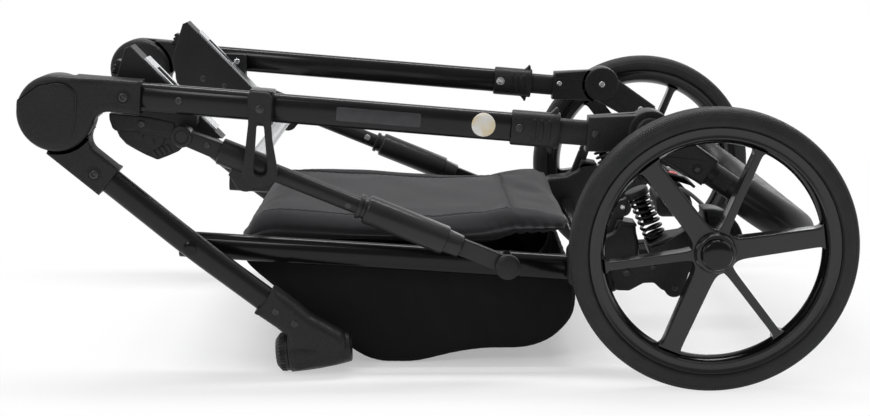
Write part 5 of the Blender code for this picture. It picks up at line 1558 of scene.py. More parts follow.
@dataclass
class Strut(Sided):
    """Telescopic strut of one side: eye and tee above, grooved sleeve and flat eye below, and the knob."""

    eye: float = 0.0115
    eye_half: float = 0.009
    tube: float = 0.0095
    tee: Point = (0.0425, 0.1000)
    tee_radius: float = 0.0145
    ring: float = 0.2005
    ring_end: float = 0.2055
    start: float = 0.2093
    end: float = 0.3018
    neck: float = 0.3197
    sleeve: float = 0.0158
    neck_radius: float = 0.0125
    depth: float = 0.024
    knob: float = 0.014
    rivet: Point = (-0.2411, 0.2550)

    @property
    def angle(self) -> float:
        """Direction of the strut."""
        return heading(PLAN.strut_top, PLAN.strut_foot)[0]

    @property
    def length(self) -> float:
        """Distance between the strut's two axes."""
        return heading(PLAN.strut_top, PLAN.strut_foot)[1]

    def line(self, profile: Sequence[Point], count: int = 56, loop: bool = False) -> Shell:
        """Turn a profile about the strut's own axis."""
        return barrel(profile, PLAN.strut_top, PLAN.strut_w, self.angle, count=count, loop=loop)

    def head(self) -> None:
        """Upper part: eye with a ring, flat fitting, tee, sliding tube and the cross tube's boss."""
        w, r, half = PLAN.strut_w, self.eye, self.eye_half
        shell = lathe([(w - half, r - 0.0012), (w - half + 0.0010, r), (w + half - 0.0016, r),
                       (w + half - 0.0004, r - 0.0006), (w + half, r - 0.0016), (w + half, r - 0.0036),
                       (w + half - 0.0007, r - 0.0041), (w + half - 0.0007, r - 0.0046),
                       (w + half, r - 0.0052)], PLAN.strut_top, 56)
        flat = laid([(0.004, 0.0085), (0.046, 0.0095), (0.046, -0.0095), (0.004, -0.0085)], PLAN.strut_top,
                    self.angle)
        shell += plate(flat, w - 0.0075, w + 0.0075, 0.0016)
        first, last = self.tee
        tee, tube_end = self.tee_radius, self.ring + self.depth
        shell += self.line([(first, tee - 0.0012), (first + 0.0010, tee), (last - 0.008, tee),
                            (last - 0.002, tee - 0.0022), (last, tee - 0.0036), (last, self.tube),
                            (tube_end, self.tube)])
        drop = along(PLAN.strut_top, self.angle, *PLAN.boss)
        boss = [along(PLAN.strut_top, self.angle, 0.062), along(PLAN.strut_top, self.angle, 0.060, -0.020)]
        boss += arc(drop, 0.013, 200, 330, 12) + [along(PLAN.strut_top, self.angle, 0.096, -0.010)]
        shell += plate(boss, w - 0.0115, w + 0.008, 0.0024)
        self.add("strut_fitting", shell, "plastic_smooth", "strut_upper", "strut_head")
        rivets = bolt(self.rivet, w + 0.0075, 0.0034, 0.0012, 0.3)
        self.add("strut_rivet", rivets, "bolt_black", "strut_upper")
        inner = bolt(self.rivet, w - 0.0075, 0.0034, 0.0012, 0.3, inward=True)
        self.add("strut_rivet_inner", inner, "bolt_steel", "strut_upper")

    def lower(self) -> None:
        """Lower part: collar ring, neck groove, sleeve with softened ends, taper and flat eye."""
        b, r = self.tube + PLAN.gap, self.sleeve
        deep = self.ring + 0.1122
        profile = [(self.ring, b), (self.ring, self.tube + 0.0032),
                   (self.ring + 0.0008, self.tube + 0.0040), (self.ring_end - 0.0008, self.tube + 0.0040),
                   (self.ring_end, self.tube + 0.0022), (self.start, self.tube + 0.0022),
                   (self.start + 0.0004, r - 0.0016), (self.start + 0.0016, r - 0.0003),
                   (self.start + 0.003, r), (self.end - 0.0016, r), (self.end - 0.0004, r - 0.0004),
                   (self.end + 0.0002, r - 0.0014), (self.end + 0.0004, self.neck_radius + 0.0006),
                   (self.neck - 0.0016, self.neck_radius), (self.neck - 0.0002, self.neck_radius - 0.0008),
                   (self.neck + 0.0012, self.neck_radius - 0.0030), (self.neck + 0.002, 0.0002),
                   (deep, 0.0002), (deep, b)]
        shell = self.line(profile, 64, loop=True)
        end = self.length
        outline = [(self.neck - 0.006, 0.0095), (self.neck + 0.010, 0.0095), (end - 0.018, 0.0095)]
        outline += arc((end, 0.0), 0.0105, 115, -115, 24)
        outline += [(end - 0.018, -0.0095), (self.neck - 0.006, -0.0095)]
        flat = laid(outline, PLAN.strut_top, self.angle)
        shell += plate(flat, PLAN.strut_w - 0.0048, PLAN.strut_w + 0.0048, 0.0016)
        self.add("strut_tube", shell, "tube_satin_strut", "strut_lower", "strut_sleeve")
        for name, place, radius, finish in (("strut_screw", (-0.0930, 0.1895), 0.0034, "bolt_black"),
                                            ("strut_screw_inner", (-0.0930, 0.1950), 0.0040, "bolt_steel")):
            centre = (run_of(*place, PLAN.strut_top, self.angle),
                      run_of(*place, PLAN.strut_top, self.angle + math.pi / 2))
            flush = patch(PLAN.strut_top, self.angle, PLAN.strut_w, 2 * self.tube, 2 * self.tube, centre,
                          (radius, radius), 0.00015, inward=name.endswith("inner"), shape=2.0)
            self.add(name, flush, finish, "strut_upper")

    def cap(self) -> None:
        """Knob over the lower stud: a drum with a rounded rim and a shallow raised face."""
        inner, r = PLAN.strut_w + 0.0051, self.knob
        profile = [(inner, r * 0.6), (inner, r - 0.0010), (inner + 0.0040, r - 0.0003),
                   (inner + 0.0062, r - 0.0002), (inner + 0.0076, r - 0.0010), (inner + 0.0082, r - 0.0020),
                   (inner + 0.0082, r - 0.0024), (inner + 0.0088, r - 0.0030), (inner + 0.0093, r - 0.0044),
                   (inner + 0.0095, 0.0010)]
        self.add("strut_cap", lathe(profile, PLAN.strut_foot, 56), "plastic_grained", "chassis",
                 "strut_knob")

    def make(self) -> None:
        """Make the strut."""
        self.head()
        self.lower()
        self.cap()


# Upper frame


@dataclass
class UpperTube(Sided):
    """Upper tube of one side with its rivet, its fold-release collar and the bare label plate."""

    start: float = 0.0603
    end: float = 0.525
    collar: Point = (0.4805, 0.5315)
    collar_height: float = 0.0375
    collar_width: float = 0.025
    fin: float = 0.006
    screw: Point = (0.0890, 0.2735)

    def oval_patch(self, centre: Point, half: Point, lift: float, square: float = 1.0,
                   inward: bool = False) -> Shell:
        """Raised patch on the side of the tube."""
        return patch(PLAN.upper, PLAN.upper_angle, PLAN.frame_w, PLAN.tube_height, PLAN.tube_width, centre,
                     half, lift, square, inward)

    def tube(self) -> None:
        """The tube, its rivets on both faces, and on the near side the bare plate and round sticker."""
        flat = PLAN.tube_width / PLAN.tube_height
        shell = barrel(tube(self.start, self.end, PLAN.tube_height, PLAN.wall), PLAN.upper, PLAN.frame_w,
                       PLAN.upper_angle, flat, 72, loop=True, power=2.4)
        self.add("upper_oval", shell, "tube_satin", "upper_frame", "upper_tube")
        rivet = (-0.2701, 0.3021)
        heads = bolt(rivet, PLAN.frame_face, 0.0040, 0.0014, 0.3)
        heads += bolt(rivet, PLAN.frame_w - PLAN.tube_width / 2, 0.0040, 0.0014, 0.3, inward=True)
        self.add("tube_rivets", heads, "bolt_black", "upper_frame")
        if self.side is Side.LEFT:
            plate_at = self.oval_patch((0.3396, 0.0), (0.0446, 0.0073), 0.0003, 0.08)
            self.add("name_plate_bare", plate_at, "label_dark", "upper_frame")
            sticker = self.oval_patch((0.4508, 0.0008), (0.0126, 0.0126), 0.0004)
            self.add("round_sticker", sticker, "label_pearl", "upper_frame")

    def fin_outline(self, up: float, shift: float) -> list[Point]:
        """Shark-fin outline on the collar's edge; up is 1 above the tube and -1 below."""
        last, half = self.collar[1] - shift, self.collar_height / 2
        points = [(last - 0.0125, half - 0.0020), (last - 0.0098, half + 0.0004),
                  (last - 0.0068, half + 0.0034), (last - 0.0050, half + self.fin),
                  (last - 0.0034, half + self.fin - 0.0002), (last - 0.0026, half + 0.0030),
                  (last - 0.0020, half - 0.0020)]
        return laid([(s, h * up) for s, h in points], PLAN.upper, PLAN.upper_angle)

    def slider(self) -> None:
        """Collar: oval sleeve, rear band, three bars on each face and a finger fin above and below."""
        first, last = self.collar
        height, flat = self.collar_height, self.collar_width / self.collar_height
        r, b = height / 2, PLAN.tube_height / 2 + PLAN.gap
        profile = [(first, b), (first, r - 0.0014), (first + 0.0006, r - 0.0004), (first + 0.0020, r),
                   (last - 0.0100, r), (last - 0.0096, r + 0.0004), (last - 0.0088, r + 0.0005),
                   (last - 0.0012, r + 0.0005), (last - 0.0003, r), (last, r - 0.0012), (last, b)]
        shell = barrel(profile, PLAN.upper, PLAN.frame_w, PLAN.upper_angle, flat, 72, loop=True, power=2.5)
        for up, shift in ((1.0, 0.0), (-1.0, 0.003)):
            shell += plate(filleted(self.fin_outline(up, shift), 0.0012, 3), PLAN.frame_w - 0.005,
                           PLAN.frame_w + 0.005, 0.0012)
        for inward in (False, True):
            for k in range(3):
                bar = patch(PLAN.upper, PLAN.upper_angle, PLAN.frame_w, height, self.collar_width,
                            (first + 0.0235 + 0.0078 * k, 0.0), (0.0019, 0.0118), 0.0011, 0.45, inward, 2.5)
                shell += bar
        self.add("fold_collar", shell, "plastic_grained", "slider", "collar")
        outer = bolt(self.screw, PLAN.frame_w + self.collar_width / 2, 0.0044, 0.0018)
        self.add("collar_screw", outer, "bolt_black", "slider")
        face = PLAN.frame_w - self.collar_width / 2
        inner = washer(self.screw, face, 0.0056, 0.0036, 0.0006, inward=True)
        inner += bolt(self.screw, face, 0.0036, 0.0010, inward=True)
        self.add("collar_ring", inner, "bolt_steel", "slider")

    def make(self) -> None:
        """Make the tube and its collar."""
        self.tube()
        self.slider()


@dataclass
class SeatAdaptor(Sided):
    """Seat adaptor of one side: slotted body, bright strip, ribbed button and the brackets on the tube."""

    inner: float = 0.1675
    outer: float = 0.195
    top: Point = (-0.3270, 0.3565)
    tip: Point = (-0.2310, 0.2560)
    slot_half: float = 0.007
    notch_half: float = 0.0085
    slot: Point = (0.036, 0.072)
    slot_deep: Point = (-0.034, -0.030)
    strip: float = 0.0022
    button: Point = (-0.3425, 0.3250)
    button_turn: float = math.radians(70.0)
    overlap: float = 0.0012
    plate_face: float = PLAN.frame_w - 0.0128

    @property
    def middle(self) -> float:
        """Middle of the adaptor's thickness."""
        return (self.inner + self.outer) / 2

    def outline(self, slotted: bool, notched: bool) -> list[Point]:
        """Outline of one layer of the body."""
        angle, _ = heading(self.top, self.tip)
        points = [self.top]
        if slotted:
            first, last = self.slot
            points += laid([(first, 0.0), (first, self.slot_deep[0]), (last, self.slot_deep[1]),
                            (last, 0.0)], self.top, angle)
        points += [self.tip, (-0.2480, 0.2560), (-0.3330, 0.2660), (-0.3420, 0.2732), (-0.3486, 0.3064)]
        if notched:
            points += laid([(-0.0004, 0.0), (-0.0004, -0.0104), (0.0154, -0.0104), (0.0154, 0.0005)],
                           self.button, self.button_turn)
        return points + [(-0.3367, 0.3434), (-0.3330, 0.3540)]

    def body(self) -> None:
        """Body in five layers, so that its slot and its button's recess are open, and the two brackets."""
        m = self.middle
        layers = ((self.inner, m - self.notch_half, False, False),
                  (m - self.notch_half, m - self.slot_half, False, True),
                  (m - self.slot_half, m + self.slot_half, True, True),
                  (m + self.slot_half, m + self.notch_half, False, True),
                  (m + self.notch_half, self.outer, False, False))
        shell = joined(plate(self.outline(slotted, notched), first, last, 0.0014 if k == 4 else 0.0,
                             0.0014 if k == 0 else 0.0)
                       for k, (first, last, slotted, notched) in enumerate(layers))
        face = PLAN.frame_w - PLAN.tube_width / 2 - PLAN.gap
        bracket = [(-0.3190, 0.3060), (-0.3190, 0.2640), (-0.2900, 0.2590), (-0.2760, 0.2560),
                   (-0.2600, 0.2660), (-0.2550, 0.2740), (-0.2550, 0.3110), (-0.3050, 0.3130)]
        shell += plate(filleted(bracket, 0.003, 4), self.outer - self.overlap, face - 0.0040, 0.0014, 0.0)
        bowl = [(-0.3440, 0.2700), (-0.3400, 0.2600), (-0.3330, 0.2520), (-0.3240, 0.2465),
                (-0.3130, 0.2405), (-0.3010, 0.2352), (-0.2985, 0.2352), (-0.2880, 0.2392),
                (-0.2770, 0.2440), (-0.2640, 0.2560), (-0.2700, 0.2680), (-0.3200, 0.2720)]
        rim = [(-0.3432, 0.2700), (-0.3388, 0.2606), (-0.3316, 0.2531), (-0.3226, 0.2476),
               (-0.3120, 0.2436), (-0.3060, 0.2440), (-0.2990, 0.2470), (-0.2930, 0.2520),
               (-0.2900, 0.2600), (-0.2930, 0.2700)]
        shell += plate(filleted(bowl, 0.003, 4), self.outer - self.overlap, face - 0.0075, 0.0012, 0.0)
        shell += plate(filleted(rim, 0.003, 4), face - 0.0090, face - 0.0052, 0.0018, 0.0)
        front = [(-0.3495, 0.2870), (-0.3492, 0.2790), (-0.3465, 0.2700), (-0.3435, 0.2672),
                 (-0.3380, 0.2664), (-0.3080, 0.2656), (-0.2935, 0.2640), (-0.2840, 0.2622),
                 (-0.2780, 0.2680), (-0.2785, 0.2765), (-0.3010, 0.2815), (-0.3180, 0.2842)]
        spine = [(-0.3410, 0.2765), (-0.3180, 0.2750), (-0.2860, 0.2705)]
        shell += crowned(spaced(filleted(front, 0.003, 4), 0.002), spine, self.outer - self.overlap,
                         self.plate_face, 0.0022)
        self.add("adaptor_teeth", self.ribs(face - 0.0075), "rim_deep", "upper_frame")
        self.add("adaptor_body", shell, "plastic_grained", "upper_frame", "adaptor")
        screw = bolt((-0.3148, 0.2748), self.plate_face, 0.0044, 0.0014, 0.5)
        self.add("adaptor_screw", screw, "bolt_black", "upper_frame")
        inner = bolt((-0.3078, 0.2815), self.inner, 0.0042, 0.0012, inward=True)
        inner += bolt((-0.2800, 0.2720), self.inner, 0.0036, 0.0010, inward=True)
        self.add("adaptor_nuts", inner, "bolt_black", "upper_frame")
        holder = bolt((-0.2660, 0.3020), self.outer - self.overlap, 0.0040, 0.0014, inward=True)
        self.add("bracket_screw", holder, "bolt_steel", "upper_frame")

    def ribs(self, face: float) -> Shell:
        """Slanted latch teeth at the bowl's rear and two short ribs in it."""
        places = [((-0.2990 + 0.0052 * k, 0.2380 + 0.0018 * k), 118.0, 0.0100, 0.0030, 0.0012)
                  for k in range(4)]
        places += [((-0.3130, 0.2560), 90.0, 0.0060, 0.0012, 0.0030),
                   ((-0.3020, 0.2530), 90.0, 0.0050, 0.0012, 0.0030)]
        return joined(plate(laid([(0.0, 0.0), (length, 0.0), (length, wide), (0.0, wide)], start,
                                 math.radians(turn)), face - 0.004, face + lift, 0.0004)
                      for start, turn, length, wide, lift in places)

    def bright_strip(self) -> None:
        """Bright strip along the slanted edge: two rails and two ends round the slot."""
        angle, length = heading(self.top, self.tip)
        low, high, m = self.inner + 0.001, self.outer - 0.0018, self.middle
        first, last = self.slot
        parts = ((low, m - self.slot_half, 0.020, length - 0.012),
                 (m + self.slot_half, high, 0.020, length - 0.012),
                 (m - self.slot_half, m + self.slot_half, 0.020, first),
                 (m - self.slot_half, m + self.slot_half, last, length - 0.012))
        low_h, high_h = PLAN.gap, PLAN.gap + self.strip
        shell = joined(plate(laid([(s0, low_h), (s1, low_h), (s1, high_h), (s0, high_h)], self.top, angle),
                             inner, outer) for inner, outer, s0, s1 in parts)
        self.add("adaptor_trim", shell, "strip_aluminium", "upper_frame", "adaptor_strip")

    def release(self) -> None:
        """Ribbed release button."""
        outline = [(0.0, -0.0060), (0.0150, -0.0060), (0.0150, 0.0060)]
        for k in range(3):
            s = 0.0132 - k * 0.0048
            outline += [(s, 0.0075), (s - 0.0024, 0.0075), (s - 0.0024, 0.0060), (s - 0.0040, 0.0060)]
        outline += [(0.0, 0.0060)]
        shell = plate(filleted(laid(outline, self.button, self.button_turn), 0.0006, 3),
                      self.middle - 0.008, self.middle + 0.008, 0.0008)
        self.add("adaptor_release", shell, "plastic_smooth", "release", "adaptor_button")

    def make(self) -> None:
        """Make the adaptor."""
        self.body()
        self.bright_strip()
        self.release()


# Handle


@dataclass
class HandleJoint(Sided):
    """Handle of one side up to the grip: sliding post with its sleeve, tilt joint, button and arm."""

    radius: float = 0.0234
    half: float = 0.012
    post_start: float = 0.39
    post_sleeve: float = 0.561
    post_height: float = 0.037
    inner_height: float = 0.0272
    inner_width: float = 0.0152
    tilt_out: float = 0.2385
    tilt_in: float = 0.2105
    button_radius: float = 0.016
    arm_end: float = 0.079
    arm_height: float = 0.032
    grip_start: float = 0.113
    bar_radius: float = 0.013
    edge: float = 0.0026

    def recess(self, start: Point, end: Point, w: float, radius: float = 0.0075) -> Shell:
        """Fine raised border of a slot-shaped recess."""
        return track(capsule(start, end, radius), w, 0.0005)

    def post(self) -> None:
        """Post: inner oval tube, sleeve in two layers and the outer half of the tilt joint."""
        half, w, tilt = self.post_height / 2, PLAN.frame_w, PLAN.tilt
        low = laid([(self.post_sleeve, half), (self.post_sleeve, -half)], PLAN.upper, PLAN.upper_angle)
        whole = low + arc(tilt, self.radius - 0.0003, -110, 58, 40)
        hollow = low + arc(tilt, self.radius + 0.0006, 250, 127, 24)
        shell = plate(whole, w + PLAN.gap, w + self.half, self.edge, 0.0)
        shell += plate(hollow, w + PLAN.gap, w - self.half, self.edge, 0.0)
        drum = [(w + PLAN.gap, self.radius * 0.9), (w + PLAN.gap, self.radius),
                (self.tilt_out - 0.0026, self.radius), (self.tilt_out - 0.0010, self.radius - 0.0006),
                (self.tilt_out - 0.0003, self.radius - 0.0014), (self.tilt_out, self.radius - 0.0026),
                (self.tilt_out, self.button_radius + 0.0006),
                (self.tilt_out - 0.0045, self.button_radius + 0.0006), (self.tilt_out - 0.0045, 0.006)]
        shell += lathe(drum, tilt, 80)
        flat = self.inner_width / self.inner_height
        r = self.inner_height / 2
        shell += barrel([(self.post_start, r - 0.0006), (self.post_start + 0.0006, r),
                         (self.post_sleeve + 0.012, r)], PLAN.upper, w, PLAN.upper_angle, flat, 64,
                        power=2.4)
        inner_bolt = (0.1692, 0.2700)
        shell += self.recess(inner_bolt, (0.2000, 0.2672), w - self.half)
        self.add("post_sleeve", shell, "plastic_grained", "handle_posts", "handle_post")
        self.add("post_screw", bolt((0.1698, 0.2671), w + self.half, 0.0045, 0.0020), "bolt_black",
                 "handle_posts")
        self.add("post_nut", bolt(inner_bolt, w - self.half, 0.0036, 0.0012, inward=True), "bolt_steel",
                 "handle_posts")

    def button(self) -> None:
        """Button of the tilt joint, with a crowned face."""
        t, r = self.tilt_out, self.button_radius
        profile = [(t - 0.0022, r * 0.8), (t - 0.0022, r), (t + 0.0002, r), (t + 0.0008, r - 0.0006)]
        profile += dome(t + 0.0008, 0.0037, 0.0001, r - 0.0008, 0.12, 14)
        self.add("tilt_dome", lathe(profile, PLAN.tilt, 64), "plastic_smooth", "tilt_release",
                 "tilt_button")

    def arm(self) -> None:
        """Arm: inner half of the joint, sleeve in two layers, pin, and the bar that enters the grip."""
        half, w, tilt = self.arm_height / 2, PLAN.frame_w, PLAN.tilt
        ends = laid([(self.arm_end, -half), (self.arm_end, half), (0.034, half + 0.001)], tilt,
                    PLAN.arm_angle)
        whole = ends + arc(tilt, self.radius - 0.0003, 15, 250, 60)
        first = laid([(0.0262, half + 0.001)], tilt, PLAN.arm_angle)
        hollow = ends[:2] + first + arc(tilt, self.radius + 0.0008, -1, -77, 20)
        shell = plate(whole, w, w - self.half, self.edge, 0.0)
        shell += plate(hollow, w, w + self.half, self.edge, 0.0)
        shell += rounded_disc(tilt, self.radius, w, self.tilt_in, self.edge)
        shell += lathe([(w - 0.002, 0.006), (self.tilt_out - 0.0061, 0.006)], tilt, 32)
        r = self.bar_radius
        shell += barrel([(self.arm_end - 0.01, r), (self.grip_start, r)], tilt, w, PLAN.arm_angle, 0.88, 48)
        shell += barrel([(self.arm_end, half - 0.0022), (self.arm_end + 0.0006, half - 0.0014),
                         (self.arm_end + 0.0030, half - 0.0018), (self.arm_end + 0.0034, r)], tilt, w,
                        PLAN.arm_angle, 0.74, 48)
        bolt_at = (0.2784, 0.2293)
        shell += washer(bolt_at, w + self.half, 0.0058, 0.0044, 0.0005)
        inner_bolt = (0.2809, 0.2345)
        shell += self.recess(tilt, inner_bolt, w - self.half, 0.0085)
        pad = laid([(0.086, 0.0075), (0.104, 0.0075), (0.104, -0.0075), (0.086, -0.0075)], tilt,
                   PLAN.arm_angle)
        shell += plate(filleted(pad, 0.0010, 3), w + 0.008, w + r * 0.88 + 0.0004, 0.0004)
        self.add("handle_sleeve", shell, "plastic_grained", "handlebar", "handle_arm")
        self.add("arm_bolt", bolt(bolt_at, w + self.half, 0.0040, 0.0014), "bolt_black", "handlebar")
        nuts = bolt(inner_bolt, w - self.half, 0.0042, 0.0014, inward=True)
        nuts += bolt(tilt, self.tilt_in, 0.0042, 0.0012, inward=True)
        self.add("arm_nuts", nuts, "bolt_steel", "handlebar")

    def make(self) -> None:
        """Make the handle of the side."""
        self.post()
        self.button()
        self.arm()


@dataclass
class Grip:
    """Leather-covered grip: one U across the pram, sewn along its inner side."""

    start: float = 0.1133
    end: float = 0.210
    radius: float = 0.021
    corner: float = 0.06
    stitches: int = 150

    def path(self, count: int = 220) -> Array:
        """Centre line: straight arm, quarter circle, straight bar and the same back."""
        half = [(self.start, PLAN.frame_w), (self.start + 0.012, PLAN.frame_w),
                (self.start + 0.024, PLAN.frame_w)]
        for a in np.radians(np.linspace(0, 90, 18)):
            half.append((self.end - self.corner * (1 - math.sin(a)),
                         PLAN.frame_w - self.corner * (1 - math.cos(a))))
        half += [(self.end, y) for y in (0.13, 0.09, 0.05, 0.02)]
        line = half + [(s, -y) for s, y in reversed(half)]
        flat = np.array([(*along(PLAN.tilt, PLAN.arm_angle, s), y) for s, y in line])[:, [0, 2, 1]]
        step = travelled(flat)
        u = np.linspace(0, step[-1], count)
        return np.stack([np.interp(u, step, flat[:, k]) for k in range(3)], 1)

    def make(self) -> None:
        """Make the cover and its stitches.

        The ring's radius is R (1 - 0.004 w) with w a slow wave, drawn in at both ends, and the seam is a
        groove exp(-(a / 0.10)^2) on the side that faces the pram.
        """
        path = self.path()
        n = len(path)
        normal = (-math.sin(PLAN.arm_angle), 0.0, math.cos(PLAN.arm_angle))
        u = np.linspace(0, 1, n)[:, None]
        t = full_turn(72)[None]
        near = np.minimum(u, 1 - u) * n
        shrink = 1 - 0.30 * np.exp(-near / 1.1) - 0.012 * np.exp(-((near - 7.0) / 0.9) ** 2)
        wave = 0.006 * np.sin(u * 61) * np.sin(t * 2 + u * 17) + 0.004 * np.sin(u * 143 + 2 * t)
        off = (t - math.pi + math.pi) % math.tau - math.pi
        groove = 0.055 * np.exp(-(off / 0.09) ** 2) - 0.016 * np.exp(-((np.abs(off) - 0.22) / 0.10) ** 2)
        r = self.radius * 0.992 * shrink * (1 - wave * 0.6 - groove)
        ring = np.stack([r * np.cos(t), r * np.sin(t)], -1)
        piece("grip_cover", sweep(path, ring, normal), "grip_leather", "handlebar", "handle_grip")
        self.sew(path, np.array(normal))

    def sew(self, path: Array, normal: Array) -> None:
        """Short slanted stitches across the seam, each an ellipsoid in the surface."""
        tangent = unit(np.gradient(path, axis=0))
        side = np.cross(tangent, normal)
        pick = np.linspace(8, len(path) - 9, self.stitches).astype(int)
        a, b = np.meshgrid(np.linspace(0.15, math.pi - 0.15, 5), full_turn(6), indexing="ij")
        blocks = []
        for sign in (-1.0, 1.0):
            centre = (path[pick] + side[pick] * self.radius * 0.975 * math.cos(0.2)
                      + normal * sign * self.radius * 0.2)
            long = tangent[pick] * 0.0013 + normal * sign * 0.0003
            grid = centre[:, None, None] + np.cos(a)[None, ..., None] * long[:, None, None] \
                + (np.sin(a) * np.cos(b))[None, ..., None] * side[pick][:, None, None] * 0.0006 \
                + (np.sin(a) * np.sin(b))[None, ..., None] * normal * 0.0004
            blocks.extend(grid)
        piece("grip_stitches", joined(net(block) for block in blocks), "cloth_black_thread", "handlebar")


# Transport hook


@dataclass
class TransportHook(Sided):
    """Strap clamp on the left tube and the flat loop that hangs from it."""

    side: Side = Side.LEFT
    place: float = -0.1833
    half: float = 0.0125
    inner: float = 0.2446
    thick: float = 0.004
    pin: float = 0.0028

    @property
    def point(self) -> Point:
        """Axis of the loop on the tube."""
        return along(PLAN.upper, PLAN.upper_angle, self.s)

    @property
    def s(self) -> float:
        """Place of the clamp along the tube."""
        return (self.place - PLAN.upper[0]) / math.cos(PLAN.upper_angle)

    def clamp(self) -> None:
        """Strap round the tube, with a boss and the pin's head."""
        h = PLAN.tube_height / 2 + 0.0035
        outline = laid([(self.s - self.half, h), (self.s + self.half, h), (self.s + self.half, -h),
                        (self.s - self.half, -h)], PLAN.upper, PLAN.upper_angle)
        shell = plate(filleted(outline, 0.0016, 4), PLAN.frame_w - 0.0125, self.inner - 0.0038, 0.0028)
        shell += lathe([(self.inner - 0.006, 0.007), (self.inner - 0.0009, 0.007),
                        (self.inner - 0.0003, 0.0064)], self.point, 40)
        self.add("hook_strap", shell, "plastic_smooth", "upper_frame", "hook_clamp")
        face = self.inner + self.thick
        head = [(self.inner - 0.002, self.pin), (face + 0.0001, self.pin), (face + 0.0001, 0.0044),
                (face + 0.0006, 0.0046)]
        head += dome(face + 0.0006, 0.0013, 0.0008, 0.0036, 0.3, 6)
        self.add("hook_rivet", lathe(head, self.point, 40), "bolt_black", "upper_frame")

    def loop(self) -> None:
        """Flat loop: rows run outer front, outer back, inner back and inner front, joined in a ring."""
        x, top = self.point
        outline = arc((x - 0.0015, 0.2300), 0.0188, 180, 360, 24)
        outline += [(x + 0.0125, 0.2620), (x + 0.0115, 0.2800), (x + 0.0125, top + 0.0170),
                    (x - 0.0125, top + 0.0190), (x - 0.0125, 0.2800), (x - 0.0165, 0.2500)]
        slot = [(x + 0.0040, 0.2760), (x, 0.2815), (x - 0.0040, 0.2760), (x - 0.0078, 0.2320)]
        slot += arc((x - 0.0010, 0.2300), 0.0070, 190, 350, 16) + [(x + 0.0068, 0.2320)]
        outer = self.even(filleted(outline, 0.006, 5), 160)
        inner = self.even(filleted(slot, 0.003, 5), 160)
        a, b, e = self.inner, self.inner + self.thick, 0.0007
        rows = [(inset(outer, e), a), (outer, a + e), (outer, b - e), (inset(outer, e), b),
                (inset(inner, -e), b), (inner, b - e), (inner, a + e), (inset(inner, -e), a)]
        grid = np.array([upright(q, w) for q, w in rows])
        self.add("hook_loop", net(grid, loop=True), "plastic_smooth", "hook", "transport_hook")

    def even(self, outline: Sequence[Point], count: int) -> Array:
        """Spread an outline's points evenly, from its lowest point on, counterclockwise."""
        p = np.asarray(outline, float)
        p = p if area_of(p) > 0 else p[::-1]
        p = np.roll(p, -int(np.argmin(p[:, 1])), 0)
        closed = np.vstack([p, p[:1]])
        run = travelled(closed)
        u = np.linspace(0, run[-1], count, endpoint=False)
        return np.stack([np.interp(u, run, closed[:, k]) for k in range(2)], 1)

    def make(self) -> None:
        """Make the clamp and the loop."""
        self.clamp()
        self.loop()


# Brake


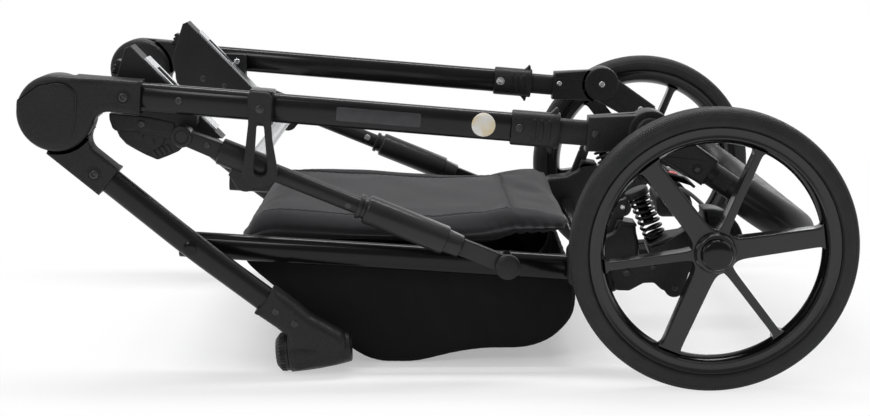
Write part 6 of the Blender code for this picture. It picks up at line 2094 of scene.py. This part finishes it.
@dataclass
class Brake:
    """Foot brake on the axle tube: housing, rocking pedal with its marks, and the two inner cables."""

    half: float = 0.032
    pedal_half: float = 0.026
    pivot: Point = (0.2885, 0.1785)
    boss: float = 0.0075
    cable: float = 0.0022
    cover_set: float = 0.0026
    cable_exit: Point = (-0.004, 0.0155)

    def housing(self) -> None:
        """Rounded housing with a ribbed collar at each end."""
        outline = laid([(-0.020, -0.016), (0.018, -0.016), (0.022, 0.0), (0.016, 0.017), (-0.012, 0.021),
                        (-0.023, 0.008)], PLAN.axle, 0.0)
        shell = plate(filleted(outline, 0.008, 6), -self.half, self.half, 0.0038)
        for sign in (-1.0, 1.0):
            ring = [(sign * (self.half - 0.001), 0.0108), (sign * (self.half - 0.001), 0.0142),
                    (sign * (self.half + 0.0016), 0.0142), (sign * (self.half + 0.0022), 0.0136),
                    (sign * (self.half + 0.0022), 0.0108)]
            shell += lathe(ring, PLAN.axle, 48, loop=True)
        piece("brake_box", shell, "plastic_grained", "suspension", "brake_housing")

    def pedal(self) -> None:
        """Curved pedal with anti-slip bars, and its red mark."""
        x, z = PLAN.axle
        outline = laid([(-0.026, 0.0330), (-0.012, 0.0350), (0.010, 0.0290), (0.024, 0.0180),
                        (0.026, 0.0210), (0.011, 0.0330), (-0.012, 0.0390), (-0.027, 0.0370)], PLAN.axle, 0.0)
        shell = plate(filleted(outline, 0.008, 6), -self.pedal_half, self.pedal_half, 0.0016)
        web = arc(self.pivot, self.boss, 180, 360, 20)
        web += laid([(0.0076, 0.0030), (-0.0076, 0.0065)], self.pivot, 0.0)
        shell += plate(web, -self.pedal_half + 0.006, self.pedal_half - 0.006, 0.0008)
        for k in range(4):
            start = (x - 0.0205 + 0.0042 * k, z + 0.0376 + 0.0005 * min(k, 2))
            bar = laid([(0.0, 0.0), (0.0018, 0.0), (0.0018, 0.0014), (0.0, 0.0014)], start, 0.0)
            shell += plate(filleted(bar, 0.0006, 3), -self.pedal_half + 0.004, self.pedal_half - 0.004,
                           0.0005)
        piece("pedal_plate", shell, "plastic_smooth", "pedal", "brake_pedal")
        mark = [(x - 0.0080, z + 0.0372), (x + 0.0030, z + 0.0352), (x + 0.0034, z + 0.0362),
                (x - 0.0076, z + 0.0386)]
        piece("pedal_mark", plate(mark, -0.034 + 0.010, -0.010, 0.0004), "mark_red", "pedal")

    def route(self, side: Side) -> Array:
        """Cable's route from the housing to the wheel bracket, up and over in one loose arch."""
        x, z = PLAN.axle
        end = PLAN.arm_out - self.cover_set
        points = [(x - 0.004, self.half + 0.0003, z + 0.0155), (x - 0.004, 0.040, z + 0.0155),
                  (x - 0.005, 0.060, z + 0.019), (x - 0.008, 0.095, z + 0.030),
                  (x - 0.009, end - 0.090, z + 0.037), (x - 0.004, end - 0.055, z + 0.037),
                  (x + 0.007, end - 0.025, z + 0.028), (x + 0.012, end - 0.009, z + 0.023),
                  (x + 0.012, end - 0.0003, z + 0.023)]
        return smooth_path(points, 90) * [1, side.value, 1]

    def cables(self, side: Side) -> None:
        """One cable with a tapered sleeve where it leaves the housing; the ring stands on Z and the path."""
        line = self.route(side)
        grid = corded(line, (0.0, 0.0, 1.0), self.cable, 18)
        cord = piece(f"cable_{side.hand}", net(grid), "cable_sleeve", "suspension",
                     f"brake_cable_{side.hand}")
        start = self.half + 0.0002
        x, z = PLAN.axle[0] + self.cable_exit[0], PLAN.axle[1] + self.cable_exit[1]
        relief = lathe([(side.value * start, 0.0040), (side.value * (start + 0.004), 0.0040),
                        (side.value * (start + 0.020), 0.0026), (side.value * (start + 0.0205), 0.0023)],
                       (x, z), 24)
        sleeve = piece(f"cable_relief_{side.hand}", relief, "cable_sleeve", "suspension")
        tuple(line[0])
        [tuple(p) for p in line]

    def make(self) -> None:
        """Make the brake."""
        self.housing()
        self.pedal()
        for side in Side:
            self.cables(side)


# Soft goods


def cloth(grid: Array, thick: float, uv: Array) -> Shell:
    """Give an open grid of points a thickness, offset both ways along its normals.

    Args:
        grid: (rows, columns, 3) points.
        thick: thickness.
        uv: (rows, columns, 2) places in the flat cloth, in metres.

    Returns:
        The closed surface with its UV map.
    """
    du, dv = np.gradient(grid, axis=1), np.gradient(grid, axis=0)
    normal = unit(np.cross(du, dv), 1e-12)
    rows, cols = grid.shape[:2]
    front, back = grid + normal * thick / 2, grid - normal * thick / 2
    top, low = net(front, ring=False), net(back, ring=False)
    shift = rows * cols
    quads = top.faces + [[i + shift for i in f][::-1] for f in low.faces]
    edge = list(range(cols)) + [r * cols + cols - 1 for r in range(1, rows)]
    edge += [(rows - 1) * cols + k for k in range(cols - 2, -1, -1)]
    edge += [r * cols for r in range(rows - 2, 0, -1)]
    quads += [[a, b, b + shift, a + shift] for a, b in zip(edge, edge[1:] + edge[:1])]
    flat = uv.reshape(-1, 2)
    return Shell(np.vstack([front.reshape(-1, 3), back.reshape(-1, 3)]), quads, np.vstack([flat, flat]))


def piping(points: Array, radius: float) -> Shell:
    """Corded piping along a line of any shape, with a ring that stays upright."""
    twist = 1 + 0.05 * np.sin(np.arange(len(points)) * 1.3)[:, None, None]
    run, turn = np.linspace(0, 1, len(points)), full_turn(10) / math.tau
    uv = np.stack(np.meshgrid(run, turn, indexing="ij"), -1) * 0.02
    return mapped(corded(points, (0.0, 1.0, 0.02), radius * twist, 10), uv)


@dataclass
class Basket:
    """Sewn basket between the rails: a sling from front to rear, two side panels and bound edges."""

    half: float = 0.1837
    thick: float = 0.0016
    rear: Point = (0.1478, 0.0215)
    inset: float = 0.001

    @property
    def top(self) -> float:
        """Height of the basket's front edge."""
        return along(PLAN.rail, PLAN.rail_angle, 0.045)[1] - 0.002

    def section(self, count: int = 180) -> Array:
        """Line of the sling in the side view, from the front edge down and up to the rear edge."""
        points = [(-0.2112, self.top), (-0.2072, 0.1155), (-0.1770, 0.0875), (-0.1474, 0.0612),
                  (-0.1180, 0.0365), (-0.0846, 0.0118), (-0.0637, 0.0034), (-0.0440, 0.0020),
                  (-0.0181, 0.0032), (0.0230, 0.0127), (0.0560, 0.0173), (0.0980, 0.0186), (0.1230, 0.0259),
                  (0.1395, 0.0381), (0.1520, 0.0550), (0.1555, 0.0753), (0.1526, 0.0950),
                  (self.rear[0], self.top - self.rear[1])]
        return smooth_path(points, count)

    def sling(self) -> None:
        """Front, bottom and rear in one length of cloth.

        Across the pram the cloth sags by a parabola, (1 - (y/half)^2) * 2.5 mm, and creases run up from
        the bottom corners, a sum of sines that dies out towards the middle.
        """
        line = self.section()
        across = np.linspace(-self.half + self.inset, self.half - self.inset, 90)
        run = travelled(line)
        slope = unit(np.gradient(line, axis=0))
        inward = np.stack([-slope[:, 1], slope[:, 0]], 1)
        y = across[None] / self.half
        u = (run / run[-1])[:, None]
        end = np.minimum(u, 1 - u)
        edge = np.clip((1 - np.abs(y)) / 0.06, 0, 1) * np.clip(end / 0.03, 0, 1)
        wrinkle = 0.0011 * np.sin(u * 47 + 5 * np.abs(y)) * np.exp(-((1 - np.abs(y)) / 0.25) ** 2)
        wrinkle += 0.0009 * np.sin(y * 19 + 6 * u) * np.sin(u * 23)
        lift = edge * (0.0012 + wrinkle) + (1 - y ** 2) * 0.0010 * np.clip(end / 0.05, 0, 1)
        x = line[:, :1] + inward[:, :1] * lift
        z = line[:, 1:] + inward[:, 1:] * lift
        grid = np.stack([x, np.repeat(across[None], len(line), 0), z], -1)
        uv = np.stack([np.repeat(run[:, None], len(across), 1), np.repeat(across[None], len(line), 0)], -1)
        sling = piece("basket_sling", cloth(grid, self.thick, uv), "cloth_black", "chassis", "basket")
        2 * self.half
        float(run[-1])

    def panel(self, side: Side) -> None:
        """Side panel: rows run from the straight top edge down to the sling's line.

        The panel hollows by 3 mm towards the middle and has soft vertical folds that grow downwards.
        """
        line = self.section(200)
        line = line[(line[:, 1] < self.top - 0.0005)]
        top_z = np.interp(line[:, 0], [-0.212, 0.149], [self.top - 0.0004, self.top - self.rear[1]])
        v = np.linspace(0, 1, 46)[:, None]
        x = np.repeat(line[None, :, 0], 46, 0)
        z = top_z[None] * (1 - v) + line[None, :, 1] * v
        u = np.linspace(0, 1, x.shape[1])[None]
        bow = 4 * v * (1 - v) * np.clip(np.minimum(u, 1 - u) / 0.12, 0, 1)
        folds = 0.0009 * np.sin(x * 92 + 3 * z * 20) + 0.0006 * np.sin(x * 210 + 50 * z)
        w = self.half - 0.0012 - 0.0022 * bow - folds * bow
        grid = np.stack([x, w * side.value, z], -1)
        uv = np.stack([x, z], -1)
        area = float(np.abs(np.trapz(top_z - line[:, 1], line[:, 0])))
        panel = piece("basket_side_" + side.hand, cloth(grid, self.thick, uv), "cloth_black", "chassis")
        width, height = float(np.ptp(line[:, 0])), float(self.top - line[:, 1].min())
        f"lower_rail_{side.hand}"

    def bindings(self) -> None:
        """Piping along both lower edges, a bound front edge and an elastic tunnel at the rear."""
        line = self.section(240)
        for side in Side:
            y = np.full(len(line), side.value * (self.half - 0.0008))
            edge = np.stack([line[:, 0], y, line[:, 1]], 1)
            piece("basket_piping_" + side.hand, piping(edge, 0.0015), "cloth_black", "chassis")
        y = np.linspace(-self.half + self.inset, self.half - self.inset, 160)
        rear = np.stack([np.full(160, self.rear[0]), y, self.top - 0.0225 + 0.0006 * np.sin(y * 230)], 1)
        t = full_turn(14)
        pinch = 1 + 0.10 * np.sin(y * 420)[:, None]
        grid = np.stack([rear[:, :1] + 0.0021 * pinch * np.cos(t), np.repeat(y[:, None], 14, 1),
                         rear[:, 2:] + 0.0032 * pinch * np.sin(t)], -1)
        uv = np.stack(np.meshgrid(y, t * 0.003, indexing="ij"), -1)
        piece("basket_elastic", mapped(grid, uv), "cloth_black", "chassis")

    def make(self) -> None:
        """Make the basket."""
        self.sling()
        for side in Side:
            self.panel(side)
        self.bindings()


@dataclass
class Lid:
    """Padded cover of the basket: a sewn box whose panels swell between their seams by simulation."""

    half: float = 0.170
    start: float = -0.2160
    end: float = 0.1490
    swell: float = 0.0040
    corner: float = 0.0050
    near_corner: float = 0.0190
    plan_corner: float = 0.016
    bulge: float = 0.0022
    seam_x: float = 0.0855
    seam_far: float = 0.150
    seam_deep: float = 0.0030
    seam_wide: float = 0.0015
    pucker_high: float = 0.0005
    pucker_wide: float = 0.0070
    stations: int = 74
    across: int = 70

    @property
    def seat(self) -> float:
        """Height of the cover's underside at the front."""
        return Basket().top + PLAN.gap

    def levels(self, x: Array) -> tuple[Array, Array, Array]:
        """Heights of the top near the viewer, the top at the far side and the underside, along the cover."""
        near = np.interp(x, [-0.2160, -0.200, -0.178, -0.0925, 0.0011, 0.0524, 0.0879, 0.115, 0.149],
                         [0.1590, 0.1665, 0.1698, 0.1640, 0.1608, 0.1650, 0.1735, 0.1725, 0.1650])
        far = np.interp(x, [-0.2160, -0.203, -0.0647, 0.0094, 0.070, 0.135, 0.149],
                        [0.1570, 0.1610, 0.1540, 0.1500, 0.1530, 0.1605, 0.1585])
        low = np.interp(x, [-0.2085, -0.150, -0.030, 0.060, 0.070, 0.0903, 0.144, 0.149],
                        np.array([0.0022, 0.0012, 0.0004, 0.0004, 0.0014, 0.0085, 0.0120, 0.0130])
                        + self.seat)
        return near, far, low

    def blank(self) -> Array:
        """Unswollen shape as a grid: a rounded oblong section at each station.

        The ring runs over the top from the far side to the near one, down, and back below. At a distance d
        from an end, the half width and the height shrink by r (1 - sqrt(1 - (1 - d/r)^2)).

        Returns:
            Points, (stations, ring, 3).
        """
        x = np.linspace(self.start, self.end, self.stations)
        x[np.abs(x - self.seam_x).argmin()] = self.seam_x
        near, far, low = (level[:, None] for level in self.levels(x))
        front, back = (x - self.start)[:, None], (self.end - x)[:, None]

        def drawn(gap: Array, radius: float) -> Array:
            """Distance that a rounded end draws its section in."""
            return radius * (1 - np.sqrt(1 - (1 - np.clip(gap / radius, 0, 1)) ** 2))

        half = self.half - drawn(np.minimum(front, back), self.plan_corner)
        end = drawn(back, 0.010)
        low = low + end / 2
        near = np.maximum(near - end - drawn(front, 0.030), low + 0.007)
        far = np.maximum(far - end - drawn(front, 0.022), low + 0.007)
        c = np.minimum(self.near_corner, (near - low) * 0.68)
        a = np.minimum(self.corner, (far - low) * 0.4)
        turn = np.radians(np.linspace(0, 90, 8))[None]
        out, up = np.sin(turn), np.cos(turn)
        flat = np.linspace(0, 1, self.across)[None]
        side = np.array([[0.25, 0.5, 0.75]])
        puff = self.bulge * np.sin(side * math.pi)
        under = np.linspace(-1, 1, self.across // 2)[None, 1:-1]
        high, reach = near - c - low - a, far - low - 2 * a
        blocks = [
            ((half - a) * (1 - flat) + (c - half) * flat, far * (1 - flat) + near * flat),
            ((c - half) - c * out[:, 1:], near - c + c * up[:, 1:]),
            (-half - puff, near - c - high * side),
            (a - half - a * up, low + a - a * out),
            ((half - a) * under, low + 0 * under),
            (half - a + a * out, low + a - a * up),
            (half + puff, low + a + reach * side),
            (half - a + a * up[:, :-1], far - a + a * out[:, :-1]),
        ]
        y = np.concatenate([block[0] for block in blocks], 1)
        z = np.concatenate([block[1] for block in blocks], 1)
        return np.stack([np.repeat(x[:, None], y.shape[1], 1), y, z], -1)

    def seams(self) -> tuple[Array, Array]:
        """Tell which columns run along the near edge, and along the far seam, in the ring."""
        flat = np.linspace(self.half - self.corner, self.near_corner - self.half, self.across)
        return np.array([self.across - 1]), np.array([int(np.abs(flat - self.seam_far).argmin())])

    def held(self, grid: Array) -> Array:
        """Mark the points that the seams hold still."""
        rows, cols = grid.shape[:2]
        near, far = self.seams()
        x = grid[:, 0, 0]
        mark = np.zeros((rows, cols), bool)
        mark[np.ix_(x <= self.seam_x + 1e-6, np.concatenate([near, far]))] = True
        mark[int(np.abs(x - self.seam_x).argmin()), far[0]:near[0] + 1] = True
        mark[:, near[0] + 11:near[0] + 14] = True
        return mark.reshape(-1)

    def swollen(self, grid: Array) -> Array:
        """Swell the box as cloth under pressure, its seams pinned; cap and even the movements."""
        rows, cols = grid.shape[:2]
        pad = bpy.data.objects.new("lid_blank", mesh_of(net(grid), "lid_blank"))
        bpy.context.scene.collection.objects.link(pad)
        group = pad.vertex_groups.new(name="seams")
        group.add(np.flatnonzero(self.held(grid)).tolist(), 1.0, "REPLACE")
        cloth_step = pad.modifiers.new("swell", "CLOTH")
        rule = cloth_step.settings
        rule.use_pressure, rule.uniform_pressure_force = True, 4.0
        rule.effector_weights.gravity = 0.0
        rule.tension_stiffness = rule.compression_stiffness = 9.0
        rule.bending_stiffness = 0.6
        rule.vertex_group_mass = "seams"
        for number in range(1, 21):
            bpy.context.scene.frame_set(number)
        move = points_of(baked(pad)) - grid.reshape(-1, 3)
        bpy.context.scene.frame_set(1)
        bpy.data.objects.remove(pad)
        size = np.linalg.norm(move, axis=1, keepdims=True)
        move *= np.minimum(1.0, self.swell / np.maximum(size, 1e-9))
        move = move.reshape(rows, cols, 3)
        held = self.held(grid).reshape(rows, cols)
        for _ in range(4):
            around = np.roll(move, 1, 1) + np.roll(move, -1, 1)
            beside = np.concatenate([move[:1], move[:-1]]) + np.concatenate([move[1:], move[-1:]])
            move = np.where(held[..., None], 0.0, move * 0.4 + (around + beside) * 0.15)
        return grid + move

    def refined(self, grid: Array) -> tuple[Array, Array, Array]:
        """Resample the swollen grid by Catmull-Rom, closely on both sides of each seam.

        Returns:
            The finer grid, and its row and column places in the old grid.
        """
        rows, cols = grid.shape[:2]
        near, far = self.seams()
        cross = int(np.abs(grid[:, 0, 0] - self.seam_x).argmin())
        fine = np.array([-0.8, -0.55, -0.38, -0.24, -0.1, 0.1, 0.24, 0.38, 0.55, 0.8])
        u = np.unique(np.round(np.concatenate([np.arange(0, rows - 0.99, 0.5), fine + cross]), 3))
        v = np.unique(np.round(np.concatenate([np.arange(0, cols, 0.5), fine + near[0], fine + far[0]]), 3))
        u, v = u[(u >= 0) & (u <= rows - 1)], v[(v >= 0) & (v < cols)]

        def run(data: Array, place: Array, loop: bool) -> Array:
            """Catmull-Rom along the first axis."""
            n = len(data)
            i = np.minimum(place.astype(int), n - 1 if loop else n - 2)
            t = (place - i).reshape(-1, *([1] * (data.ndim - 1)))
            pick = [data[(i + k) % n] if loop else data[np.clip(i + k, 0, n - 1)] for k in (-1, 0, 1, 2)]
            return catmull_rom(*pick, t)

        finer = run(grid, u, False)
        finer = run(finer.swapaxes(0, 1), v, True).swapaxes(0, 1)
        return finer, u, v

    def make(self) -> None:
        """Make the cover, sink its stitched seams and raise puckers beside them.

        A seam's depth is 3 mm * exp(-(d / 1.5 mm)^2), and the puckers are a sine along it that dies
        out over 7 mm; d is the distance from the seam over the surface.
        """
        grid = self.swollen(self.blank())
        finer, u, v = self.refined(grid)
        du, dv = np.gradient(finer, axis=0), np.gradient(finer, axis=1)
        normal = unit(np.cross(dv, du))
        normal *= np.sign(normal[len(u) // 2, len(v) // 8, 2])
        near, far = self.seams()
        x, y = finer[..., 0], finer[..., 1]
        step_v = 2 * self.half / self.across
        from_near = np.where(x < self.seam_x + 0.001, np.abs(v[None] - near[0]) * step_v, 1.0)
        from_far = np.where(x < self.seam_x + 0.001, np.abs(v[None] - far[0]) * step_v, 1.0)
        over = (v[None] >= far[0] - 0.01) & (v[None] <= near[0] + 0.01)
        from_cross = np.where(over, np.abs(x - self.seam_x), 1.0)
        d = np.minimum(np.minimum(from_near, from_far), from_cross)
        along_seam = np.where(from_cross < np.minimum(from_near, from_far), y, x)
        sink = self.seam_deep * np.exp(-(d / self.seam_wide) ** 2)
        pucker = self.pucker_high * np.sin(along_seam * 640) * np.exp(-(d / self.pucker_wide) ** 2)
        slack = np.clip((x - 0.05) / 0.05, 0, 1) * np.clip((-y - 0.14) / 0.02, 0, 1)
        slack *= np.clip((0.164 - finer[..., 2]) / 0.016, 0, 1)
        crease = 0.0009 * slack * np.sin(x * 480 + finer[..., 2] * 300) + 0.0004 * slack * np.sin(x * 1010)
        bumps = 0.0008 * np.sin(x * 27 + 1.3) * np.sin(y * 33 + 0.7) + 0.0004 * np.sin(x * 71 + y * 49)
        finer = finer + normal * (bumps + crease + pucker - sink)[..., None]
        uv = np.stack([x + finer[..., 2] * 0.5, y + finer[..., 2] * 0.6], -1)
        thing = piece("lid_cover", mapped(finer, uv), "cloth_charcoal", "chassis", "basket_lid")
        thing.data.shade_smooth()


def points_of(mesh: bpy.types.Mesh) -> Array:
    """Give a mesh's points as rows."""
    flat = np.empty(len(mesh.vertices) * 3)
    mesh.vertices.foreach_get("co", flat)
    return flat.reshape(-1, 3)


def baked(thing: bpy.types.Object) -> bpy.types.Mesh:
    """Give the mesh that an object's modifiers make."""
    bpy.context.view_layer.update()
    graph = bpy.context.evaluated_depsgraph_get()
    return bpy.data.meshes.new_from_object(thing.evaluated_get(graph))


# Scene


@dataclass
class Studio:
    """Camera of the picture, pale floor, soft lamps and white surroundings."""

    place: tuple[float, float, float] = (0.0, -1.7513, 0.4914)
    tilt: float = 0.198
    lens: float = 59.88
    floor_tone: float = 0.96
    shadow_end: tuple[float, float] = (0.40, 0.86)
    lightest: float = 0.38
    world_light: float = 0.40
    front_tone: float = 0.22
    lamps: tuple = (
        ("lamp_top", (0.0, 0.20, 1.9), (1.9, 0.28), 27.0),
        ("lamp_front", (-1.3, -1.9, 1.7), (0.7, 0.7), 10.0),
        ("lamp_back", (1.2, 1.9, 1.2), (0.9, 0.5), 7.0),
    )

    def camera(self) -> None:
        """Stand the camera where the picture was taken from."""
        data = bpy.data.cameras.new("camera")
        data.lens, data.sensor_width = self.lens, 36.0
        thing = bpy.data.objects.new("camera", data)
        thing.location = self.place
        thing.rotation_euler = (math.pi / 2 - self.tilt, 0.0, 0.0)
        bpy.context.scene.collection.objects.link(thing)
        bpy.context.scene.camera = thing

    def floor(self) -> None:
        """Lay a wide floor whose tone is white to the camera away from the shadow."""
        mesh = bpy.data.meshes.new("floor")
        r = 12.0
        mesh.from_pydata([(-r, -r, 0), (r, -r, 0), (r, r, 0), (-r, r, 0)], [], [(0, 1, 2, 3)])
        thing = bpy.data.objects.new("floor", mesh)
        thing.location.z = -0.0006
        bpy.context.scene.collection.objects.link(thing)
        recipe = Recipe("floor_pale")
        tone = self.floor_tone
        recipe.set(Base_Color=(tone, tone, tone, 1.0), Roughness=0.9, Specular_IOR_Level=0.0)
        reach = recipe.node("VectorMath", {0: recipe.place.outputs["Object"], 1: (0.9, 2.2, 0.0)},
                            operation="MULTIPLY")
        reach = recipe.node("VectorMath", {0: reach.outputs[0]}, operation="LENGTH").outputs["Value"]
        away = recipe.span(reach, self.shadow_end[0], self.shadow_end[1], self.lightest, 1.0)
        white = recipe.node("Emission", {"Color": (1.0, 1.0, 1.0, 1.0), "Strength": 1.0})
        mix = recipe.node("MixShader", {0: recipe.math("MULTIPLY", recipe.seen(), away),
                                        1: recipe.shader.outputs[0], 2: white.outputs[0]})
        recipe.links.new(mix.outputs[0], recipe.nodes["Material Output"].inputs["Surface"])
        thing.data.materials.append(recipe.material)
        thing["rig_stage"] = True

    def world(self) -> None:
        """Surroundings: white to the camera, and an even soft light on everything.

        Reflections show them white as well, but for the viewer's side of the room, which is dimmer.
        """
        world = bpy.data.worlds.new("surroundings")
        world.use_nodes = True
        tree = Tree(world.node_tree)
        glossy = tree.rays.outputs["Is Glossy Ray"]
        strength = tree.span(tree.seen(), 0.0, 1.0, self.world_light, 1.0)
        toward = tree.node("SeparateXYZ", {"Vector": tree.place.outputs["Generated"]}).outputs["Y"]
        dim = tree.span(toward, -0.75, -0.10, 1.0 - self.front_tone, 0.0)
        tree.fill(tree.nodes["Background"].inputs["Color"], (1.0, 1.0, 1.0, 1.0))
        tree.fill(tree.nodes["Background"].inputs["Strength"],
                  tree.math("SUBTRACT", strength, tree.math("MULTIPLY", dim, glossy)))
        bpy.context.scene.world = world

    def lamp(self, name: str, place: Sequence[float], size: Point, watts: float) -> None:
        """Hang an oblong soft lamp that faces the pram."""
        data = bpy.data.lights.new(name, "AREA")
        data.shape = "RECTANGLE"
        data.size, data.size_y, data.energy = *size, watts
        thing = bpy.data.objects.new(name, data)
        thing.location = place
        thing.rotation_mode = "QUATERNION"
        thing.rotation_quaternion = (Vector((0.0, 0.0, 0.15)) - Vector(place)).to_track_quat("-Z", "Y")
        bpy.context.scene.collection.objects.link(thing)

    def make(self) -> None:
        """Set the stage."""
        self.camera()
        self.floor()
        self.world()
        for name, place, size, watts in self.lamps:
            self.lamp(name, place, size, watts)
        bpy.context.scene.view_settings.view_transform = "Standard"


def main() -> None:
    """Build the stage and each sub-assembly."""
    logging.basicConfig(level=logging.INFO, format="%(name)s: %(message)s")
    Studio().make()
    Brake().make()
    for side in Side:
        RearWheel(side).make()
        for part in (Knuckle, FrontLeg, LowerFrame, SwingArm, Strut, UpperTube, SeatAdaptor, HandleJoint):
            part(side).make()
    CrossTubes().make()
    Grip().make()
    TransportHook().make()
    Basket().make()
    Lid().make()
    low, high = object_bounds()
    {"cad": [list(CAD_BOX[0]), list(CAD_BOX[1])], "visual": [list(low), list(high)]}


if __name__ == "__main__":
    main()
